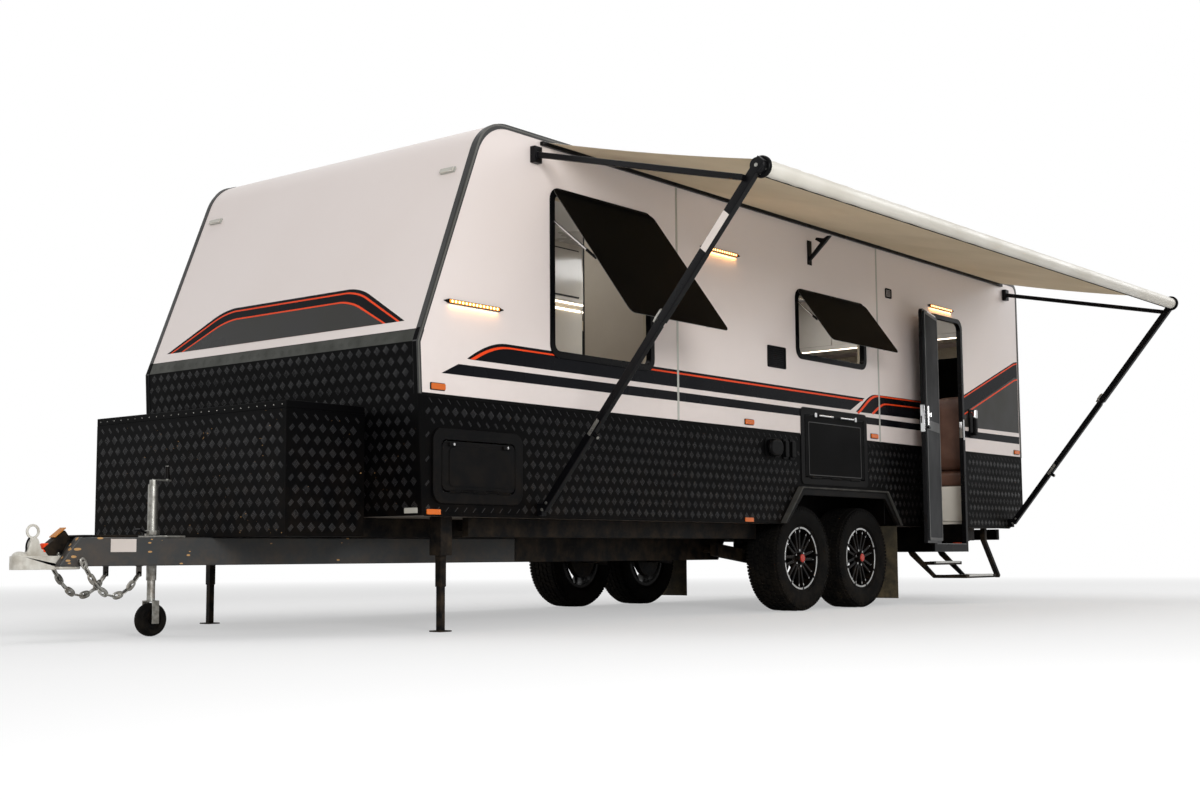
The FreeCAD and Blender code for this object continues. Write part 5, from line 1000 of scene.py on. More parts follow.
@dataclass
class Graphics:
    """Vinyl film on the walls: stripes with red pin lines, and the bare badge field in front."""

    proud: float = 0.0006
    door: float = 6.10
    door_line: float = 6.08
    post: float = 6.742
    tail: float = 7.905

    def build(self) -> None:
        """Lay the film on both sides and on the front."""
        self.stripes()
        self.front_field()

    def film(self, shape: Shape, outline: list, layer: int = 1) -> None:
        """Add one outline to a side's film, layer by layer."""
        shape.plate(outline, Facing.X, WALL, self.proud * layer)

    def stripes(self) -> None:
        """Lay the two long stripes, the swooshes beside the door and the fans behind it."""
        door, line, post, tail = self.door, self.door_line, self.post, self.tail
        black, red, carbon = Shape(), Shape(), Shape()
        crest = bezier(((0.432, 1.522), None, (0.50, 1.565)),
                       ((0.760, 1.6375), (0.63, 1.6375), None), steps=12)
        self.film(black, crest + [(4.975, 1.6385), (4.747, 1.529), (0.46, 1.519)])
        high = [(a + 0.024, max(b - 0.003 - 0.014 * min(1.0, (a - 0.432) / 0.3), 1.5210))
                for a, b in crest]
        low = [(a + 0.020, max(b - 0.0100, 1.5205)) for a, b in high]
        self.film(red, high + [(4.958, 1.6235), (4.930, 1.6105)] + low[::-1], 2)
        self.film(black, [(0.227, 1.423), (0.362, 1.485), (2.47, 1.4915), (door, 1.4905),
                          (door, 1.438), (2.47, 1.4315)])
        swoop = bezier(((4.828, 1.522), None, (4.95, 1.585)),
                       ((5.16, 1.680), (5.03, 1.680), None), steps=10)
        self.film(black, swoop + [(door, 1.690), (door, 1.531)])
        edge = [(a + 0.022, b - 0.004) for a, b in swoop]
        inner = bezier(((5.085, 1.528), None, (5.17, 1.575)),
                       ((5.33, 1.622), (5.24, 1.622), None), steps=8)
        for curve, up, back in ((edge, 1.684, 0.024), (inner, 1.632, 0.022)):
            self.film(red, curve + [(line, up), (line, up - 0.011)]
                      + [(a + back, b - 0.011) for a, b in curve[::-1]], 2)
        self.film(black, [(post, 1.531), (post, 1.795), (7.835, 2.188), (tail, 2.201),
                          (tail, 2.055), (7.83, 2.045), (post, 1.640)])
        self.film(carbon, [(post, 1.642), (7.83, 2.047), (tail, 2.057), (tail, 1.528),
                           (post, 1.520)])
        for drop in (0.0, 0.150):
            self.film(red, [(a, b - drop) for a, b in (
                (post, 1.782), (7.833, 2.175), (tail, 2.187), (tail, 2.176), (7.836, 2.163),
                (post, 1.770))], 2)
        self.film(black, [(post, 1.486), (tail, 1.492), (tail, 1.426), (post, 1.426)])
        for shape in (black, red, carbon):
            shape.both()
        for shape, front, rear, layer in ((black, (1.531, 1.690), (1.642, 1.795), 1),
                                          (black, (1.438, 1.4905), (1.426, 1.486), 1),
                                          (carbon, (1.529, 1.531), (1.520, 1.642), 1),
                                          (red, (1.673, 1.684), (1.770, 1.782), 2),
                                          (red, (1.621, 1.632), (1.620, 1.632), 2)):
            self.across(shape, front, rear, layer)
        black.piece("side_film_black", FILM_BLACK)
        red.piece("side_film_red", FILM_RED)
        carbon.piece("side_film_grey", FILM_CARBON)

    def across(self, shape: Shape, front: tuple, rear: tuple, layer: int) -> None:
        """Carry a stripe on along the right wall, where the left one has the doorway."""
        start, depth = self.door if layer == 1 else self.door_line, self.proud * layer
        shape.plate([(start, front[0]), (start, front[1]), (self.post, rear[1]),
                     (self.post, rear[0])], Facing.X, -WALL - depth, depth)

    def front_field(self) -> None:
        """Lay the bare field on the front: an orange line, black, another line, and carbon."""
        outer = [(-1.075, 0.138), (-0.62, 0.402), (-0.10, 0.425), (0.0, 0.418), (0.10, 0.425),
                 (0.62, 0.402), (1.075, 0.138)]
        layers = (("black", 0.0, FILM_BLACK), ("red", 0.019, FILM_RED),
                  ("black", 0.030, FILM_BLACK), ("red", 0.078, FILM_RED),
                  ("grey", 0.089, FILM_CARBON))
        for level, (name, by, finish) in enumerate(layers):
            points = [(a - math.copysign(by * (1.9 if b < 0.2 else 0.6), a) if a else a,
                       b - by if b > 0.2 else b) for a, b in outer]
            soft = [points[0], *bend(points[1], points[0], points[2], 0.10),
                    *bend(points[5], points[4], points[6], 0.10), points[6]]
            shape = Shape().plate(soft, Facing.Z, 0.0, self.proud + 0.0003 * level)
            shape.piece(f"front_film_{level}_{name}", finish, matrix=on_nose())


@dataclass
class Windows:
    """Tinted panes with pale cut edges, their stays, catches and flyscreen cassettes."""

    swing: float = math.radians(36)
    hinge: float = 1.2294
    rim: float = 0.034
    liner: float = 0.043
    lining: float = 0.030
    places: tuple = (("bed", (1.148, 2.190, 1.600, 2.640)),
                     ("galley", (3.950, 5.010, 1.860, 2.390)))

    def build(self) -> None:
        """Dress frames and panes on both sides."""
        self.frames()
        softened("window_panes", "window_panes_polished", ACRYLIC, 0.0012)
        for name, box in self.places:
            self.edge(name, *inset(box, 0.017))
            self.stays(name, box)
            self.cassette(name, box)

    def frames(self) -> None:
        """Mould the frames: a rim on the wall's face and a liner through the opening."""
        shape = Shape()
        for _, box in self.places:
            hole = rounded(inset(box, self.liner), 0.045)
            shape.panel(box, 0.080, WALL, 0.009, 0.003, hole=hole)
            shape.panel(inset(box, self.rim), 0.050, WALL - self.lining, self.lining, hole=hole)
        shape.both().piece("window_frames_moulded", ABS_SMOOTH, stands_for=("window_frames",))

    def on_pane(self, high: float) -> Matrix:
        """Give the turn of a pane about its hinge line, where local Z runs down the pane."""
        return placed((self.hinge, 0, high), -self.swing, "Y")

    def edge(self, name: str, front: float, rear: float, low: float, high: float) -> None:
        """Add the pale bead round a pane's cut edge and the two catches at its foot."""
        bead, catches = Shape(), Shape()
        drop = high - low
        pane = (front, rear, -drop, 0.0)
        bead.panel(inset(pane, -0.0008), 0.0408, 0.0012, 0.0026,
                   hole=rounded(inset(pane, 0.0012), 0.0388))
        for along in (front + 0.20, rear - 0.20):
            catches.block((-0.016, along - 0.020, -drop + 0.016),
                          (-0.0002, along + 0.020, -drop + 0.045), 0.004)
            catches.block((-0.024, along - 0.012, -drop + 0.030),
                          (-0.014, along + 0.012, -drop + 0.075), 0.004)
        bead.move(self.on_pane(high)).both().piece(f"{name}_pane_edge", VINYL_INSERT)
        catches.move(self.on_pane(high)).both().piece(f"{name}_pane_catches", ABS_BLACK)

    def stays(self, name: str, box: tuple) -> None:
        """Add the bright inner tube and ball ends of each gas stay."""
        front, rear, low, high = box
        reach = (high - low) * 0.54
        end = Vector((self.hinge + math.sin(self.swing) * reach - math.cos(self.swing) * 0.0094,
                      0.0, high - 0.017 - math.cos(self.swing) * reach
                      - math.sin(self.swing) * 0.0094))
        start = Vector((WALL + 0.0045, 0.0, low + (high - low) * 0.80))
        bright, dark = Shape(), Shape()
        for along in (front + 0.034, rear - 0.034):
            spots = [start.lerp(end, share) + Vector((0.0, along, 0.0))
                     for share in (-0.03, 0.0, 0.02, 0.78, 0.80, 1.0)]
            bright.bar(spots[1], spots[4], 0.0072, 16)
            dark.bar(spots[3], spots[5], 0.0088, 16, bevel=0.001)
            dark.bar(spots[0], spots[2], 0.011, 16, bevel=0.002)
        bright.both().piece(f"{name}_stay_tubes", CHROME)
        dark.both().piece(f"{name}_stay_sleeves", ABS_SMOOTH)

    def cassette(self, name: str, box: tuple) -> None:
        """Add the inner frame with its rolled blind at the head and flyscreen bar at the foot."""
        front, rear, low, high = box
        inside = WALL - self.lining
        shape = Shape().panel(inset(box, -0.02), 0.03, inside, -0.022, 0.003,
                              hole=rounded(inset(box, 0.045), 0.03))
        shape.block((inside - 0.060, front, high - 0.050), (inside - 0.022, rear, high + 0.02),
                    0.006)
        shape.block((inside - 0.050, front, low - 0.02), (inside - 0.022, rear, low + 0.03), 0.005)
        shape.both().piece(f"{name}_cassette", LAMINATE_WARM)


@dataclass
class Doorway:
    """Entry door with its frame, glazing, screen, lock and hinges, and the steps."""

    hinge: tuple = (1.243, 6.132, 0.0)
    swing: float = math.radians(165)
    pane: tuple = (0.116, 0.460, 1.634, 2.296)
    screen: tuple = (0.030, 0.546, 0.519, 2.398)

    def build(self) -> None:
        """Dress the doorway from the frame inwards."""
        for node, name, finish, width, body in (
                ("door_frame", "door_frame_coated", SATIN_BLACK, 0.002, MAIN),
                ("entry_door", "entry_door_edged", SATIN_BLACK, 0.002, "door_leaf"),
                ("door_screen", "door_screen_mesh", MESH, 0.0015, "door_leaf"),
                ("step_well", "step_well_lined", POWDER, 0.002, MAIN),
                ("entry_step", "entry_step_tubes", FRAME_BLACK, 0.003, MAIN)):
            softened(node, name, finish, width, body)
        self.leaf_fittings()
        self.steps()
        self.frame_fittings()

    def leaf_fittings(self) -> None:
        """Add the leaf's outer skin, pane, screen frame, locks and the door closer."""
        place = placed(self.hinge, -self.swing, "Z")
        skin, pane, border, bright, dark, arm = (Shape() for _ in range(6))
        skin.panel((0.020, 0.556, 0.512, 2.404), 0.04, -0.0037, 0.0016, 0.0006,
                   hole=rounded(self.pane, 0.045))
        pane.panel(self.pane, 0.045, -0.020, 0.006, 0.001)
        border.panel(self.screen, 0.02, -0.0470, -0.0030, 0.001,
                     hole=rounded(inset(self.screen, 0.026), 0.015))
        border.block((-0.0495, 0.056, 1.42), (-0.0470, 0.520, 1.50), 0.001)
        bright.block((-0.036, 0.5635, 1.40), (-0.001, 0.5665, 1.62), 0.0008)
        bright.block((-0.056, 0.470, 1.455), (-0.0495, 0.512, 1.615), 0.003)
        bright.block((-0.076, 0.480, 1.52), (-0.056, 0.500, 1.56), 0.004)
        dark.block((-0.014, 0.5635, 1.47), (-0.004, 0.5690, 1.53), 0.001)
        dark.block((-0.004, 0.40, 1.43), (0.020, 0.52, 1.57), 0.006)
        dark.block((-0.070, 0.495, 1.425), (-0.0495, 0.560, 1.445), 0.004)
        for up in (0.70, 2.20):
            dark.block((-0.030, 0.5635, up - 0.03), (-0.010, 0.5675, up + 0.03), 0.001)
        arm.block((-0.044, 0.06, 2.400), (-0.012, 0.40, 2.412), 0.002)
        for shape, name, finish in (
                (skin, "door_skin", COMPOSITE), (pane, "door_pane", ACRYLIC),
                (border, "door_screen_border", MOULDING), (bright, "door_lock_plates", CHROME),
                (dark, "door_lock_cases", ABS_SMOOTH), (arm, "door_closer", CHROME)):
            shape.piece(name, finish, "door_leaf", matrix=place)

    def steps(self) -> None:
        """Add the tread plates, the lit nosing and the bright edges of the folding step."""
        tread = TreadPlate()
        tread.field((0.80, 6.13), (1.19, 6.71)).piece(
            "step_well_bars", TREAD_BRIGHT, sharp=20, matrix=Matrix.Translation((0, 0, 0.4955)))
        riser = Shape().add(tread.field((6.15, 0.500), (6.69, 0.655)), on_side(0.8028))
        riser.block((0.8004, 6.142, 0.497), (0.8028, 6.698, 0.662), 0.0005)
        riser.piece("step_riser", TREAD_BRIGHT, sharp=20)
        sill = Shape().block((WALL - 0.028, 6.141, 0.4952), (WALL + 0.011, 6.699, 0.4974), 0.0005)
        sill.piece("door_sill_strip", CHROME)
        glow = Shape().block((1.150, 6.60, 0.5025), (1.188, 6.697, 0.506), 0.001)
        glow.piece("step_glow", FILM_RED)
        nosing = Shape().block((1.448, 6.190, 0.2225), (1.4912, 6.650, 0.2410), 0.003)
        nosing.block((1.130, 6.190, 0.3330), (1.1925, 6.650, 0.3505), 0.003)
        nosing.piece("step_nosings", NOSING)

    def frame_fittings(self) -> None:
        """Add the strike plate inside the frame and its keep on the frame's face."""
        strike = Shape().block((WALL - 0.024, 6.6998, 1.42), (WALL + 0.004, 6.7040, 1.56), 0.001)
        strike.block((WALL + 0.0095, 6.706, 1.40), (WALL + 0.0120, 6.728, 1.58), 0.002)
        strike.piece("door_strike", CHROME)


@dataclass
class WallFittings:
    """Locker doors, table hatch, inlets, vent, speaker, handle, mud flaps and arch trims."""

    vents: tuple = (3.558, 3.804, 1.762, 1.921)
    speaker: tuple = (5.352, 5.455, 2.490, 2.570)
    press_line: tuple = (4.10, 4.885, 1.00, 1.40)

    def build(self) -> None:
        """Dress each of them."""
        for node, name, finish, width, body in (
                ("hatch_frames", "hatch_frames_moulded", ABS_BLACK, 0.003, MAIN),
                ("left_boot_door", "left_boot_door_moulded", ABS_BLACK, 0.003,
                 "left_locker_door"),
                ("right_boot_door", "right_boot_door_moulded", ABS_BLACK, 0.003,
                 "right_locker_door"),
                ("table_leaf", "table_leaf_folded", POWDER, 0.003, "table"),
                ("arch_trims", "arch_trims_moulded", ABS_BLACK, 0.004, MAIN),
                ("mud_flaps", "mud_flaps_moulded", FLAP, 0.002, MAIN)):
            softened(node, name, finish, width, body)
        ledge = Shape().plate([(3.694, 0.641), (3.9495, 0.911), (5.2555, 0.911), (5.486, 0.641),
                               (5.472, 0.641), (5.249, 0.899), (3.956, 0.899), (3.710, 0.641)],
                              Facing.X, WALL, 0.043, 0.0015)
        ledge.both().piece("arch_trim_ledges", LEDGE)
        self.boot_latches()
        self.table_catches()
        self.vent()
        self.inlets()
        self.handle()

    def boot_latches(self) -> None:
        """Add two turn latches and the raised field of each locker door."""
        for side, sign in (("left", 1), ("right", -1)):
            flip, body = Matrix.Scale(sign, 4, (1, 0, 0)), f"{side}_locker_door"
            knobs = Shape()
            field = Shape().panel((0.275, 0.766, 0.80, 1.015), 0.03, WALL + 0.0138, 0.004, 0.003)
            for along in (0.300, 0.740):
                field.panel((along - 0.030, along + 0.030, 1.020, 1.044), 0.006, WALL + 0.0138,
                            0.010, 0.002, 3)
                knobs.bar((WALL + 0.020, along, 1.032), (WALL + 0.032, along, 1.032), 0.008, 20,
                          bevel=0.0015)
            field.piece(f"{side}_boot_door_field", ABS_BLACK, body, matrix=flip)
            knobs.piece(f"{side}_boot_door_knobs", CHROME, body, matrix=flip)

    def table_catches(self) -> None:
        """Add the chromed catches along the table hatch's head and its pressed line."""
        bright = Shape()
        for start, end in ((4.235, 4.440), (4.550, 4.755)):
            bright.bar((WALL + 0.018, start, 1.452), (WALL + 0.018, end, 1.452), 0.0090, 16,
                       bevel=0.002)
        for along in (4.195, 4.795):
            bright.panel((along - 0.016, along + 0.016, 1.436, 1.470), 0.006, WALL + 0.0062,
                         0.012, 0.003, 3)
        bright.piece("table_catches", CHROME, "table")
        seams = Shape().panel(self.press_line, 0.012, WALL + 0.006, 0.0012, steps=3,
                              hole=rounded(inset(self.press_line, 0.006), 0.010, 3))
        seams.piece("table_press_line", MOULDING, "table")

    def vent(self) -> None:
        """Add the fridge vent's and the speaker's frames and louvres."""
        shape = Shape()
        shape.panel(self.vents, 0.010, WALL, 0.008, 0.002, 3,
                    rounded(inset(self.vents, 0.012), 0.006, 3))
        shape.block((WALL, 3.568, 1.772), (WALL + 0.0015, 3.794, 1.911))
        for step in range(9):
            up = 1.783 + step * 0.0145
            shape.block((WALL + 0.0005, 3.571, up - 0.003), (WALL + 0.0060, 3.791, up + 0.004),
                        0.0015, turn=Matrix.Rotation(math.radians(24), 4, "Y"))
        shape.panel(self.speaker, 0.012, WALL, 0.008, 0.002, 3,
                    rounded(inset(self.speaker, 0.008), 0.008, 3))
        for step in range(7):
            up = 2.502 + step * 0.0095
            shape.block((WALL, 5.360, up - 0.0022), (WALL + 0.0055, 5.447, up + 0.0022), 0.001)
        shape.piece("wall_vents", ABS_BLACK, stands_for=("wall_fittings",))

    def inlets(self) -> None:
        """Add the water filler and the power inlet with their hinged covers."""
        shape = Shape()
        shape.panel((3.505, 3.715, 1.112, 1.248), 0.030, WALL, 0.006, 0.002, 4)
        shape.panel((3.520, 3.700, 1.118, 1.242), 0.058, WALL + 0.004, 0.040, 0.022, segments=5)
        shape.bar((WALL + 0.020, 3.610, 1.106), (WALL + 0.020, 3.610, 1.120), 0.008, 16,
                  bevel=0.002)
        for front, rear in ((3.740, 3.805), (3.830, 3.900)):
            shape.panel((front, rear, 1.104, 1.250), 0.010, WALL, 0.010, 0.003, 4)
            shape.panel((front + 0.008, rear - 0.008, 1.118, 1.236), 0.008, WALL + 0.009, 0.016,
                        0.005, 4)
        shape.piece("inlet_covers", ABS_BLACK)

    def handle(self) -> None:
        """Add the grab handle's moulded bar with its bright head."""
        bar, head = Shape(), Shape()
        bar.panel((6.830, 6.910, 1.428, 1.680), 0.014, WALL, 0.010, 0.003, 4)
        bar.panel((6.838, 6.902, 1.436, 1.612), 0.010, WALL + 0.009, 0.004, 0.001, 4)
        for shape, low, high, bevel in (
                (bar, (0.030, 6.844, 1.446), (0.062, 6.896, 1.604), 0.012),
                (bar, (0.010, 6.850, 1.446), (0.044, 6.890, 1.476), 0.008),
                (head, (0.030, 6.842, 1.596), (0.064, 6.898, 1.674), 0.012),
                (head, (0.012, 6.850, 1.640), (0.044, 6.890, 1.670), 0.008)):
            shape.block((WALL + low[0], *low[1:]), (WALL + high[0], *high[1:]), bevel, 3)
        bar.piece("grab_handle_bar", ABS_BLACK)
        head.piece("grab_handle_head", CHROME)


@dataclass
class Lamps:
    """Marker lamps, reflectors, clearance lamps, lit strips and tail lamps."""

    markers: tuple = (0.138, 3.245, 5.053, 7.770)
    strips: tuple = ((0.237, 1.817), (2.720, 2.500), (6.098, 2.508))
    strip_long: float = 0.495
    diodes: int = 14

    def build(self) -> None:
        """Make every lamp as a dark base with its lens."""
        base, amber = Shape(), Shape()
        for front in self.markers:
            box = (front, front + 0.115, 1.324, 1.366)
            base.panel(box, 0.006, WALL, 0.004, 0.001, 3)
            amber.panel(inset(box, 0.004), 0.006, WALL + 0.004, 0.0105, 0.004, 3, segments=3)
        for front in (0.115, 3.234):
            amber.panel((front, front + 0.107, 0.645, 0.674), 0.004, WALL, 0.005, 0.0015, 3)
        base.both().piece("marker_bases", GASKET, stands_for=("marker_lamps",))
        amber.both().piece("marker_lenses", AMBER)
        self.clearance()
        self.lit_strips()
        self.tail()

    def clearance(self) -> None:
        """Add the clear clearance lamps high on the front and the white reflectors below."""
        lean = Matrix.Rotation(-NOSE_LEAN, 4, "X")
        lens, base = Shape(), Shape()
        along, low = front_line(2.625), front_line(0.672)
        base.block((1.005, along - 0.010, 2.607), (1.118, along + 0.002, 2.643), 0.004, turn=lean)
        lens.block((1.009, along - 0.024, 2.611), (1.114, along - 0.008, 2.639), 0.005, turn=lean)
        lens.block((1.090, low - 0.006, 0.652), (1.190, low + 0.002, 0.682), 0.002)
        base.both().piece("clearance_bases", SEAM_STRIP)
        lens.both().piece("clearance_lenses", LENS_CLEAR)

    def lit_strips(self) -> None:
        """Add the warm strips: a dark extrusion with pointed ends and a glowing core."""
        body, core, dots = Shape(), Shape(), Shape()
        for front, low in self.strips:
            rear, middle, high = front + self.strip_long, low + 0.013, low + 0.026
            body.plate([(front, middle), (front + 0.040, low), (rear - 0.040, low),
                        (rear, middle), (rear - 0.040, high), (front + 0.040, high)],
                       Facing.X, WALL, 0.011, 0.003)
            core.panel((front + 0.042, rear - 0.042, low + 0.004, low + 0.022), 0.005,
                       WALL + 0.010, 0.004, 0.0015, 3)
            for step in range(self.diodes):
                along = front + 0.062 + step * (rear - front - 0.124) / (self.diodes - 1)
                dots.lathe([(0.0, 0.0082), (0.0016, 0.0070), (0.0020, 0.0)],
                           (WALL + 0.0139, along, middle), steps=14)
        body.piece("strip_bodies", ABS_SMOOTH, stands_for=("light_strips",))
        core.piece("strip_diffusers", DIFFUSER)
        dots.piece("strip_diodes", DIODES)

    def tail(self) -> None:
        """Add the upright tail lamps: a dark bezel and three lenses."""
        base, red, amber = Shape(), Shape(), Shape()
        base.panel((1.035, 1.125, 1.000, 1.500), 0.022, LENGTH, 0.010, 0.003, 5, facing=Facing.Y)
        for shape, low, high in ((red, 1.012, 1.165), (amber, 1.175, 1.325), (red, 1.335, 1.488)):
            shape.panel((1.044, 1.116, low, high), 0.014, LENGTH + 0.01, 0.018, 0.006, 5,
                        facing=Facing.Y)
        base.both().piece("tail_bases", ABS_SMOOTH, stands_for=("tail_lamps",))
        red.both().piece("tail_lenses_red", LENS_RED)
        amber.both().piece("tail_lenses_amber", AMBER)


@dataclass
class Wheel:
    """A road wheel: an all-terrain tyre on a rim with eight twin spokes."""

    radius: float = 0.388
    pitches: int = 44
    lip: float = 0.108
    spokes: int = 8

    def build(self) -> None:
        """Make the four wheels from one set of shapes."""
        shapes = ((self.carcass(), "tyre", RUBBER, "tyre"), (self.tread(), "tread", RUBBER, ""),
                  (self.disc(), "disc", RIM_GLOSS, "rim"), (self.bright(), "bright", MACHINED, ""),
                  (self.cap(), "cap", HUB_RED, ""))
        for side, across, turn in (("left", 1.052, 0.0), ("right", -1.052, math.pi)):
            for name, along, spin in (("front", AXLES[0], 0.10), ("rear", AXLES[1], 0.33)):
                place = (placed((across, along, self.radius), turn, "Z")
                         @ Matrix.Rotation(spin, 4, "X"))
                for shape, kind, finish, node in shapes:
                    shape.piece(f"{side}_{name}_{kind}", finish, f"{side}_{name}_wheel",
                                (f"{side}_{name}_{node}",) if node else (), matrix=place)

    def carcass(self) -> Shape:
        """Turn the casing with its bulge, rim guard and shoulder steps."""
        base = self.radius - 0.009
        outer = [(0.101, 0.2215), (0.106, 0.236), (0.114, 0.247), (0.122, 0.252), (0.1235, 0.262),
                 (0.1285, 0.283), (0.1312, 0.305), (0.1318, 0.325), (0.1300, 0.343),
                 (0.1300, 0.348), (0.1265, 0.358), (0.1185, base - 0.007), (0.106, base - 0.001),
                 (0.060, base)]
        profile = [(-axial, radial) for axial, radial in outer] + outer[::-1]
        return Shape().lathe(profile + [profile[0]], steps=72)

    def tread(self) -> Shape:
        """Cut the tread as staggered blocks, with lugs that wrap over both shoulders."""
        step = math.tau / self.pitches
        low, high, arc = self.radius - 0.012, self.radius, self.radius * step
        pitch = Shape()
        for axial, shift, slant in ((0.0, 0.0, 0.20), (0.041, 0.5, -0.25), (-0.041, 0.5, 0.25)):
            block = Shape().block((axial - 0.017, -arc * 0.40, low),
                                  (axial + 0.017, arc * 0.40, high - 0.0012), 0.0018, 1,
                                  turn=Matrix.Rotation(slant, 4, "Z"))
            pitch.add(block, Matrix.Rotation(step * shift, 4, "X"))
        for side in (-1, 1):
            for shift, reach in ((0.0, 0.030), (0.5, 0.016)):
                lug = Shape().block((side * 0.088 - 0.022, -arc * 0.19, low - 0.004),
                                    (side * 0.088 + 0.022, arc * 0.19, high - 0.003), 0.002, 1)
                inner, outer = sorted((side * 0.108, side * 0.1312))
                lug.block((inner, -arc * 0.18, high - 0.016 - reach),
                          (outer, arc * 0.18, high - 0.014), 0.003, 1)
                pitch.add(lug, Matrix.Rotation(step * shift, 4, "X"))
        return pitch.ring_of(self.pitches)

    def disc(self) -> Shape:
        """Make the black barrel, the twin spokes and the hub."""
        lip = self.lip
        shape, spoke = Shape(), Shape()
        shape.lathe([(-0.106, 0.232), (-0.106, 0.208), (0.060, 0.204), (lip - 0.010, 0.212),
                     (lip - 0.001, 0.216), (lip - 0.001, 0.2315), (lip - 0.007, 0.2315),
                     (lip - 0.010, 0.2205), (-0.098, 0.2205), (-0.100, 0.232), (-0.106, 0.232)],
                    steps=64)
        for side in (-1, 1):
            spoke.plate([(side * 0.004, 0.060), (side * 0.026, 0.060), (side * 0.040, 0.212),
                         (side * 0.020, 0.212)], Facing.X, 0.070, 0.022, 0.004)
        shape.add(spoke.ring_of(self.spokes))
        shape.lathe([(0.036, 0.0), (0.036, 0.076), (0.078, 0.080), (0.090, 0.070), (0.0905, 0.044),
                     (0.110, 0.041), (0.118, 0.037), (0.118, 0.0)])
        notch = Shape().block((lip - 0.002, -0.010, 0.2165), (lip + 0.0012, 0.010, 0.2325), 0.001)
        return shape.add(notch.ring_of(self.spokes))

    def bright(self) -> Shape:
        """Make the machined lip, the wheel nuts and the accents at the spokes' ends."""
        face, proud = self.lip - 0.001, self.lip + 0.0006
        accent = Shape()
        shape = Shape().lathe([(face, 0.217), (proud, 0.2178), (proud, 0.2300), (face, 0.2310),
                               (face, 0.217)], steps=72)
        for side in (-1, 1):
            accent.plate([(side * 0.025, 0.188), (side * 0.034, 0.188), (side * 0.0375, 0.205),
                          (side * 0.027, 0.205)], Facing.X, 0.0915, 0.0012, 0.0004)
        nut = Shape().bar((0.086, 0.0, 0.058), (0.101, 0.0, 0.058), 0.0095, 6, bevel=0.0012)
        return shape.add(accent.ring_of(self.spokes)).add(nut.ring_of(6))

    def cap(self) -> Shape:
        """Turn the hub's red cap, which stands proud of the rim."""
        return Shape().lathe([(0.112, 0.0305), (0.121, 0.0305), (0.124, 0.0270), (0.1245, 0.0)],
                             steps=36)


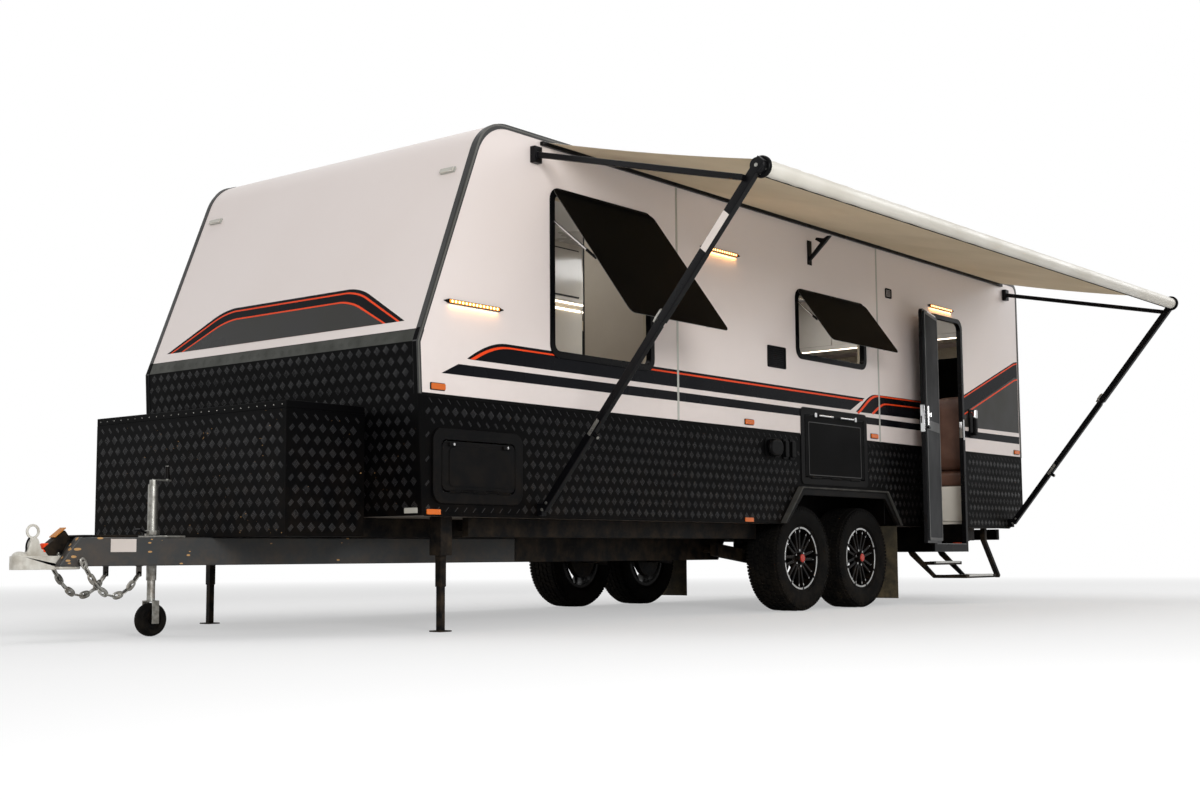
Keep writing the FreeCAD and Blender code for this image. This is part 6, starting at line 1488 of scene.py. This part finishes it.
@dataclass
class Hitch:
    """Drawbar, cast coupling, hand brake, chains, jockey wheel and its clamp."""

    jockey_along: float = -0.760
    jockey_up: float = 0.090
    brake_slope: float = math.radians(38)
    rail_slope: float = math.atan2(0.525, 2.88)

    def build(self) -> None:
        """Dress each steel piece and add what is bolted to it."""
        softened("drawbar", "drawbar_rails", FRAME_GREY, 0.007, segments=3)
        softened("chassis_rails", "chassis_rails_rolled", FRAME_BLACK, 0.004)
        softened("coupling", "coupling_cast", CAST_WHITE, 0.0035, segments=3)
        softened("handbrake", "handbrake_lever", FRAME_BLACK, 0.004)
        rounded_copy("safety_chains", "safety_chain_links", ZINC)
        softened("jockey_stand", "jockey_stand_tube", ZINC, 0.0015)
        softened("jockey_fork", "jockey_fork_pressed", ZINC, 0.0015, "jockey_caster")
        self.jockey()
        self.bolts()
        self.web()
        self.brake()
        self.plate()

    def jockey(self) -> None:
        """Turn the jockey wheel, a solid tyre on a ribbed hub, and add its clamp and grip."""
        along = self.jockey_along
        place = Matrix.Translation((0.0, along, self.jockey_up))
        tyre = Shape().lathe([(-0.026, 0.050), (-0.031, 0.058), (-0.034, 0.074), (-0.024, 0.086),
                              (-0.010, 0.0898), (0.010, 0.0898), (0.024, 0.086), (0.034, 0.074),
                              (0.031, 0.058), (0.026, 0.050), (-0.026, 0.050)])
        tyre.piece("jockey_tyre", RUBBER, "jockey_roller", ("jockey_wheel",), matrix=place)
        hub = Shape().lathe([(-0.032, 0.0112), (-0.032, 0.022), (-0.018, 0.026), (-0.018, 0.051),
                             (0.018, 0.051), (0.018, 0.026), (0.032, 0.022), (0.032, 0.0112),
                             (-0.032, 0.0112)])
        hub.piece("jockey_hub", ABS_BLACK, "jockey_roller", matrix=place)
        clamp = Shape().block((-0.085, along - 0.035, 0.5402), (0.085, along + 0.035, 0.5462),
                              0.002)
        clamp.bar((0.0, along - 0.040, 0.558), (0.0, along - 0.095, 0.575), 0.007, 12,
                  bevel=0.001)
        clamp.bar((-0.028, along - 0.092, 0.574), (0.028, along - 0.092, 0.574), 0.006, 12,
                  bevel=0.001)
        clamp.piece("jockey_clamp", SATIN_BLACK)
        grip = Shape().bar((0.0, along + 0.090, 0.852), (0.0, along + 0.090, 0.923), 0.0135, 20,
                           0.0115, bevel=0.003)
        grip.piece("jockey_grip", ABS_BLACK)

    def bolts(self) -> None:
        """Add the coupling's bolts, each on its washer."""
        shape = Shape()
        for along in (-1.345, -1.300):
            for across in (-0.030, 0.030):
                for low, high, radius, sides, bevel in ((0.4345, 0.437, 0.013, 24, 0.0),
                                                        (0.437, 0.447, 0.0095, 6, 0.001),
                                                        (0.447, 0.453, 0.006, 12, 0.0)):
                    shape.bar((across, along, low), (across, along, high), radius, sides,
                              bevel=bevel)
        for across in (-0.082, 0.082):
            shape.bar((across, -1.320, 0.3795), (across, -1.320, 0.3885), 0.011, 6, bevel=0.001)
        shape.piece("coupling_bolts", ZINC)

    def web(self) -> None:
        """Add the coupling's cast head and web, and the latch's trigger."""
        cast = Shape().lathe([(-0.018, 0.0), (-0.018, 0.030), (0.0, 0.039), (0.014, 0.036),
                              (0.024, 0.026), (0.029, 0.012), (0.030, 0.0)],
                             (0.0, -1.546, 0.428), Facing.Z, 36)
        cast.plate([(-1.520, 0.430), (-1.300, 0.430), (-1.345, 0.446), (-1.432, 0.470),
                    (-1.450, 0.520), (-1.470, 0.534), (-1.490, 0.520), (-1.508, 0.462)],
                   Facing.X, -0.017, 0.034, 0.005)
        cast.piece("coupling_web", CAST_WHITE, sharp=30)
        button = Shape().block((-0.020, -1.425, 0.452), (0.020, -1.385, 0.500), 0.008, 3)
        button.piece("brake_release", FILM_RED)
        trigger = Shape().pipe([(0.0, -1.500, 0.440), (0.0, -1.515, 0.470), (0.0, -1.512, 0.505),
                                (0.0, -1.490, 0.530)], 0.005)
        trigger.piece("coupling_trigger", SATIN_BLACK)

    def brake(self) -> None:
        """Add the coloured grip on top of the brake lever."""
        way = Vector((0.0, math.cos(self.brake_slope), math.sin(self.brake_slope)))
        shape = Shape().block((-0.027, -0.040, -0.002), (0.027, 0.040, 0.004), 0.002)
        shape.piece("brake_grip", PAD_ORANGE, matrix=placed(
            Vector((0.0, -1.318, 0.566)) - way * 0.020, self.brake_slope, "X"))

    def plate(self) -> None:
        """Add the blank pale plate on the door side's rail."""
        shape = Shape().block((-0.0008, -0.070, -0.034), (0.0012, 0.070, 0.034), 0.0004)
        shape.piece("blank_plate", FILM_WHITE,
                    matrix=placed((0.1615, -1.049, 0.487), -self.rail_slope, "Z"))


@dataclass
class Toolbox:
    """The clad box on the drawbar with its folded, riveted lid."""

    rivets: int = 25
    lip: float = 1.222

    def build(self) -> None:
        """Round the box's folds and set the rivets along the lid's lip."""
        softened("toolbox", "toolbox_folded", POWDER, 0.002)
        softened("toolbox_lid", "toolbox_lid_folded", POWDER, 0.003, "toolbox_cover")
        row = Shape()
        for step in range(self.rivets):
            across = (step * 2 / (self.rivets - 1) - 1) * (BOX_HALF - 0.035)
            row.bar((across, -BOX_DEEP, self.lip), (across, -BOX_DEEP - 0.0016, self.lip), 0.0032,
                    10, 0.002)
        row.piece("toolbox_lid_rivets", ZINC, "toolbox_cover")


@dataclass
class Awning:
    """Roll-out canopy: wall rail, roller, cloth, telescoping arms and rafters."""

    front: float = 1.062
    rear: float = 7.600
    out: float = 2.780
    heights: tuple = (2.490, 2.550)
    sag: float = 0.035
    rail: tuple = (1.2450, 2.8955)
    cloth_thick: float = 0.0012
    tube: float = 0.0465
    turns: int = 46
    foot: tuple = (WALL + 0.042, 0.687)

    def build(self) -> None:
        """Dress the hardware and hang the cloth."""
        softened("awning_arms", "awning_arms_extruded", SATIN_BLACK, 0.0035)
        softened("awning_rail", "awning_rail_extruded", SATIN_BLACK, 0.004)
        self.cloth()
        self.roller()
        self.arm_fittings()

    def cloth(self) -> None:
        """Hang one thin curved sheet from the rail to the roller: pale above, and below a sand
        colour painted as the light coming through it.
        """
        start, end = self.front + 0.046, self.rear - 0.046
        near, top = self.rail
        sheet = bmesh.new()
        bmesh.ops.create_grid(sheet, x_segments=24, y_segments=40, size=0.5)
        for vert in sheet.verts:
            share, along_share = vert.co.x + 0.5, vert.co.y + 0.5
            height = self.heights[0] + (self.heights[1] - self.heights[0]) * along_share + 0.047
            along = start + (end - start) * along_share
            belly = 4 * share * (1 - share)
            vert.co = Vector((near + (self.out - near) * share, along,
                              top + (height - top) * share - self.sag * belly * 0.35
                              + 0.004 * math.sin(along * 9.0) * belly)) + BALL
        bmesh.ops.recalc_face_normals(sheet, faces=sheet.faces)
        if sum(face.normal.z for face in sheet.faces) < 0:
            bmesh.ops.reverse_faces(sheet, faces=sheet.faces)
        grown = bmesh.ops.extrude_face_region(sheet, geom=list(sheet.faces))["geom"]
        bmesh.ops.translate(sheet, vec=(0, 0, self.cloth_thick), verts=points_of(grown))
        bmesh.ops.recalc_face_normals(sheet, faces=sheet.faces)
        data = settled(sheet, "awning_cloth")
        piece = dress("awning_cloth", data, CANOPY, MAIN, ("awning_fabric",), 60.0)
        data.materials.append(CANOPY_UNDER.material())
        for face in data.polygons:
            face.material_index = 1 if face.normal.z < 0 else 0

    def roller(self) -> None:
        """Turn the tube with the cloth rolled on it, its caps and their springs' rims."""
        low, high = self.heights
        half, tube = (self.rear - self.front) / 2, self.tube
        place = placed((self.out, (self.front + self.rear) / 2, (low + high) / 2),
                       math.atan2(high - low, self.rear - self.front), "X")
        turns = [(-half + 0.028, 0.0), (-half + 0.028, tube)]
        for step in range(1, self.turns):
            share = step / self.turns
            swell = 0.0012 * math.sin(step * 2.1) + (0.0028 if step % 2 else 0.0)
            turns.append((-half + 0.028 + (half * 2 - 0.056) * share ** 1.6,
                          tube + swell * (1 - share)))
        turns += [(half - 0.028, 0.0450), (half - 0.028, 0.0)]
        Shape().lathe(turns, facing=Facing.Y, steps=40).piece(
            "awning_tube", ROLLER_WHITE, stands_for=("awning_roller",), sharp=60, matrix=place)
        spline = Shape().bar((-0.004, -half + 0.06, -0.0475), (-0.004, half - 0.06, -0.0475),
                             0.004, 10)
        spline.piece("awning_spline", GASKET, matrix=place)
        caps, bolts = Shape(), Shape()
        cap = Shape().lathe([(-0.002, 0.0), (-0.002, 0.050), (0.002, 0.058), (0.008, 0.0615),
                             (0.022, 0.0615), (0.028, 0.056), (0.029, 0.0)], facing=Facing.Y,
                            steps=40)
        bolt = Shape().bar((0.0, -0.006, 0.040), (0.0, 0.0, 0.040), 0.006, 10, bevel=0.001)
        bolt.ring_of(6, (0, 1, 0))
        for end, turn in ((-half, 0.0), (half, math.pi)):
            spot = placed((0, end, 0), turn, "Z")
            caps.add(cap, spot)
            bolts.add(bolt, spot)
        caps.piece("awning_caps", ABS_SMOOTH, matrix=place)
        bolts.piece("awning_cap_bolts", ZINC, matrix=place)

    def arm_fittings(self) -> None:
        """Add knobs, latches, pivot bolts and the blank pale label field on the front arm."""
        knobs, bright, label, outer = Shape(), Shape(), Shape(), Shape()
        aside = Vector((0, 1, 0))
        for along, height in ((self.front - 0.020, self.heights[0]),
                              (self.rear + 0.020, self.heights[1])):
            foot = Vector((self.foot[0], along, self.foot[1]))
            head = Vector((self.out, along, height))
            way = (head - foot).normalized()
            across = Vector((way.z, 0.0, -way.x))
            turn = Matrix((across, aside, way)).transposed().to_4x4()
            joint = foot.lerp(head, 0.24)
            knobs.bar(joint + across * 0.02, joint + across * 0.050, 0.014, 12, bevel=0.002)
            bright.bar(joint + across * 0.048, joint + across * 0.056, 0.010, 20, bevel=0.002)
            start, end = foot.lerp(head, 0.57), head + way * 0.045
            half = (end - start).length / 2
            outer.add(Shape().block((-0.0255, -0.0225, -half), (0.0255, 0.0225, half), 0.004),
                      Matrix.Translation((start + end) / 2) @ turn)
            latch = Shape().block((-0.040, -0.018, -0.045), (-0.0255, 0.018, 0.045), 0.004)
            latch.block((-0.046, -0.012, -0.020), (-0.040, 0.012, 0.034), 0.002)
            bright.add(latch, Matrix.Translation(foot.lerp(head, 0.575)) @ turn)
            strip = Shape().block((-0.012, -0.0205, -0.055), (0.012, -0.0195, 0.055), 0.0002)
            bright.add(strip, Matrix.Translation(foot.lerp(head, 0.255)) @ turn)
            for spot, reach, radius in ((foot, 0.026, 0.009), (foot + way * 0.05, 0.026, 0.009),
                                        (head, 0.024, 0.012)):
                bright.bar(spot - aside * reach, spot + aside * reach, radius, 6, bevel=0.001)
            if not label.mesh.verts:
                low, high = foot.lerp(head, 0.768), foot.lerp(head, 0.872)
                half = (high - low).length / 2
                label.block((-0.0225, -0.0232, -half), (0.0225, -0.0224, half), 0.0002)
                label.move(Matrix.Translation((low + high) / 2) @ turn)
        outer.piece("awning_outer_tubes", SATIN_BLACK)
        knobs.piece("awning_knobs", ABS_BLACK)
        bright.piece("awning_pivots", ZINC)
        label.piece("awning_blank_label", FILM_WHITE)


@dataclass
class Cabin:
    """What the windows and the doorway show: furniture, lights, blinds and upholstery."""

    inner: float = 1.190
    locker_face: float = 0.860
    bench_face: float = 0.542
    unit_face: float = -0.6298
    seats: tuple = (-1.15, -0.38, 0.39)
    pillows: tuple = ((0.58, 7.36, 0.35), (0.12, 7.38, 0.30), (-0.55, 7.38, 0.3))

    def build(self) -> None:
        """Dress the furniture and sew the soft pieces."""
        paint(LAMINATE, "cabinets", "bed_base")
        self.tall_unit()
        self.lockers()
        self.tail()
        self.soft()

    def tall_unit(self) -> None:
        """Add the beige board behind the bed, the tall unit's doors and their lit pelmet."""
        board = Shape().block((0.34, 2.560, 0.680), (1.186, 2.590, 2.895), 0.003)
        board.piece("cabin_partition", WALLBOARD)
        trim, doors = Shape().block((0.328, 2.556, 0.680), (0.340, 2.594, 2.895), 0.004), Shape()
        face = self.unit_face
        for start in (2.93, 3.32):
            box = (start, start + 0.36, 2.470, 2.860)
            trim.panel(box, 0.008, -0.6295, 0.004, 0.001, 3, rounded(inset(box, 0.012), 0.006, 3))
            doors.block((face, start + 0.012, 2.482), (-0.6150, start + 0.348, 2.848), 0.003)
        trim.piece("tall_unit_trims", MOULDING)
        doors.block((face, 2.92, 2.395), (-0.5700, 3.70, 2.440), 0.004)
        doors.piece("tall_unit_doors", LAMINATE)
        lit = Shape().block((-0.5695, 2.93, 2.400), (-0.5660, 3.69, 2.412), 0.001)
        lit.block((-0.6290, 2.93, 2.360), (-0.6200, 3.69, 2.372), 0.001)
        lit.piece("tall_unit_strips", DIODES_COOL)

    def lockers(self) -> None:
        """Add doors, grips and tops to the overhead lockers, the galley and the lounge base."""
        doors, grips = Shape(), Shape()
        face, bench = self.locker_face, self.bench_face
        for start in (2.80, 3.42, 4.04, 4.66, 5.28):
            doors.block((face - 0.018, start, 2.445), (face - 0.001, start + 0.60, 2.745), 0.004)
            grips.block((face - 0.026, start + 0.25, 2.452), (face - 0.018, start + 0.35, 2.462),
                        0.002)
        for start in (2.92, 3.52, 4.12, 4.72, 5.32):
            doors.block((bench, start, 0.78), (bench + 0.017, start + min(0.57, 5.88 - start),
                                               1.50), 0.004)
        doors.both()
        for start in (-1.10, -0.36, 0.38):
            doors.block((start, 6.925, 0.70), (start + 0.72, 6.939, 0.99), 0.004)
        doors.piece("furniture_doors", LAMINATE)
        grips.both().piece("furniture_grips", CHROME)
        top = Shape().block((bench - 0.022, 2.89, 1.5605), (self.inner - 0.071, 5.92, 1.590),
                            0.004)
        top.piece("bench_top", BENCH_TOP)

    def tail(self) -> None:
        """Add the rear lockers, the window with its blind and shelf, and the cool strips."""
        boxes, blinds = Shape(), Shape()
        for start in (-1.17, -0.39, 0.39):
            boxes.block((start, 7.27, 2.44), (start + 0.77, 7.60, 2.90), 0.006)
        boxes.block((-1.18, 7.26, 2.395), (1.18, 7.60, 2.438), 0.004)
        boxes.piece("rear_lockers", LAMINATE)
        for step in range(9):
            up = 2.29 + step * 0.012
            blinds.block((-0.80, 7.880, up), (0.80, 7.892, up + 0.010), 0.003)
        blinds.piece("rear_blind", BLIND)
        glass = Shape().panel((-0.84, 0.84, 1.80, 2.39), 0.04, 7.8930, 0.014, 0.002,
                              facing=Facing.Y)
        glass.piece("rear_window_inside", ACRYLIC)
        sill = Shape().block((-1.15, 7.655, 1.700), (1.15, 7.905, 1.725), 0.006)
        sill.block((-1.15, 7.655, 0.70), (1.15, 7.668, 1.70), 0.003)
        sill.piece("lounge_shelf", LAMINATE_WARM)
        strips = Shape().block((self.inner - 0.320, 2.80, 2.4235),
                               (self.inner - 0.305, 5.86, 2.4295), 0.001)
        strips.both().block((-1.10, 7.275, 2.388), (1.10, 7.290, 2.3945), 0.001)
        strips.piece("cabin_strips", DIODES_COOL)

    def soft(self) -> None:
        """Sew the mattress, the lounge and its pillows, and let them fill out together."""
        goods = SoftGoods()
        goods.pad("mattress_sewn", (-0.765, 0.19, 1.1420), (0.765, 2.335, 1.3150), QUILT, 0.030,
                  0.012, ("cushions",))
        for index, start in enumerate(self.seats):
            goods.pad(f"seat_pad_{index}", (start + 0.012, 6.955, 1.022),
                      (start + 0.748, 7.480, 1.140), LEATHER, 0.014, 0.016)
            goods.pad(f"back_pad_{index}", (start + 0.014, 7.510, 1.030),
                      (start + 0.746, 7.630, 1.680), LEATHER, 0.014, 0.016)
        goods.pad("lounge_arm", (0.820, 6.955, 1.170), (1.160, 7.480, 1.800), LEATHER, 0.016,
                  0.018)
        for index, (across, along, lean) in enumerate(self.pillows):
            goods.pad(f"pillow_{index}", (across - 0.19, along - 0.045, 1.19),
                      (across + 0.19, along + 0.045, 1.54), LINEN, 0.012, 0.040,
                      turn=Matrix.Rotation(lean, 4, "X"))
        goods.fill()


class SoftGoods:
    """Stuffed pieces that are inflated together and then fixed."""

    fullness: float = 0.8
    pressure: float = 4.0
    frames: int = 20

    def __init__(self) -> None:
        """Start with none."""
        self.pieces: list = []

    def pad(self, name: str, low: tuple, high: tuple, finish: Finish, voxel: float, cap: float,
            stands_for: tuple = (), turn: Matrix | None = None) -> None:
        """Cut one pad as a block with round corners.

        Args:
            name: Its name.
            low: Its low corner.
            high: Its high corner.
            finish: Its cloth or leather.
            voxel: The remesh's step in metres.
            cap: How far a point may move.
            stands_for: CAD nodes that it stands for.
            turn: A lean about its middle.
        """
        shape = Shape().block(low, high, 0.022, 3, turn)
        piece = shape.piece(name, finish, stands_for=stands_for, sharp=180.0)
        self.pieces.append((piece, voxel, cap))

    def fill(self) -> None:
        """Remesh, inflate for twenty frames, cap the movement and fix the result."""
        scene = bpy.context.scene
        for piece, voxel, _ in self.pieces:
            cut = piece.modifiers.new("remesh", "REMESH")
            cut.mode = "VOXEL"
            cut.voxel_size = voxel
        self.fix(False)
        for piece, _, _ in self.pieces:
            cloth = piece.modifiers.new("filling", "CLOTH")
            cloth.settings.use_pressure = True
            cloth.settings.uniform_pressure_force = self.pressure
            cloth.settings.effector_weights.gravity = 0.0
            cloth.point_cache.frame_start = 1
            cloth.point_cache.frame_end = self.frames
        for step in range(1, self.frames + 1):
            scene.frame_set(step)
        self.fix(True)
        scene.frame_set(1)
        for piece, _, _ in self.pieces:
            subdivide(piece, 1)

    def fix(self, capped: bool) -> None:
        """Take each piece's mesh as its modifiers leave it, no point past its cap if capped."""
        depth = bpy.context.evaluated_depsgraph_get()
        for piece, _, cap in self.pieces:
            old = piece.data
            made = bpy.data.meshes.new_from_object(piece.evaluated_get(depth))
            if capped:
                for vert, start in zip(made.vertices, [vert.co.copy() for vert in old.vertices]):
                    move = vert.co - start
                    if move.length > cap:
                        vert.co = start + move.normalized() * cap
            piece.modifiers.clear()
            piece.data = made
            made.name = old.name + "_filled"
            bpy.data.meshes.remove(old)
            made.shade_smooth()


@dataclass
class Roof:
    """Cooler and hatches on the roof."""

    hatches: tuple = (1.5, 6.2)

    def build(self) -> None:
        """Round the covers and add their ribs, grilles and flashings."""
        softened("roof_fittings", "roof_covers", GELCOAT, 0.012, segments=4)
        ribs, dark = Shape(), Shape()
        for step in range(9):
            across = -0.28 + step * 0.07
            ribs.block((across - 0.010, 4.02, 3.142), (across + 0.010, 4.83, 3.1445), 0.001)
        for step in range(8):
            up = 2.965 + step * 0.019
            for along in (3.8975, 4.9485):
                dark.block((-0.30, along, up), (0.30, along + 0.004, up + 0.010), 0.001)
        for front in self.hatches:
            ribs.block((-0.315, front - 0.035, 2.9325), (0.315, front + 0.595, 2.9365), 0.0015)
            dark.block((-0.24, front + 0.04, 3.0025), (0.24, front + 0.52, 3.0045), 0.001)
        ribs.piece("roof_ribs", GELCOAT)
        dark.piece("roof_grilles", ABS_SMOOTH)


@dataclass
class Underside:
    """Everything below the floor and behind the body."""

    spare_centre: tuple = (0.0, LENGTH + 0.1704, 1.060)

    def build(self) -> None:
        """Dress the steel, the running gear, the housings and the spare wheel's cover."""
        paint(FRAME_BLACK, "underframe")
        paint(POWDER, "wheel_boxes")
        softened("suspension_arms", "suspension_arms_welded", FRAME_BLACK, 0.002)
        softened("stabiliser_legs", "stabiliser_legs_tubes", FRAME_BLACK, 0.002)
        softened("rear_bumper", "rear_bumper_folded", POWDER, 0.005)
        self.springs()
        self.spare()

    def springs(self) -> None:
        """Add the three convolutions of each air bellows."""
        rubber = Shape()
        for along in AXLES:
            for step in range(3):
                low = 0.455 + step * 0.055
                rubber.lathe([(low, 0.045), (low + 0.012, 0.058), (low + 0.027, 0.063),
                              (low + 0.042, 0.058), (low + 0.054, 0.045)],
                             (0.80, along - 0.16, 0.0), Facing.Z, 32)
        rubber.both().piece("spring_bellows", RUBBER)

    def spare(self) -> None:
        """Turn the spare wheel's smooth cover with its band."""
        cover = Shape().lathe([(0.0, 0.0), (0.0, 0.392), (0.006, 0.399), (0.215, 0.3995),
                               (0.238, 0.390), (0.254, 0.368), (0.2600, 0.335), (0.2635, 0.20),
                               (0.2645, 0.0)], self.spare_centre, Facing.Y, 72)
        cover.piece("spare_cover_moulded", ABS_BLACK, stands_for=("spare_cover",))
        band = Shape().lathe([(0.030, 0.3990), (0.030, 0.4035), (0.062, 0.4035), (0.062, 0.3990),
                              (0.030, 0.3990)], self.spare_centre, Facing.Y, 72)
        band.piece("spare_cover_band", MACHINED)


@dataclass
class Studio:
    """Pale floor, white surroundings, soft lamps and the camera of the photograph."""

    eye: tuple = (7.1947, -4.3156, 0.0164)
    yaw: float = 0.6733
    pitch: float = 0.0999
    roll: float = -0.007
    lens: float = 46.6
    middle: tuple = (0.0, 5.5, BALL.z)
    strip_wide: float = 0.012
    strip_colour: str = "FFB765"

    def build(self) -> None:
        """Set the stage, the light and the camera."""
        self.floor()
        self.sky()
        self.lamps()
        self.camera()
        bpy.context.scene.view_settings.view_transform = "Standard"

    def floor(self) -> None:
        """Lay a wide pale floor that keeps the caravan's shadow."""
        sheet = bmesh.new()
        bmesh.ops.create_grid(sheet, x_segments=2, y_segments=2, size=150.0)
        bmesh.ops.translate(sheet, vec=(0, 0, BALL.z - 0.001), verts=sheet.verts)
        data = settled(sheet, "studio_floor")
        made = bpy.data.materials.new("matt_studio_paint_white")
        tree = empty_tree(made)
        spot = add_node(tree, "ShaderNodeTexCoord").outputs["Object"]
        coat = add_node(tree, "ShaderNodeBsdfPrincipled", {
            "Base Color": blend(tree, clouds(tree, spot, 0.4), linear("F2F2F2"),
                                linear("EEEEEE")),
            "Roughness": 0.9, "Specular IOR Level": 0.0})
        white = add_node(tree, "ShaderNodeEmission", {"Strength": 1.0})
        rays = add_node(tree, "ShaderNodeLightPath").outputs
        away = add_node(tree, "ShaderNodeVectorMath", {0: spot, 1: self.middle},
                        operation="DISTANCE").outputs["Value"]
        seen = maths(tree, "MULTIPLY", rays["Is Camera Ray"], ramp(tree, away, 6.0, 17.0, 0.42))
        mix = add_node(tree, "ShaderNodeMixShader", {
            0: seen, 1: coat.outputs[0], 2: white.outputs[0]})
        add_node(tree, "ShaderNodeOutputMaterial", {"Surface": mix.outputs[0]})
        data.materials.append(made)
        floor = bpy.data.objects.new("studio_floor", data)
        bpy.context.scene.collection.objects.link(floor)

    def sky(self) -> None:
        """Make the surroundings white to the eye and in reflections, and soft as light."""
        world = bpy.data.worlds.new("studio_surroundings")
        bpy.context.scene.world = world
        tree = empty_tree(world)
        rays = add_node(tree, "ShaderNodeLightPath").outputs
        seen = maths(tree, "MAXIMUM", rays["Is Camera Ray"], rays["Is Transmission Ray"])
        gloss = maths(tree, "MULTIPLY", rays["Is Glossy Ray"], 0.75)
        strength = ramp(tree, maths(tree, "MAXIMUM", seen, gloss), 0.0, 1.0, 0.38)
        glow = add_node(tree, "ShaderNodeBackground", {
            "Color": (1.0, 1.0, 1.0, 1.0), "Strength": strength})
        add_node(tree, "ShaderNodeOutputWorld", {"Surface": glow.outputs[0]})

    def lamps(self) -> None:
        """Hang the studio's four lamps, those in the cabin and those in the lit strips."""
        for name, spot, aim, size, power in (
                ("key", (9.5, -4.6, 3.7), (0.8, 3.0, 1.2), 4.0, 640.0),
                ("fill", (-6.5, -6.0, 4.5), (-0.5, 2.0, 1.2), 6.0, 150.0),
                ("rear", (6.0, 13.0, 6.0), (0.0, 7.0, 1.0), 5.0, 240.0),
                ("top", (0.0, 4.0, 9.0), (0.0, 4.0, 0.0), 8.0, 360.0),
                ("cabin_front", (0.0, 1.8, 2.88), (0.0, 1.8, 0.0), 1.0, 6.0),
                ("cabin_middle", (0.0, 4.4, 2.88), (0.0, 4.4, 0.0), 1.0, 12.0),
                ("cabin_rear", (0.0, 6.7, 2.88), (0.0, 6.7, 0.0), 0.8, 5.0),
                ("strip_front", (1.2285, 0.484, 1.812), (1.2160, 0.484, 1.70), 0.40, 0.30),
                ("strip_middle", (1.2285, 2.967, 2.495), (1.2160, 2.967, 2.38), 0.40, 0.40),
                ("strip_door", (1.2285, 6.345, 2.503), (1.2160, 6.345, 2.40), 0.40, 0.40)):
            data = bpy.data.lights.new(name, "AREA")
            data.shape = "DISK"
            data.size = size
            data.energy = power
            if name.startswith("strip"):
                data.shape = "RECTANGLE"
                data.size_y = self.strip_wide
                data.color = linear(self.strip_colour)[:3]
            lamp = bpy.data.objects.new(name, data)
            lamp.location = at(*spot)
            way = at(*aim) - lamp.location
            lamp.rotation_euler = way.to_track_quat("-Z", "Y").to_euler()
            bpy.context.scene.collection.objects.link(lamp)

    def camera(self) -> None:
        """Set the camera as the photograph's was."""
        data = bpy.data.cameras.new("camera")
        data.sensor_width = 36.0
        data.lens = self.lens
        data.clip_end = 400.0
        holder = bpy.data.objects.new("camera", data)
        ahead = Vector((-math.sin(self.yaw) * math.cos(self.pitch),
                        math.cos(self.yaw) * math.cos(self.pitch), math.sin(self.pitch)))
        right = Vector((math.cos(self.yaw), math.sin(self.yaw), 0.0))
        above = right.cross(ahead)
        right, above = (right * math.cos(self.roll) + above * math.sin(self.roll),
                        above * math.cos(self.roll) - right * math.sin(self.roll))
        turn = Matrix((right, above, -ahead)).transposed()
        holder.matrix_world = Matrix.Translation(self.eye) @ turn.to_4x4()
        bpy.context.scene.collection.objects.link(holder)
        bpy.context.scene.camera = holder


def main() -> None:
    """Dress every sub-assembly in turn and set the studio."""
    logging.basicConfig(level=logging.INFO, format="%(message)s")
    for part in (Shell(), Cladding(TreadPlate()), Graphics(), Windows(), Doorway(),
                 WallFittings(), Lamps(), Wheel(), Hitch(), Toolbox(), Awning(), Cabin(), Roof(),
                 Underside(), Studio()):
        LOG.info("building %s", type(part).__name__)
        part.build()


if __name__ == "__main__":
    main()
